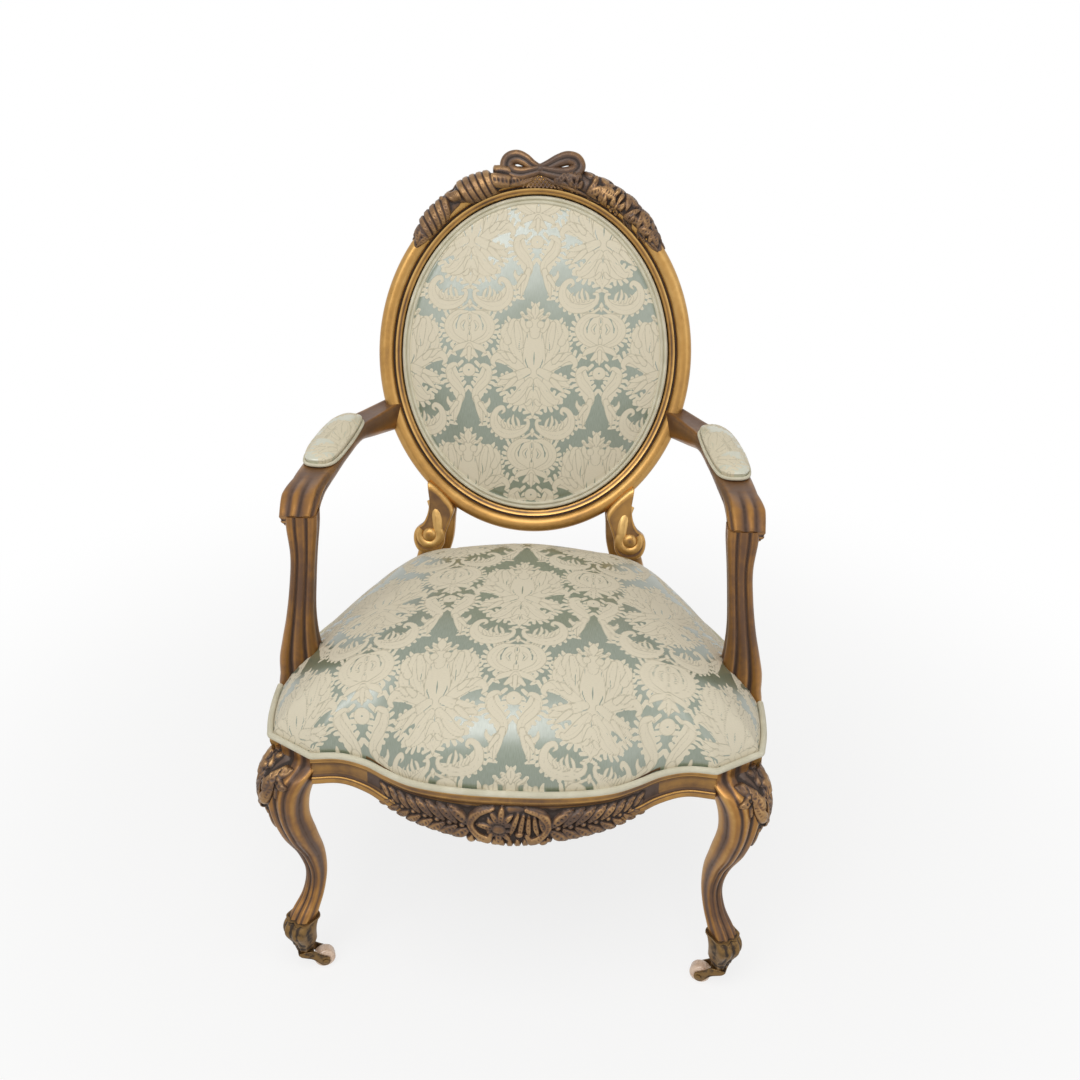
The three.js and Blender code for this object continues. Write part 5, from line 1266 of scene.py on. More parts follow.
@dataclass
class SeatFrame:
    """The moulded rails round the seat, their corner blocks and the carving on the front rail."""

    plan: SeatPlan = field(default_factory=lambda: PLAN)
    inset: float = 3.0
    thickness: float = 30.0
    front_drop: float = 38.0
    belly: float = 30.0
    side_drop: float = 56.0
    rim_height: float = 340.0
    rim_width: float = 10.0
    rear_thickness: float = 26.0
    belly_shares: tuple = (1, 0.95, 0.77, 0.55, 0.38, 0.25, 0.07, 0.12)
    side_drop_shares: tuple = (0.68, 0.74, 0.92, 1, 0.99, 0.97, 0.96)
    face: tuple = ((0.5, 1.0), (0, 0.985), (0, 0.93), (0, 0.885), (0.9, 0.872), (1.3, 0.84), (3.2, 0.79),
                   (5.4, 0.72), (6.2, 0.6), (6.2, 0.45), (5.7, 0.34), (4.2, 0.265), (1.6, 0.235),
                   (1.2, 0.2), (0.2, 0.16), (-0.4, 0.1), (0.2, 0.04), (1.8, 0.0))
    carving_half: float = 190.0
    # Distance behind the rail's face, and height over its lower edge with its sign turned.
    carving_profile: tuple = ((4.6, -56), (4.6, -30), (4.4, -16), (3.0, -9), (1.6, -4), (1.2, 0),
                              (3.0, 3.4), (7.0, 4.6), (11, 3.6))
    # Ornaments by their place along from the middle and up from under the rail's lower edge.
    foliage: tuple = (
        (Sprig.SWELL, (-46, 30, 20, 5), (-15, 34, 28, 8), (14, 34, 28, 8), (44, 30, 20, 5)),
        (Sprig.SWELL, (46, 31, 20, 5), (100, 30, 18, 5), (140, 28, 14, 4), (172, 26, 8, 1.5)),
        (Sprig.SWELL, (-46, 31, 20, 5), (-100, 30, 18, 5), (-140, 28, 14, 4), (-172, 26, 8, 1.5)),
        (Sprig.BEAD, -14, 32, 10, 7),
        (Sprig.REED, (-22, 60, 3, 4), (-40, 52, 5.6, 6), (-50, 36, 6, 6.5), (-43, 20, 5.6, 6.5),
         (-27, 14, 4.6, 6), (-23, 22, 3.4, 5)),
        (Sprig.REED, (20, 60, 3, 4), (39, 52, 5.6, 6), (48, 36, 6, 6.5), (42, 20, 5.6, 6.5),
         (27, 13, 4.6, 6), (21, 21, 3.4, 5)),
        (Sprig.FAN, -14, 31, -90, 26, 5.4, 5.6, 5, 150), (Sprig.FAN, -16, 34, 178, 26, 5.2, 5.2, 3, 70),
        (Sprig.FAN, -12, 38, 86, 26, 5.2, 5.0, 5, 140),
        *((Sprig.LEAF, 10 + 6.8 * k, 54 - 1.4 * k, -112 + 9 * k, 32, 4.4, 5.8, 14) for k in range(5)),
        (Sprig.BEAD, 12, 24, 6, 6.5),
        *((Sprig.LEAF, 9.5 * k, 14, -90 + 3 * k, 15, 4.8, 5.6) for k in range(-5, 6)),
        *((Sprig.LEAF, side * (52 + 16 * k), 29 - 0.5 * k + (4 if lean > 0 else -4), turn + side * lean,
           33 - 2.0 * k, 7.4 - 0.45 * k, 6.6 - 0.4 * k, side * lean * -0.6)
          for side, turn in ((1, 0), (-1, 180)) for k in range(8) for lean in (46, -46)),
        *((Sprig.BEAD, side * (60 + 16 * k), 30 - 0.5 * k, 4.4 - 0.2 * k, 6.4 - 0.4 * k)
          for side in (1, -1) for k in range(7)),
        (Sprig.BEAD, -49, 7, 7, 8), (Sprig.BEAD, 42, 7, 7, 8),
    )

    def section(self, drops: Array) -> tuple[Array, Array]:
        """The rail's section at each station: its moulded face, its underside and its back."""
        top = self.plan.layout.rail_top
        face = resampled(spline(self.face, 6) * [1, 40], 64) / [1, 40]
        inner = np.array([[self.thickness - self.rim_width, 0.0], [self.thickness, 0.0],
                          [self.thickness, 1.0]])
        behind = self.inset + np.concatenate([face[:, 0], inner[:, 0]])
        heights = top - drops[:, None] * (1 - np.concatenate([face[:, 1], inner[:, 1]])[None])
        heights[:, len(face):len(face) + 2] = self.rim_height
        heights[:, -1] = top
        return behind, heights

    @cached_property
    def front(self) -> tuple[Array, Array]:
        """The front rail's whole run from left to right, and its height at each point."""
        run = self.plan.front_run
        knots = np.arange(len(self.belly_shares))
        shares = np.interp(np.linspace(0, knots[-1], len(run)), knots, self.belly_shares)
        shares = blurred(shares, 8, 0, False)
        drops = self.front_drop + self.belly * shares
        whole = np.vstack([run[:0:-1] * [-1, 1], run])
        return whole, np.concatenate([drops[:0:-1], drops])

    def build(self) -> None:
        """Builds the four rails and dresses the corner blocks."""
        run, drops = self.front
        behind, heights = self.section(drops)
        Shell().add(walls(run, behind, heights), closed=True, capped=True).build(
            "front_seat_rail", GILT, replaces=["front_rail"])
        side = self.plan.side_run
        places = np.linspace(0, 1, len(side))
        shares = np.interp(places, np.linspace(0, 1, len(self.side_drop_shares)), self.side_drop_shares)
        behind, heights = self.section(self.side_drop * blurred(shares, 8, 0, False))
        right = Shell().add(walls(side, behind, heights), closed=True, capped=True)
        right.build("right_seat_rail", GILT, replaces=["right_side_rail"])
        right.mirrored().build("left_seat_rail", GILT, replaces=["left_side_rail"])
        self.rear().build("rear_seat_rail", GILT, replaces=["rear_rail"])
        self.carving().build("front_rail_foliage", CARVED, replaces=["front_rail_carving"], crease=70)
        for name in ("right_front", "left_front", "right_rear", "left_rear"):
            dress(f"{name}_corner_block", BEECH)

    def rear(self) -> Shell:
        """The plain rear rail: a rounded bar between the rear legs."""
        layout = self.plan.layout
        half = layout.rear_leg_x - 23.0 - layout.gap
        middle = np.array([0, layout.seat_depth - 2.1, (layout.rail_top + self.rim_height) / 2])
        size = np.array([self.rear_thickness / 2, (layout.rail_top - self.rim_height) / 2])
        turn = np.linspace(0, 2 * math.pi, 48, endpoint=False)
        ring = np.sign([np.cos(turn), np.sin(turn)]) * np.abs([np.cos(turn), np.sin(turn)]) ** 0.22
        x = np.linspace(-half, half, 60)[:, None]
        y = middle[1] + size[0] * ring[0][None]
        z = middle[2] + size[1] * ring[1][None]
        return Shell().add(np.stack(np.broadcast_arrays(x, y, z), -1), closed=True, capped=True)

    def carving(self) -> Shell:
        """Foliage in the front rail's cove: a shell with an oval boss between two C scrolls, sprays of
        leaflets on both sides, and two knobs that hang below."""
        run, drops = self.front
        held = np.abs(run[:, 0]) < self.carving_half
        run, drops = resampled(run[held], 420), np.interp(
            np.linspace(0, 1, 420), np.linspace(0, 1, held.sum()), drops[held])
        along = np.concatenate([[0], np.cumsum(np.linalg.norm(np.diff(run, axis=0), axis=1))])
        along -= along[-1] / 2
        profile = resampled(spline(self.carving_profile, 6), 76)
        across = np.concatenate([[0], np.cumsum(np.linalg.norm(np.diff(profile, axis=0), axis=1))])
        top = self.plan.layout.rail_top
        foot = top - drops[:, None] - profile[None, :, 1]
        base = walls(run, self.inset + profile[:, 0], foot)
        across = across[-1] - across
        return relief(base, along, across, self.foliage, np.array([0, -1.0, 0]))


def dress(node: str, finish: Finish) -> None:
    """Gives a carried-over CAD node its finish."""
    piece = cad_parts[node]
    piece.data.materials.clear()
    piece.data.materials.append(finish.material)
    log.info("%s: dressed in %s", node, finish.slot)


def rounded_section(knots: Sequence, steps: int = 4) -> Array:
    """A closed section as a smooth run of points."""
    return spline(knots, steps, closed=True)


@dataclass
class FrontLegs:
    """Cabriole front legs with a fluted front, and the leaves carved on their knees."""

    plan: SeatPlan = field(default_factory=lambda: PLAN)
    half: float = 22.4
    reach: float = 35.0
    foot_top: float = 58.0
    cup_station: int = 10
    rows: tuple = ((1, -0.8, 1.11, 1.6), (0.955, -0.78, 1.13, 1.56), (0.915, -0.2, 1.3, 1.42),
                   (0.86, 0.2, 1.14, 1.18), (0.76, 0.26, 0.98, 0.97), (0.635, -0.11, 0.91, 0.91),
                   (0.515, -0.63, 0.7, 0.7), (0.405, -0.8, 0.55, 0.55), (0.328, -0.54, 0.57, 0.57),
                   (0.277, -0.08, 0.68, 0.68), (0.252, 0.13, 0.73, 0.72), (0.23, 0.31, 0.77, 0.76),
                   (0.205, 0.36, 0.75, 0.74), (0.15, 0.2, 0.56, 0.58))
    section: tuple = ((-1, -0.55), (-0.72, -1), (0.1, -1.02), (0.62, -0.98), (0.8, -0.78), (0.86, -0.6),
                      (1.02, -0.42), (0.98, -0.22), (0.86, 0), (0.98, 0.22), (1.02, 0.42), (0.86, 0.6),
                      (0.8, 0.78), (0.62, 0.98), (0.1, 1.02), (-0.72, 1), (-1, 0.55))
    knee_span: tuple = (12.0, 132.0)
    knee_turn: tuple = (60.0, 330.0)
    knee_middle_turn: float = 175.0
    # Ornaments by their fall below the rail's top, and their place from the face's middle outwards.
    leaves: tuple = (
        (Sprig.SWELL, (22, 46, 24, 6), (50, 44, 26, 8), (80, 40, 18, 5), (110, 34, 8, 1.5)),
        (Sprig.SWELL, (30, 8, 16, 4), (60, 20, 16, 4.5), (90, 28, 8, 2)),
        (Sprig.FAN, 18, 34, 4, 34, 6.4, 8, 5, 120), (Sprig.FAN, 18, 60, 0, 36, 7, 8, 5, 90),
        (Sprig.FAN, 32, 6, -50, 30, 6, 7, 4, 110), (Sprig.FAN, 46, 64, 0, 38, 7, 7, 4, 60),
        *((Sprig.LEAF, 42, 20 + 9 * k, 6, 36, 5, 8, -6) for k in range(5)),
        (Sprig.REED, (36, 0, 4, 5), (52, 6, 5.4, 7), (68, 16, 6, 8), (82, 28, 5.4, 8), (92, 40, 4, 5)),
        (Sprig.LEAF, 38, 12, 42, 50, 6, 7, -20), (Sprig.FAN, 78, 36, 0, 36, 6, 6, 3, 50),
        (Sprig.FAN, 80, 60, -4, 38, 6, 6, 3, 50), (Sprig.LEAF, 90, 22, 0, 38, 5, 5, 10),
        (Sprig.FLOWER, 30, 22, 12, 7.5), (Sprig.BEAD, 72, 22, 5.6, 8),
        (Sprig.FAN, 24, 16, 160, 18, 5, 6, 3, 80), (Sprig.FAN, 22, 46, 172, 18, 5, 6, 3, 80),
    )

    def stations(self, from_row: int = 0, to_row: int | None = None, steps: int = 10) -> Array:
        """Height, reach, half depth and half width of the leg, smoothed between its rows."""
        rows = np.array(self.rows) * [self.plan.layout.rail_top, self.reach, self.half, self.half]
        rows[-1, 0] = self.foot_top
        whole = spline(rows, steps)
        last = None if to_row is None else to_row * steps + 1
        return whole[from_row * steps:last]

    def rings(self, stations: Array, growth: float = 0.0, plain: float = 0.0) -> Array:
        """The leg's section at each station, grown by an amount."""
        section = rounded_section(self.section)
        calm = np.array([1, 1]) * section
        z, reach, depth, width = stations.T
        middle = (self.plan.face_middle + reach[:, None] * self.plan.face_out
                  + z[:, None] * np.array([0, 0, 1.0]))
        out = calm[None, :, 0] * (depth[:, None] + growth)
        across = calm[None, :, 1] * (width[:, None] + growth)
        return (middle[:, None] + out[..., None] * self.plan.face_out
                + across[..., None] * self.plan.face_along)

    def build(self) -> None:
        """Builds both legs and their knee carvings."""
        leg = Shell().add(self.rings(self.stations()), closed=True, capped=True)
        leg.build("right_cabriole_leg", DARKER_GILT, replaces=["right_front_leg"])
        leg.mirrored().build("left_cabriole_leg", DARKER_GILT, replaces=["left_front_leg"])
        knee = self.knee()
        knee.build("right_knee_leaves", CARVED, replaces=["right_knee_carving"], crease=70)
        knee.mirrored().build("left_knee_leaves", CARVED, replaces=["left_knee_carving"], crease=70)

    def knee(self) -> Shell:
        """Leaves over the outer half of the knee, below a plain block: rosettes, hanging fingers and a
        leaf that crosses to the leg's inner edge."""
        stations = self.stations()
        fall = np.linspace(*self.knee_span, 150)
        order = np.argsort(stations[:, 0])
        held = np.stack([np.interp(self.plan.layout.rail_top - fall, stations[order, 0], column[order])
                         for column in stations.T], 1)
        rings = self.rings(held)
        turn = np.linspace(*self.knee_turn, 130)
        column = turn / 360 * rings.shape[1]
        low = np.floor(column).astype(int)
        share = (column - low)[None, :, None]
        count = rings.shape[1]
        base = rings[:, low % count] * (1 - share) + rings[:, (low + 1) % count] * share
        across = np.concatenate([[0], np.cumsum(np.linalg.norm(np.diff(base[60], axis=0), axis=1))])
        across -= np.interp(self.knee_middle_turn, turn, across)
        facing = self.plan.face_out + 0.4 * self.plan.face_along
        return relief(base, fall, across, self.leaves, facing, sink=1.0)


@dataclass
class RearLegs:
    """Raking rear legs that run on up to the oval as plain posts."""

    layout: Layout = LAYOUT
    half: float = 23.0
    splay: float = 36.0
    rake: float = 104.0
    post_half_width: float = 25.0
    post_half_depth: float = 13.0
    post_set_back: float = 7.0
    rows: tuple = ((0, 1, 1, 0.62, 0.62), (0.2, 0.7, 0.68, 0.68, 0.68), (0.45, 0.36, 0.33, 0.8, 0.8),
                   (0.7, 0.1, 0.1, 0.92, 0.95), (0.86, 0, 0.01, 1, 1), (1, 0, 0, 1, 1))
    posts: tuple = ((0.88, 1.06, 1), (0.84, 0.92, 0.86), (0.8, 0.8, 0.76))

    def build(self) -> None:
        """Builds both legs."""
        turn = np.linspace(0, 2 * math.pi, 48, endpoint=False)
        ring = np.sign([np.cos(turn), np.sin(turn)]) * np.abs([np.cos(turn), np.sin(turn)]) ** 0.4
        x, y = ring * [[1.0], [1.0]]
        low = []
        for height, splay, rake, width, depth in self.rows:
            middle = np.array([self.layout.rear_leg_x + splay * self.splay,
                               self.layout.rear_leg_y + rake * self.rake, height * self.layout.rail_top])
            low.append(middle + np.outer(x * width * self.half, [1, 0, 0])
                       + np.outer(y * depth * self.half, [0, 1, 0]))
        outer = self.layout.oval_half_height + self.layout.oval_face
        for across, drop, width in self.posts:
            middle = self.layout.on_back(across * self.layout.rear_leg_x, -drop * outer, -self.post_set_back)
            low.append(middle + np.outer(x * width * self.post_half_width, [1, 0, 0])
                       - np.outer(y * self.post_half_depth, self.layout.back_out))
        stacked = np.array(low).reshape(len(low), -1)
        rings = spline(stacked, 14).reshape(-1, len(turn), 3)
        leg = Shell().add(rings, closed=True, capped=True)
        leg.build("right_rear_post", GILT, replaces=["right_rear_leg"])
        leg.mirrored().build("left_rear_post", GILT, replaces=["left_rear_leg"])


@dataclass
class OvalFrame:
    """The moulded oval of the back and the volute consoles that carry it."""

    layout: Layout = LAYOUT
    lip: float = 8.0
    section: tuple = ((0, -3.2), (0, 2.6), (0.8, 3.8), (4.5, 5.4), (9.2, 7.4), (10.0, 5.8), (11.4, 5.8),
                      (12.2, 9.4), (13.4, 12.4), (16.5, 15.0), (21, 16.4), (26, 16.2), (30, 14.0),
                      (32.6, 10.8), (33.6, 8.4), (34, 6.4), (34, -6), (33.6, -14.6), (32.4, -16), (16, -16),
                      (1.2, -16), (0, -15), (0, -11.2), (-7.6, -11.2), (-8, -10.8), (-8, -3.6), (-7.6, -3.2))
    volute: tuple = ((0.5, -0.87), (0.52, -0.94), (0.55, -1.02), (0.56, -1.08), (0.6, -1.13), (0.66, -1.14),
                     (0.73, -1.12), (0.76, -1.06), (0.75, -1), (0.7, -0.96), (0.67, -0.9), (0.66, -0.8),
                     (0.67, -0.72))
    volute_foot: float = 6.4
    volute_thickness: float = 20.0
    boss: tuple = (0.655, -1.025)
    boss_radius: float = 12.0

    def build(self) -> None:
        """Builds the oval ring and both consoles."""
        angle = np.linspace(0, 2 * math.pi, 420, endpoint=False)
        section = resampled(rounded_section(self.section, 6), 110, closed=True)
        ring = self.layout.round_oval(angle[:, None], section[None, :, 0], section[None, :, 1])
        Shell().add(ring, closed=True, looped=True, inside=None).build(
            "oval_back_frame", GILT,
            replaces=["crest_rail", "lower_oval_rail", "right_oval_stile", "left_oval_stile"])
        console = self.console()
        console.build("right_scroll_console", GILT, replaces=["right_volute_console"])
        console.mirrored().build("left_scroll_console", GILT, replaces=["left_volute_console"])

    def console(self) -> Shell:
        """A scrolled console: a bevelled slab, one raised reed that winds round it, and a round eye."""
        outer = np.array([self.layout.oval_half_width, self.layout.oval_half_height]) + self.layout.oval_face
        edge = resampled(rounded_section(self.volute, 8), 160, closed=True) * outer
        middle = np.array([0.63, -1.0]) * outer
        low, high = self.volute_foot, self.volute_foot + self.volute_thickness
        rows = [(1.0, low), (1.0, high - 5), (0.985, high - 2.6), (0.94, high - 0.9), (0.88, high - 0.2),
                (0.82, high - 0.3), (0.6, high - 0.3), (0.3, high - 0.3)]
        grid = np.stack([self.layout.on_back(*(middle + (edge - middle) * share).T, out)
                         for share, out in rows])
        shell = Shell().add(grid, closed=True, capped=True)
        eye = np.array(self.boss) * outer
        for turns, start, radius, reed in ((0.68, 150, 15.5, 7.6),):
            turn = np.radians(np.linspace(start, start + 360 * turns, 60))
            arc = eye + radius * np.stack([np.cos(turn), np.sin(turn)], 1)
            lead = arc[0] + np.linspace([10.0, 46.0], [0.0, 0.0], 30, endpoint=False)
            bow = -2 * np.sin(np.linspace(0, math.pi, 30))[:, None] * [1, 0]
            run = np.vstack([lead + bow, arc])
            dip = np.concatenate([9 * np.linspace(1, 0, len(lead)) ** 2, np.zeros(len(arc))])
            path = self.layout.on_back(run[:, 0], run[:, 1], high - 1.6 - dip)
            taper = reed * np.linspace(1.25, 0.7, len(path))
            shell.add(tube(path, taper, 16, up=self.layout.back_out, squash=0.62), closed=True, capped=True)
        dome = np.array([[0.05, 6.4], [3, 6.2], [6.5, 5.4], [9.4, 3.6], [11.2, 1.0], [11.8, -3.0]])
        dome = spline(dome, 4) * [1, 1]
        shell.add(lathe(dome, 40, self.layout.on_back(*eye, high - 1.0), self.layout.back_out,
                        np.array([1.0, 0, 0])), closed=True, capped=True)
        return shell


@dataclass
class Crest:
    """The carving over the oval: a ribbon bow with a garland of leaves and flowers on each side."""

    layout: Layout = LAYOUT
    knot_up: float = 268.0
    reach: float = 236.0
    degree: float = 4.43  # length of one degree along the frame
    # Knots across and up from the oval's centre, and out of the back.
    loops: tuple = (
        ((0, 272, 12), (-12, 278, 13), (-22, 285, 13), (-34, 289, 11), (-45, 285, 9), (-48, 276, 9),
         (-41, 268, 12), (-27, 265, 14), (-12, 268, 15), (2, 272, 13)),
        ((0, 272, 12), (14, 278, 13), (28, 285, 13), (41, 289, 11), (53, 286, 9), (57, 278, 9),
         (51, 270, 12), (36, 266, 14), (17, 268, 15), (-2, 272, 13)),
    )
    tails: tuple = (
        ((-2, 268, 13), (-16, 258, 16), (-34, 253, 16), (-54, 252, 15), (-76, 244, 13)),
        ((4, 268, 13), (20, 258, 16), (38, 253, 16), (56, 246, 15), (76, 236, 13)),
    )
    # Distance outwards from the sight edge and out of the frame, over its face and its outer edge.
    profile: tuple = ((10.5, 6.2), (12.6, 9.6), (16.5, 14.4), (21, 16.2), (26, 16), (30, 13.8), (33, 9.6),
                      (34, 4), (34, -4), (33.8, -11))
    # Ornaments by their place along from the top, and across from the inner edge.
    right_sprays: tuple = (
        (Sprig.SWELL, (30, 26, 16, 5), (80, 30, 20, 9), (135, 30, 20, 10), (190, 28, 16, 7), (228, 22, 7, 2)),
        (Sprig.FAN, 26, 10, 22, 30, 6, 5.5, 4, 90), (Sprig.FAN, 40, 26, 30, 32, 6.4, 6.5, 5, 120),
        (Sprig.FAN, 70, 34, 60, 22, 6, 7, 5, 150), (Sprig.FLOWER, 62, 14, 12, 6.5),
        (Sprig.FAN, 84, 12, 4, 28, 6, 6, 4, 100), (Sprig.FAN, 96, 34, 48, 24, 6.4, 7.5, 5, 140),
        (Sprig.FAN, 104, 22, -20, 26, 5.6, 6.5, 4, 90), (Sprig.FAN, 122, 36, 56, 22, 6, 7, 5, 150),
        (Sprig.FLOWER, 136, 15, 13, 7), (Sprig.FAN, 140, 32, 26, 28, 6.4, 7.5, 5, 120),
        (Sprig.FAN, 158, 36, 50, 20, 5.6, 6.5, 4, 130), (Sprig.FAN, 156, 14, -8, 28, 5.6, 6, 4, 90),
        (Sprig.FAN, 172, 28, 20, 28, 6, 7, 5, 120), (Sprig.FAN, 192, 32, 40, 18, 5, 6, 4, 130),
        (Sprig.FAN, 186, 14, 4, 26, 5.2, 5.5, 4, 90), (Sprig.FAN, 202, 24, 6, 26, 5, 5.5, 4, 80),
        (Sprig.LEAF, 212, 34, 0, 22, 4, 5), (Sprig.LEAF, 208, 12, 12, 24, 4, 4),
        *((Sprig.BEAD, *spot, 4.6, 8) for spot in ((54, 38), (88, 26), (114, 14), (126, 26), (168, 16), (182, 40))),
    )
    left_sprays: tuple = (
        (Sprig.SWELL, (62, 26, 18, 6), (92, 28, 24, 11), (122, 32, 22, 13), (140, 34, 14, 8)),
        (Sprig.SWELL, (146, 30, 18, 6), (178, 28, 20, 9), (212, 22, 14, 6), (232, 18, 6, 2)),
        (Sprig.REED, (12, 34, 7, 8), (38, 30, 9, 11), (64, 34, 8, 12)),
        (Sprig.REED, (14, 18, 6, 6), (42, 15, 8, 8), (72, 20, 7, 8)),
        (Sprig.FAN, 48, 34, 24, 26, 6, 6, 3, 60),
        *((Sprig.REED, (72 + 11 * k, 2, 3.6, 3), (80 + 10.6 * k, 14, 5.6, 5.5), (83 + 10.4 * k, 28, 6.2, 6.5),
           (80 + 10.2 * k, 44, 5, 5)) for k in range(5)),
        (Sprig.REED, (134, 22, 4, 6), (146, 26, 5, 8), (148, 36, 5, 8), (138, 44, 4.4, 6), (130, 38, 4, 5)),
        *((Sprig.REED, (152 + 11.5 * k, 46, 4, 4), (152 + 11.5 * k, 34, 5.6, 6.5), (160 + 11 * k, 20, 5.4, 6),
           (172 + 10 * k, 6, 3.6, 3)) for k in range(5)),
        (Sprig.FAN, 206, 26, 0, 28, 5.4, 5, 4, 80), (Sprig.LEAF, 208, 12, 10, 26, 4, 4),
        (Sprig.BEAD, 150, 40, 6, 8), (Sprig.BEAD, 158, 30, 5, 8),
    )

    def garland(self, side: int, rows: Sequence) -> Shell:
        """A garland down one side of the frame's top: side is 1 for the right, -1 for the left."""
        along = np.linspace(8, self.reach, 320)
        profile = resampled(spline(self.profile, 6), 78)
        across = np.concatenate([[0], np.cumsum(np.linalg.norm(np.diff(profile, axis=0), axis=1))])
        angle = np.radians(90 - side * along / self.degree)
        base = self.layout.round_oval(angle[:, None], profile[None, :, 0], profile[None, :, 1])
        facing = self.layout.back_out + 0.5 * self.layout.back_up
        return relief(base, along, across, rows, facing)

    def ribbon(self, path: Array, width: float, thick: Array | float) -> Array:
        """A ribbon on edge along a path in the back's frame: its front edge has a groove between two
        rolled rims."""
        along = directions(path)
        out = np.array([0, 0, 1.0])
        side = unit(np.cross(along, out))
        turn = np.linspace(0, 2 * math.pi, 32, endpoint=False)
        front = np.cos(turn)
        a = np.sign(front) * np.abs(front) ** 0.5 * width / 2
        a -= 1.7 * np.exp(-(np.sin(turn) / 0.3) ** 2) * (front > 0)
        b = np.sin(turn)[None, :, None] * np.broadcast_to(thick, len(path))[:, None, None] / 2
        flat = path[:, None] + a[None, :, None] * out + b * side[:, None]
        return self.layout.on_back(flat[..., 0], flat[..., 1], flat[..., 2])

    def bow(self) -> Shell:
        """Two loops, a knot, two tails and a cross-hatched tie under the knot."""
        shell = Shell()
        up = self.knot_up
        for knots in self.loops:
            path = resampled(spline(knots, 12), 130)
            thick = 14 + 7.5 * np.sin(np.linspace(0, math.pi, len(path)))
            shell.add(self.ribbon(path, 20, thick), closed=True, capped=True, reach=4)
        for knots in self.tails:
            path = resampled(spline(knots, 12), 70)
            thick = 3 + 10 * np.sin(np.linspace(0.5, 2.9, len(path)))
            shell.add(self.ribbon(path, 9, thick), closed=True, capped=True, reach=4)
        knot = carved_berry(1.0) * [10, 9, 10]
        place = Stance(self.layout.on_back(1, up + 4, 14), np.array([1.0, 0, 0]), self.layout.back_out)
        shell.add(place.place(knot), closed=True, capped=True, reach=4)
        for k in range(-3, 5):
            for lean in (-1, 1):
                x = 6 * k
                run = np.array([[x - 6 * lean, up - 22, 15.4], [x + 6 * lean, up - 6, 16.6]])
                path = self.layout.on_back(*resampled(run, 6).T)
                shell.add(tube(path, 1.5, 6, up=self.layout.back_out), closed=True, capped=True)
        return shell

    def build(self) -> None:
        """Builds the bow and both garlands."""
        self.garland(1, self.right_sprays).build("right_flower_garland", CARVED,
                                                 replaces=["right_garland"], crease=75)
        self.garland(-1, self.left_sprays).build("left_flower_garland", CARVED,
                                                 replaces=["left_garland"], crease=75)
        self.bow().build("crest_ribbon_bow", CARVED, replaces=["ribbon_bow"], crease=60)


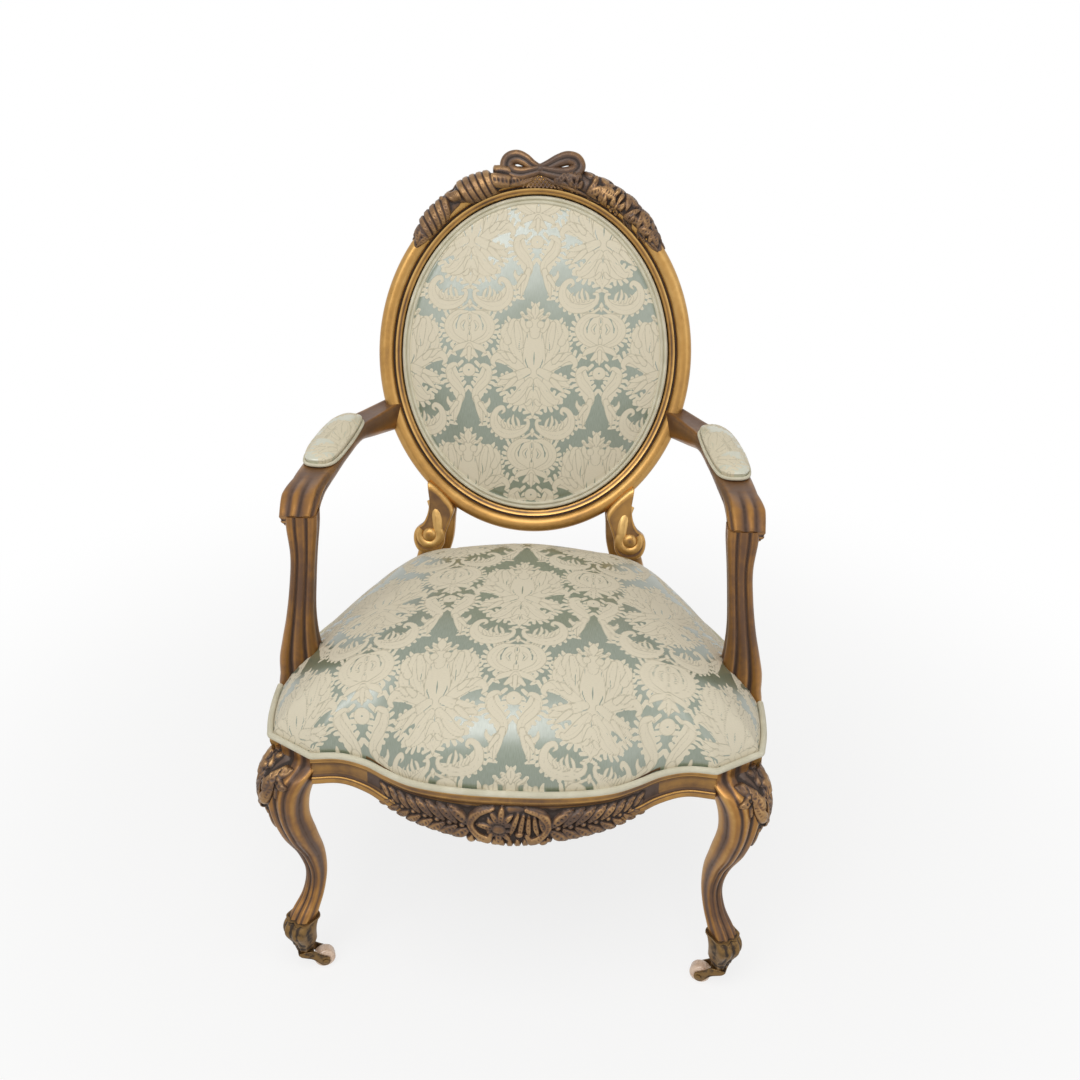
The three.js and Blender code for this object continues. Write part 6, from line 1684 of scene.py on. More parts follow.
@dataclass
class Arms:
    """Curved arms with their padded tops, on fluted scrolled supports."""

    layout: Layout = LAYOUT
    half_width: float = 21.0
    half_height: float = 15.0
    spread: float = 288.0
    top: float = 664.0
    front_share: float = 0.345
    root_drop: float = 95.0
    root_spread: float = 9.0
    root_depth: float = 14.0
    support_half_width: float = 18.0
    support_half_depth: float = 17.0
    support_foot_x: float = 303.0
    pad_crown: float = 21.0
    pad_span: tuple = (0.26, 0.6)
    pad_foot_share: float = 0.94
    pad_piping: float = 2.4
    rows: tuple = ((0, 0, 0, 0, 0.8, 1.5), (0.373, 0.177, 0.517, 0, 0.92, 1.15),
                   (0.654, 0.314, 0.897, 0, 1.08, 0.84), (0.812, 0.511, 1, 0, 1.14, 0.76),
                   (0.908, 0.698, 1, 0, 1.14, 0.78), (0.954, 0.828, 1, 0, 1.08, 0.95),
                   (0.992, 0.927, 1, 0.31, 1.2, 1.2), (1, 1, 1, 1.33, 1.08, 1.2))
    section: tuple = ((-1, 0.3), (-0.96, 0.8), (-0.82, 1.02), (-0.4, 1.0), (0, 0.98), (0.4, 1.0),
                      (0.82, 1.02), (0.96, 0.8), (1, 0.3), (0.85, -0.6), (0.4, -1), (-0.4, -1),
                      (-0.85, -0.6))
    support_rows: tuple = ((-0.155, 0.8, 0.38, 0.55, 0.8), (-0.055, 0.8, 0.38, 0.55, 0.8),
                           (-0.026, 0, 0.38, 1.58, 1.3), (0.082, 0, 0.38, 1.58, 1.3),
                           (0.171, 0.04, 0.375, 1.52, 1.2), (0.281, 0.2, 0.365, 1.28, 1.05),
                           (0.425, 0.52, 0.356, 1.02, 0.95), (0.6, 0.94, 0.352, 0.9, 0.9),
                           (0.77, 1.27, 0.352, 0.9, 0.92), (0.914, 1.33, 0.358, 1.1, 1),
                           (0.971, 1.33, 0.364, 1.12, 1))
    support_section: tuple = ((-1, 0.7), (-1, 0), (-0.98, -0.68), (-0.8, -0.96), (-0.58, -0.99),
                              (-0.38, -0.86), (-0.18, -0.99), (0, -1.02), (0.18, -0.99), (0.38, -0.86),
                              (0.58, -0.99), (0.8, -0.96), (0.98, -0.68), (1, 0), (1, 0.7),
                              (0.75, 1), (0, 1.02), (-0.75, 1))

    @cached_property
    def path(self) -> Array:
        """The arm's middle line, densely, with its half width and half height: columns 3 and 4."""
        layout = self.layout
        angle = -math.asin(self.root_drop / (layout.oval_half_height + layout.oval_face / 2))
        root = layout.round_oval(angle, layout.oval_face / 2, -self.root_depth) + [self.root_spread, 0, 0]
        end = np.array([self.spread, self.front_share * layout.seat_depth, self.top])
        rows = np.array(self.rows)
        places = root + (end - root) * rows[:, :3]
        places[:, 2] -= rows[:, 3] * self.half_height
        line = spline(places, 16)
        knots = np.arange(len(rows))
        station = np.linspace(0, len(rows) - 1, len(line))
        sizes = [np.interp(station, knots, rows[:, k]) for k in (4, 5)]
        return np.column_stack([line, sizes[0] * self.half_width, sizes[1] * self.half_height])

    def framed(self, share: Array) -> tuple[Array, ...]:
        """The arm's middle, sideways, upwards, half width and half height at shares of its length."""
        at = np.clip(share, 0, 1) * (len(self.path) - 1)
        index = np.arange(len(self.path))
        way = directions(self.path[:, :3])
        middle = np.stack([np.interp(at, index, c) for c in self.path[:, :3].T], -1)
        along = unit(np.stack([np.interp(at, index, c) for c in way.T], -1))
        side = unit(np.cross(along, [0, 0, 1.0]))
        up = np.cross(side, along)
        return middle, side, up, *(np.interp(at, index, self.path[:, k]) for k in (3, 4))

    def arm(self) -> Shell:
        """The arm: its section carried along its path, with flutes that deepen towards the elbow."""
        share = np.linspace(0, 1, 150)
        middle, side, up, width, height = self.framed(share)
        section = rounded_section(self.section)
        turn = np.arctan2(section[:, 1], section[:, 0])
        flutes = 1 - 0.13 * np.clip((share[:, None] - 0.64) / 0.2, 0, 1) * (0.5 + 0.5 * np.cos(9 * turn))
        flutes = flutes * np.ones_like(turn)
        under = np.where(section[:, 1] < 0, 0.45, 0) * np.clip((share[:, None] - 0.84) / 0.12, 0, 1)
        grid = (middle[:, None] + (section[None, :, 0] * width[:, None] * flutes)[..., None] * side[:, None]
                + (section[None, :, 1] * height[:, None] * flutes * (1 - under))[..., None] * up[:, None])
        return Shell().add(grid, closed=True, capped=True)

    def support(self) -> Shell:
        """The support: a fluted section carried up its rows."""
        layout = self.layout
        rows = np.array(self.support_rows)
        height, spread, deep, width, depth = rows.T
        places = np.stack([self.support_foot_x + (self.spread - self.support_foot_x) * spread,
                           deep * layout.seat_depth,
                           layout.rail_top + (self.top - layout.rail_top) * height], 1)
        whole = np.column_stack([places, width * self.support_half_width, depth * self.support_half_depth])
        whole = spline(whole, 10)
        section = rounded_section(self.support_section, 5)
        grid = np.stack([whole[:, None, 0] + section[None, :, 0] * whole[:, None, 3],
                         whole[:, None, 1] + section[None, :, 1] * whole[:, None, 4],
                         np.broadcast_to(whole[:, None, 2], (len(whole), len(section)))], -1)
        return Shell().add(grid, closed=True, capped=True)

    def pad_ring(self, turn: Array, scale: Array, lift: Array, overhang: Array) -> Array:
        """Points of the pad: a blunt oval on the arm's top, scaled and lifted."""
        first, last = self.pad_span
        length = np.linalg.norm(np.diff(self.path[:, :3], axis=0), axis=1).sum()
        half = (last - first) / 2
        along = np.sign(np.cos(turn)) * np.abs(np.cos(turn)) ** 0.75
        across = np.sign(np.sin(turn)) * np.abs(np.sin(turn)) ** 0.7
        share = (first + last) / 2 + half * (scale + overhang / (length * half)) * along
        middle, side, up, width, height = self.framed(share)
        reach = across * (scale * self.pad_foot_share * width + overhang)
        return middle + reach[..., None] * side + (height + lift)[..., None] * up

    def pads(self) -> None:
        """Builds the padded tops and the piping round them."""
        turn = np.linspace(0, 2 * math.pi, 220, endpoint=False)[None, :]
        rise = np.linspace(0, 1, 44)[:, None]
        scale = (1 - rise ** 2.2) ** 0.62
        scale[-1] = 0.004
        base = 1.0 + 3.4 * np.clip(rise * 12, 0, 1)
        lift = base + (self.pad_crown - 4.4) * rise ** 0.62 * np.ones_like(turn)
        overhang = 3.0 * np.sin(math.pi * np.clip(rise * 2.2, 0, 1)) * np.ones_like(turn)
        grid = self.pad_ring(np.broadcast_to(turn, lift.shape), np.broadcast_to(scale, lift.shape), lift,
                             overhang)
        middle = self.framed(np.array([sum(self.pad_span) / 2]))[0][0]
        away = grid - middle
        cloth = FIGURE.read(away[..., 0] * 1.0 + 40, away[..., 1] * 1.0 + 20)
        right = Shell().add(grid, closed=True, capped=True, **cloth)
        piping_turn = np.linspace(0, 2 * math.pi, 260, endpoint=False)
        flat = np.ones_like(piping_turn)
        run = self.pad_ring(piping_turn, flat, (self.pad_piping + 1.0) * flat, 3.1 * flat)
        cord = Shell().add(tube(run, self.pad_piping, 14, closed=True), closed=True, looped=True,
                           inside=None)
        for side, shell, welt in (("right", right, cord), ("left", right.mirrored(), cord.mirrored())):
            pad = shell.build(f"{side}_arm_cushion", PAD_SATIN_SHEEN, replaces=[f"{side}_arm_pad"])
            welt.build(f"{side}_arm_welt", WELT, replaces=[f"{side}_arm_pad_piping"])

    def build(self) -> None:
        """Builds the arms, the supports and the pads."""
        arm, support = self.arm(), self.support()
        arm.build("right_carved_arm", DARKER_GILT, replaces=["right_arm"])
        arm.mirrored().build("left_carved_arm", DARKER_GILT, replaces=["left_arm"])
        support.build("right_fluted_support", DARKER_GILT, replaces=["right_arm_support"])
        support.mirrored().build("left_fluted_support", DARKER_GILT, replaces=["left_arm_support"])
        self.pads()


@dataclass(frozen=True)
class Inflation:
    """A short cloth simulation in which a cover fills out over its stuffing, held at its edge."""

    pressure: float = 4.0
    steps: int = 20
    limit: float = 6.0
    cells: int = 60

    def moved(self, top: Array, bed: Array) -> Array:
        """Args:
            top: The cover's points, rows by columns by 3, in millimetres.
            bed: Points under them that don't move; its border is the cover's border.
        Returns:
            The moves in millimetres, none longer than the limit.
        """
        rows, columns = top.shape[:2]
        count = rows * columns
        border = np.ones((rows, columns), bool)
        border[1:-1, 1:-1] = False
        under = np.where(border, 0, count) + np.arange(count).reshape(rows, columns)
        quads = grid_faces(rows, columns, False, False)
        faces = np.vstack([quads, under.reshape(-1)[quads][:, ::-1]])
        points = np.concatenate([top.reshape(-1, 3), bed.reshape(-1, 3)]) * METRE
        a, b, c, d = (points[faces[:, k]] - points.mean(0) for k in range(4))
        if (np.cross(c - a, d - b) * (a + b + c + d)).sum() < 0:
            faces = faces[:, ::-1]
        mesh = bpy.data.meshes.new("filling_cover")
        mesh.from_pydata(points.tolist(), [], faces.tolist())
        piece = bpy.data.objects.new("filling_cover", mesh)
        scene = bpy.context.scene
        scene.collection.objects.link(piece)
        held = piece.vertex_groups.new(name="held")
        held.add([int(i) for i in np.flatnonzero(border)] + list(range(count, 2 * count)), 1.0, "REPLACE")
        cloth = piece.modifiers.new("fill", "CLOTH")
        cloth.settings.quality = 6
        cloth.settings.mass = 0.3
        cloth.settings.tension_stiffness = 20
        cloth.settings.compression_stiffness = 20
        cloth.settings.shear_stiffness = 8
        cloth.settings.bending_stiffness = 1.5
        cloth.settings.use_pressure = True
        cloth.settings.uniform_pressure_force = self.pressure
        cloth.settings.effector_weights.gravity = 0
        cloth.settings.vertex_group_mass = "held"
        cloth.collision_settings.use_collision = False
        for step in range(1, self.steps + 1):
            scene.frame_set(step)
        done = piece.evaluated_get(bpy.context.evaluated_depsgraph_get()).data
        after = np.empty(len(done.vertices) * 3, np.float32)
        done.vertices.foreach_get("co", after)
        bpy.data.objects.remove(piece)
        bpy.data.meshes.remove(mesh)
        scene.frame_set(1)
        move = after.reshape(-1, 3)[:count].reshape(top.shape) / METRE - top
        length = np.linalg.norm(move, axis=-1, keepdims=True)
        log.info("cover filled out by up to %.1f mm", float(length.max()))
        return move * np.minimum(1, self.limit / np.maximum(length, 1e-6))

    def spread(self, move: Array, shape: tuple[int, int]) -> Array:
        """The moves of the coarse grid at the points of a finer one, by linear interpolation."""
        for axis, count in enumerate(shape):
            place = np.linspace(0, move.shape[axis] - 1, count)
            low = np.minimum(place.astype(int), move.shape[axis] - 2)
            share = (place - low).reshape([-1 if k == axis else 1 for k in range(3)])
            move = np.take(move, low, axis) * (1 - share) + np.take(move, low + 1, axis) * share
        return blurred(blurred(move, 2, 0, False), 2, 1, False)


@dataclass
class SeatUpholstery:
    """The sprung seat: hessian, hair, the damask cover and the piping round its foot."""

    plan: SeatPlan = field(default_factory=lambda: PLAN)
    foot: float = 387.35
    crown: float = 132.0
    centre_share: float = 0.46
    power: float = 3.0
    shoulders: tuple = (0.45, 0.28, 0.8)  # front, rear and side
    piping: float = 4.2
    edge_rise: float = 5.0
    support_y: float = 174.0
    cells: int = 400
    edge_inset: float = 8.75
    motif_shift: float = -6.0
    filling: float = 6.0  # how much lower the cover starts than it ends
    inflation: Inflation = Inflation(pressure=12.0, limit=7.0)

    def dome(self, out: Array, around: Array, inset: float, base: float, crown: float) -> Array:
        """A domed surface over the outline. A point's height is crown times one less the cube of
        its share of the way out, raised to a shoulder power that varies with its direction; inner
        rings follow a softened outline.

        Args:
            out: Share of the way from the crown to the edge.
            around: Share of the way round the outline.
            inset: The edge's distance inside the outline.
            base: Height of the edge.
            crown: Height of the crown over it.
        Returns:
            A point for each pair.
        """
        edge = self.plan.inset(inset)
        levels = 12
        softened = np.stack([blurred(edge, 7 * k, 0, True) for k in range(levels)])
        softness = (1 - out) * (levels - 1)
        place = around * len(edge)
        low, first = np.minimum(softness.astype(int), levels - 2), place.astype(int) % len(edge)
        fs, fa = (softness - low)[..., None], (place - place.astype(int))[..., None]
        second = (first + 1) % len(edge)
        rim = ((softened[low, first] * (1 - fa) + softened[low, second] * fa) * (1 - fs)
               + (softened[low + 1, first] * (1 - fa) + softened[low + 1, second] * fa) * fs)
        centre = np.array([0, self.plan.layout.seat_depth * self.centre_share])
        away = rim - centre
        lengthwise = unit(away)[..., 1]
        front, rear, side = self.shoulders
        forward = 0.5 - 0.5 * np.tanh(lengthwise * 6)
        shoulder = side + (rear + (front - rear) * forward - side) * lengthwise ** 2
        rise = crown * (1 - out ** self.power).clip(0, 1) ** shoulder
        flat = centre + away * out[..., None]
        return np.concatenate([flat, (base + rise)[..., None]], -1)

    def laid(self) -> tuple[Array, Array]:
        """How the cloth lies: along lines from the crown, each step across or back counts for its
        length on the slope in that direction. Returns the share of the way that each of 400 steps
        has come, and the cloth's places by step and by 96 directions."""
        radial, turns = np.linspace(0, 1, 400), np.arange(97) / 96
        base = self.foot + self.edge_rise
        out, around = np.meshgrid(radial, turns % 1, indexing="ij")
        sample = self.dome(out, around, self.edge_inset, base, self.crown - self.edge_rise)
        steps = np.linalg.norm(np.diff(sample, axis=0), axis=-1).mean(1)
        reach = np.concatenate([[0], np.cumsum(steps)])
        normal = np.cross(np.gradient(sample, axis=0), np.gradient(sample, axis=1))[1:]
        slope = normal[..., :2] / np.maximum(np.abs(normal[..., 2:]), 1e-6)
        moves = np.diff(sample[..., :2], axis=0) * np.sqrt(1 + slope.clip(-6, 6) ** 2)
        return reach / reach[-1], np.concatenate([np.zeros((1, 97, 2)), np.cumsum(moves, 0)])

    def swept(self, cells: int, share: Array) -> tuple[Array, ...]:
        """The cover's dome on a square grid with even steps along the cloth, with each point's share
        of the way out and round."""
        ring, around = disc_square(cells)
        out = np.interp(ring / 0.985, share, np.linspace(0, 1, len(share)))
        grid = self.dome(out, around, self.edge_inset, self.foot + self.edge_rise,
                         self.crown - self.edge_rise - self.filling)
        return grid, ring, out, around

    def cover(self) -> Shell:
        """The damask cover: a dome filled out by simulation, puckered above its lower edge."""
        share, places = self.laid()
        coarse = self.swept(self.inflation.cells, share)[0]
        bed = np.concatenate([coarse[..., :2], np.full_like(coarse[..., :1], self.foot + self.edge_rise)], -1)
        move = self.inflation.moved(coarse, bed)
        grid, ring, out, around = self.swept(self.cells, share)
        grid += self.inflation.spread(move, ring.shape)
        grid[..., 2] -= (ring > 0.99) * self.edge_rise
        pull = np.exp(-((ring - 0.985) / 0.05) ** 2) * (ring < 0.98)
        puckers = np.sin(around * 2 * math.pi * 64 + 2 * np.sin(around * 40)) * 0.3
        grid[..., 2] += 1.3 * waves(grid, 210, 0.4) * (1 - ring ** 4) + puckers * pull
        row, column = out * (len(places) - 1), around * 96
        i, j = np.minimum(row.astype(int), len(places) - 2), np.minimum(column.astype(int), 95)
        fi, fj = (row - i)[..., None], (column - j)[..., None]
        cloth = ((places[i, j] * (1 - fj) + places[i, j + 1] * fj) * (1 - fi)
                 + (places[i + 1, j] * (1 - fj) + places[i + 1, j + 1] * fj) * fi)
        figure = FIGURE.read(cloth[..., 0], cloth[..., 1] + self.motif_shift)
        return Shell().add(grid, inside=np.array([0, 200.0, 380.0]), **figure)

    def build(self) -> None:
        """Builds the seat from its hessian to its piping."""
        cover = self.cover().build("seat_damask_cover", SATIN, replaces=["seat_cover"], crease=80)
        ring, around = disc_square(90)
        hair = self.dome(ring, around, 14.0, self.foot + self.edge_rise, 108.0)
        cloth = {"weft": hair[..., 0] * METRE, "warp": hair[..., 1] * METRE}
        under = hair.copy()
        under[..., 2] = self.foot
        bed = self.dome(ring, around, 34.0, self.foot + 2.4, 74.0)
        stuffing = Shell().add(hair, inside=[0, 200.0, 380.0], **cloth)
        stuffing.add(bed, inside=[0, 200.0, 900.0], **cloth)
        rim = np.stack([hair[self.border(ring)], bed[self.border(ring)]])
        pad = stuffing.build("seat_hair_stuffing", HAIR, replaces=["seat_stuffing"])
        hessian = self.dome(ring, around, 22.0, self.foot, 73.6)
        sheet = Shell().add(hessian, inside=[0, 200.0, 300.0], weft=hessian[..., 0] * METRE,
                            warp=hessian[..., 1] * METRE)
        canvas = sheet.build("spring_hessian", HESSIAN, replaces=["spring_canvas"])
        self.pipings()

    @staticmethod
    def border(ring: Array) -> Array:
        """Which points of a square grid lie on its border."""
        return ring > 1 - 1e-9

    def pipings(self) -> None:
        """Builds the four runs of piping between the arm supports and the rear legs."""
        run = self.plan.inset(self.piping)
        whole = np.column_stack([run, np.full(len(run), self.foot + self.piping)])
        count = len(whole)
        x, y = run.T
        turned = np.roll(np.arange(count), count // 2)
        front = turned[(y[turned] < self.support_y - 22)]
        right = np.flatnonzero((x > 0) & (y > self.support_y + 22) & (y < 441))
        rear = np.flatnonzero((np.abs(x) < 141) & (y > 300))
        for name, index in (("front", front), ("rear", rear), ("right", right)):
            path = whole[index]
            cord = Shell().add(tube(path, self.piping, 16), closed=True, capped=True)
            cord.build(f"{name}_seat_welt", WELT, replaces=[f"{name}_seat_piping"])
            if name == "right":
                cord.mirrored().build("left_seat_welt", WELT, replaces=["left_seat_piping"])


@dataclass
class BackUpholstery:
    """The padded oval of the back, its double piping, and the panel on the outside."""

    layout: Layout = LAYOUT
    crown: float = 30.0
    power: float = 2.4
    shoulder: float = 0.75
    edge_radial: float = -1.75
    inflation: Inflation = Inflation(limit=5.0)

    def disc(self, cells: int) -> tuple[Array, Array]:
        """A disc grid as share of the way out and angle."""
        ring, around = disc_square(cells)
        return ring, around * 2 * math.pi - math.pi / 2

    def padded(self, cells: int, radial: float, base: float, crown: float) -> tuple[Array, Array, Array]:
        """A low dome over the oval: its height is the crown times one less a power of the share."""
        ring, angle = self.disc(cells)
        edge_x = (self.layout.oval_half_width + radial) * np.cos(angle)
        edge_y = (self.layout.oval_half_height + radial) * np.sin(angle)
        inner = np.minimum(ring / 0.935, 1)
        rise = crown * (1 - inner ** self.power).clip(0, 1) ** self.shoulder
        return ring * edge_x, ring * edge_y, base + rise

    def cover(self) -> Shell:
        """The damask cover, with the figure centred on the back."""
        cells = self.inflation.cells
        coarse = self.layout.on_back(*self.padded(cells, self.edge_radial, 4.4, self.crown - 3))
        bed = self.layout.on_back(*self.padded(cells, self.edge_radial, 4.4, 0.0))
        move = self.inflation.moved(coarse, bed)
        x, y, out = self.padded(330, self.edge_radial, 4.4, self.crown - 3)
        grid = self.layout.on_back(x, y, out + 0.5 * waves(np.stack([x, y, out], -1), 170, 1.0))
        grid = grid + self.inflation.spread(move, x.shape)
        cloth = FIGURE.read(x, y + 4)
        return Shell().add(grid, inside=self.layout.on_back(0, 0, -60), **cloth)

    def double(self, radius: float, middle: float, foot: float, outwards: float) -> Shell:
        """Double piping: two round cords side by side with a groove between them."""
        lobes = np.array([(-1.95, 0), (-1.9, 0.8), (-1.5, 1.6), (-1, 1.85), (-0.5, 1.6), (-0.12, 0.95),
                          (0, 0.7), (0.12, 0.95), (0.5, 1.6), (1, 1.85), (1.5, 1.6), (1.9, 0.8), (1.95, 0)])
        section = rounded_section(lobes, 4) * radius
        angle = np.linspace(0, 2 * math.pi, 360, endpoint=False)[:, None]
        grid = self.layout.round_oval(angle, middle + section[None, :, 0], foot + outwards * section[None, :, 1])
        return Shell().add(grid, closed=True, looped=True, inside=None, reach=2.0)

    def build(self) -> None:
        """Builds the back from its hessian to its piping, and the outside panel."""
        cover = self.cover().build("back_damask_cover", SATIN, replaces=["back_cover"], crease=80)
        x, y, out = self.padded(90, self.edge_radial, 2.1, 23.0)
        hair = Shell().add(self.layout.on_back(x, y, out), inside=self.layout.on_back(0, 0, -60),
                           weft=x * METRE, warp=y * METRE)
        hair.add(self.layout.on_back(x, y, np.full_like(x, -0.9)), inside=self.layout.on_back(0, 0, 60),
                 weft=x * METRE, warp=y * METRE)
        pad = hair.build("back_hair_stuffing", HAIR, replaces=["back_stuffing"])
        sheet = Shell().add(self.layout.on_back(x, y, np.full_like(x, -2.0)),
                            inside=self.layout.on_back(0, 0, 60), weft=x * METRE, warp=y * METRE)
        canvas = sheet.build("back_hessian", HESSIAN, replaces=["back_canvas"])
        self.double(3.0, self.edge_radial - 6.0, 5.0, 1).build(
            "back_double_welt", WELT, replaces=["back_piping"])
        x, y, out = self.padded(200, self.edge_radial, -13.9, -7.0)
        panel = Shell().add(self.layout.on_back(x, y, out), inside=self.layout.on_back(0, 0, 60),
                            **FIGURE.read(x, y + 4))
        outside = panel.build("outside_back_cover", SATIN, replaces=["outside_back_panel"], crease=80)
        self.double(2.2, self.edge_radial - 4.4, -14.4, -1).build(
            "outside_double_welt", WELT, replaces=["outside_back_piping"])


@dataclass
class Underside:
    """Interlaced webbing below the springs, and the dust cloth tacked over it."""

    plan: SeatPlan = field(default_factory=lambda: PLAN)
    reach: float = 23.35
    top: float = 339.65
    thickness: float = 2.4
    width: float = 48.0
    pitch: float = 59.0

    def strap(self, start: Array, end: Array, phase: float) -> Array:
        """A flat strap that rises and falls as it passes over and under the others."""
        count = 80
        share = np.linspace(0, 1, count)[:, None]
        line = start + (end - start) * share
        along = unit(end - start)
        side = np.cross(along, [0, 0, 1.0])
        distance = (line * along).sum(1)
        weave = 0.5 * np.cos(math.pi * distance / self.pitch + phase)
        ring = np.array([(-1, -0.5), (1, -0.5), (1, 0.5), (-1, 0.5)])
        edge = spline(ring, 1, closed=True)
        middle = line + np.outer(weave - self.thickness / 2, [0, 0, 1])
        return (middle[:, None] + (edge[None, :, 0] * self.width / 2)[..., None] * side
                + (edge[None, :, 1] * 1.2)[..., None] * np.array([0, 0, 1.0]))

    def build(self) -> None:
        """Builds the webbing and the dust cloth, and dresses the springs."""
        edge = self.plan.inset(self.reach)
        centre = self.plan.layout.seat_depth * 0.46
        shell = Shell()
        for n in (-2, 0, 2):
            rows = edge[np.abs(edge[:, 0] - n * self.pitch) < 4]
            start = np.array([n * self.pitch, rows[:, 1].min() + 4, self.top])
            end = np.array([n * self.pitch, rows[:, 1].max() - 4, self.top])
            shell.add(self.strap(start, end, 0.0), closed=True, capped=True)
        for n in range(-2, 3):
            y = centre + n * self.pitch
            rows = edge[np.abs(edge[:, 1] - y) < 30]
            half = np.abs(rows[:, 0]).min() - 2
            shell.add(self.strap(np.array([-half, y, self.top]), np.array([half, y, self.top]), math.pi),
                      closed=True, capped=True)
        shell.build("interlaced_webbing", STRAPPING, replaces=["seat_webbing"])
        ring, around = disc_square(120)
        index = around * len(edge)
        first = index.astype(int) % len(edge)
        rim = edge[first] + (edge[(first + 1) % len(edge)] - edge[first]) * (index - index.astype(int))[..., None]
        middle = np.array([0, centre])
        flat = middle + (rim - middle) * ring[..., None]
        sag = -2.2 * (1 - ring ** 2) + 0.5 * waves(np.concatenate([flat, flat[..., :1]], -1), 120, 2.0)
        z = self.top - self.thickness - 0.8 + np.minimum(sag, 0)
        grid = np.concatenate([flat, z[..., None]], -1)
        cloth = {"weft": grid[..., 0] * METRE, "warp": grid[..., 1] * METRE}
        sheet = Shell().add(grid, inside=[0, 200.0, 400.0], **cloth)
        made = sheet.build("dust_cloth", CAMBRIC, replaces=["dust_cover"])
        for name in ("middle", "right_front", "left_front", "right_rear", "left_rear"):
            dress(f"{name}_spring", STEEL)


@dataclass
class Casters:
    """Brass cups on the front feet, with swivelling forks and ceramic barrel wheels."""

    legs: FrontLegs
    wheel_radius: float = 15.0
    wheel_width: float = 19.0
    bore: float = 3.0
    trail: float = 27.0
    cheek: float = 2.6
    play: float = 0.5
    crown_low: float = 33.0
    crown_top: float = 37.4
    pintle: float = 3.2
    cheek_shares: tuple = ((-0.3, 1), (-0.3, 0.9), (0.35, 0.62), (0.72, 0.3), (0.86, 0.2), (1.1, 0.2),
                           (1.24, 0.34), (1.22, 0.52), (1, 0.66), (0.7, 0.82), (0.45, 1))

    @cached_property
    def swivel(self) -> Array:
        """The foot of the swivel's axis."""
        plan = self.legs.plan
        return plan.face_middle + plan.face_out * self.legs.rows[-1][1] * self.legs.reach

    @cached_property
    def along(self) -> Array:
        """The direction in which the wheel trails."""
        return unit([-1, 0.35, 0])

    @cached_property
    def axle(self) -> Array:
        """The axle's direction."""
        return np.array([self.along[1], -self.along[0], 0])

    def at(self, forward: Array | float, over: Array | float, up: Array | float) -> Array:
        """A point along the trail, along the axle and up from the floor."""
        forward, over, up = np.broadcast_arrays(*(np.asarray(v, float) for v in (forward, over, up)))
        return (self.swivel * [1, 1, 0] + forward[..., None] * self.along + over[..., None] * self.axle
                + up[..., None] * np.array([0, 0, 1.0]))

    def cup(self) -> Shell:
        """The cup follows the wooden foot a wall's thickness outside it, and ends in a round stub."""
        stations = self.legs.stations(self.legs.cup_station, None, 6)
        rings = self.legs.rings(stations, 2.55)
        section = rounded_section(self.legs.section)
        stub = []
        for share, z in ((0.62, 52), (0.56, 50), (0.5, 44), (0.44, 38.2), (0.4, 37.8)):
            ring = self.swivel + section[:, :1] * share * self.legs.half * self.legs.plan.face_out
            stub.append(ring + section[:, 1:] * share * self.legs.half * self.legs.plan.face_along
                        + np.array([0, 0, z]))
        bead = self.legs.rings(stations[:1], 3.6)
        lift = np.array([0, 0, 1.5])
        rows = np.concatenate([self.legs.rings(stations[:1], 0.4) + lift, bead + lift, bead - lift,
                               rings[1:], np.array(stub)])
        return Shell().add(rows, closed=True, capped=True)

    def fork(self) -> Shell:
        """Two cheeks, the crown plate over the wheel, and the pintle."""
        shell = Shell()
        half = self.wheel_width / 2 + self.play
        edge = resampled(rounded_section(self.cheek_shares, 6), 90, closed=True)
        edge = edge * [self.trail, self.crown_top]
        middle = edge.mean(0)
        for side in (-1, 1):
            rows = []
            for size, over in ((0.96, 0.0), (1.0, 0.5), (1.0, self.cheek - 0.6), (0.95, self.cheek)):
                ring = middle + (edge - middle) * size
                rows.append(self.at(ring[:, 0], side * (half + over), ring[:, 1]))
            shell.add(np.stack(rows), closed=True, capped=True)
        turn = np.linspace(0, 2 * math.pi, 60, endpoint=False)
        blunt = np.sign([np.cos(turn), np.sin(turn)]) * np.abs([np.cos(turn), np.sin(turn)]) ** 0.35
        forward = 1.1 + 11.1 * blunt[0]
        over = (half + self.cheek) * blunt[1]
        rows = [self.at(1.1 + (forward - 1.1) * s, over * s, z) for s, z in (
            (0.97, self.crown_low), (1, self.crown_low + 0.8), (1, self.crown_top - 0.8), (0.97, self.crown_top))]
        shell.add(np.stack(rows), closed=True, capped=True)
        profile = np.array([[self.pintle, self.crown_low], [self.pintle, self.crown_top + 12]])
        shell.add(lathe(profile, 24, self.swivel, np.array([0, 0, 1.0]), np.array([1.0, 0, 0])),
                  closed=True, capped=True)
        return shell

    def wheel(self) -> Shell:
        """A barrel wheel turned about its bore."""
        half = self.wheel_width / 2
        profile = spline([(self.bore + 0.1, -half + 0.6), (7.5, -half), (10.5, -half + 0.2), (13.2, -half + 1.6),
                          (14.6, -half + 4), (self.wheel_radius, -half + 7), (self.wheel_radius, 0),
                          (self.wheel_radius, half - 7), (14.6, half - 4), (13.2, half - 1.6),
                          (10.5, half - 0.2), (7.5, half), (self.bore + 0.1, half - 0.6)], 5)
        centre = self.at(self.trail, 0, self.wheel_radius)
        return Shell().add(lathe(profile, 56, centre, self.axle, self.along), closed=True, looped=True,
                           inside=None)

    def pin(self) -> Shell:
        """The axle pin with a domed rivet head at each end."""
        half = self.wheel_width / 2 + self.play + self.cheek + 0.35
        profile = np.array([(0.1, -half - 1.6), (2.4, -half - 1.3), (4, -half - 0.5), (4, -half), (2.5, -half),
                            (2.5, half), (4, half), (4, half + 0.5), (2.4, half + 1.3), (0.1, half + 1.6)])
        centre = self.at(self.trail, 0, self.wheel_radius)
        return Shell().add(lathe(profile, 28, centre, self.axle, self.along), closed=True, capped=True)

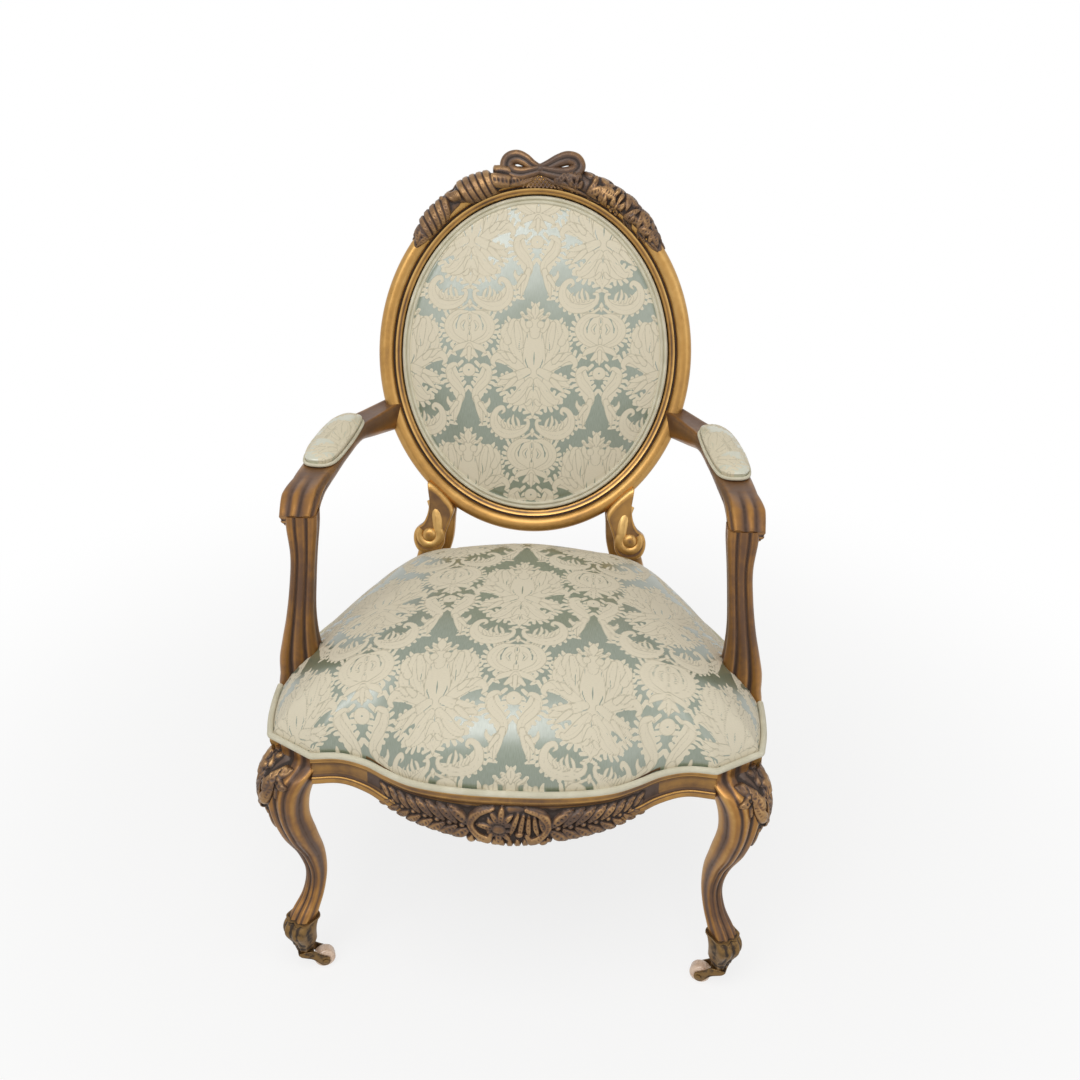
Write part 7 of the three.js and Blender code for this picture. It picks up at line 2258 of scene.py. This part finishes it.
    def build(self) -> None:
        """Builds both casters on their moving bodies."""
        cup, fork, wheel, pin = self.cup(), self.fork(), self.wheel(), self.pin()
        for side, pick in (("right", lambda shell: shell), ("left", Shell.mirrored)):
            swivel, roll = f"{side}_caster_swivel", f"{side}_caster_wheel_body"
            pick(cup).build(f"{side}_brass_cup", BRASS, replaces=[f"{side}_caster_cup"])
            pick(fork).build(f"{side}_brass_fork", BRASS, swivel, [f"{side}_caster_fork"])
            pick(pin).build(f"{side}_axle_pin", BRASS, swivel, [f"{side}_caster_axle"])
            pick(wheel).build(f"{side}_barrel_wheel", WHEEL, roll, [f"{side}_caster_wheel"])


@dataclass
class Studio:
    """A pale floor, soft lamps and the camera at the photograph's place."""

    camera_place: tuple = (62.0, -1201.0, 1372.0)
    yaw: float = 1.59
    pitch: float = 28.58
    roll: float = 1.16
    lens: float = 40.13

    def camera(self) -> None:
        """The camera, from its yaw, pitch and roll."""
        data = bpy.data.cameras.new("camera")
        data.lens, data.sensor_width = self.lens, 36.0
        data.clip_end = 50
        seen = bpy.data.objects.new("camera", data)
        bpy.context.scene.collection.objects.link(seen)
        a, e, r = (math.radians(v) for v in (self.yaw, self.pitch, self.roll))
        back = np.array([math.sin(a) * math.cos(e), -math.cos(a) * math.cos(e), math.sin(e)])
        right = np.array([math.cos(a), math.sin(a), 0])
        up = np.cross(back, right)
        across = math.cos(r) * right + math.sin(r) * up
        upward = -math.sin(r) * right + math.cos(r) * up
        place = (np.array(self.camera_place) + [0, Y_SHIFT, 0]) * METRE
        matrix = np.eye(4)
        matrix[:3, :3] = np.stack([across, upward, back], 1)
        matrix[:3, 3] = place
        seen.matrix_world = Matrix(matrix.tolist())
        bpy.context.scene.camera = seen

    def lamp(self, name: str, place: Sequence[float], aim: Sequence[float], size: float, power: float,
             colour: Colour = (1, 1, 1)) -> None:
        """A square soft lamp that points from its place to its aim."""
        data = bpy.data.lights.new(name, "AREA")
        data.shape, data.size, data.energy, data.color = "SQUARE", size, power, colour
        made = bpy.data.objects.new(name, data)
        bpy.context.scene.collection.objects.link(made)
        away = unit(np.subtract(place, aim))
        right = unit(np.cross([0, 0, 1.0], away))
        matrix = np.eye(4)
        matrix[:3, :3] = np.stack([right, np.cross(away, right), away], 1)
        matrix[:3, 3] = place
        made.matrix_world = Matrix(matrix.tolist())

    def floor(self) -> None:
        """A wide floor that keeps the shadow and is seen as near white, and as white from afar."""
        size = 12.0
        mesh = bpy.data.meshes.new("floor")
        mesh.from_pydata([(-size, -size, 0), (size, -size, 0), (size, size, 0), (-size, size, 0)], [],
                         [(0, 1, 2, 3)])
        made = bpy.data.objects.new("floor", mesh)
        bpy.context.scene.collection.objects.link(made)
        bench = Bench("pale_floor")
        matt = bench.node("ShaderNodeBsdfDiffuse", None, {"Color": (0.9, 0.9, 0.9)})
        white = bench.node("ShaderNodeEmission", None, {"Color": (1, 1, 1), "Strength": 1.0})
        spot = bench.node("ShaderNodeVectorMath", {"operation": "LENGTH"}, {0: bench.place()}, "Value")
        share = bench.seen_bare() * (spot.above(0.5, 1.5) * 0.22 + 0.78)
        shader = bench.node("ShaderNodeMixShader", None, {0: share, 1: matt, 2: white})
        mesh.materials.append(bench.finished(shader))

    def world(self) -> None:
        """A plain soft sky that shows as white."""
        bench = Bench("sky", sky=True)
        light = bench.node("ShaderNodeBackground", None, {"Color": (1.0, 0.99, 0.96), "Strength": 0.42})
        white = bench.node("ShaderNodeBackground", None, {"Color": (1, 1, 1), "Strength": 1.0})
        bpy.context.scene.world = bench.finished(
            bench.node("ShaderNodeMixShader", None, {0: bench.seen_bare(), 1: light, 2: white}))

    def build(self) -> None:
        """Sets the whole stage."""
        self.camera()
        self.floor()
        self.world()
        self.lamp("key", (-1.4, -2.0, 2.6), (0, 0, 0.55), 1.5, 15)
        self.lamp("fill", (2.4, -1.6, 1.6), (0, 0, 0.5), 2.0, 8)
        self.lamp("overhead", (-0.1, -1.35, 2.8), (0, 0, 0.5), 1.9, 28)
        bpy.context.scene.view_settings.view_transform = "Standard"


def main() -> None:
    """Builds every sub-assembly in order."""
    logging.basicConfig(level=logging.INFO, format="%(name)s: %(message)s")
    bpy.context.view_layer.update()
    Studio().build()
    SeatFrame().build()
    legs = FrontLegs()
    legs.build()
    RearLegs().build()
    OvalFrame().build()
    Crest().build()
    Arms().build()
    SeatUpholstery().build()
    BackUpholstery().build()
    Underside().build()
    Casters(legs).build()


if __name__ == "__main__":
    main()
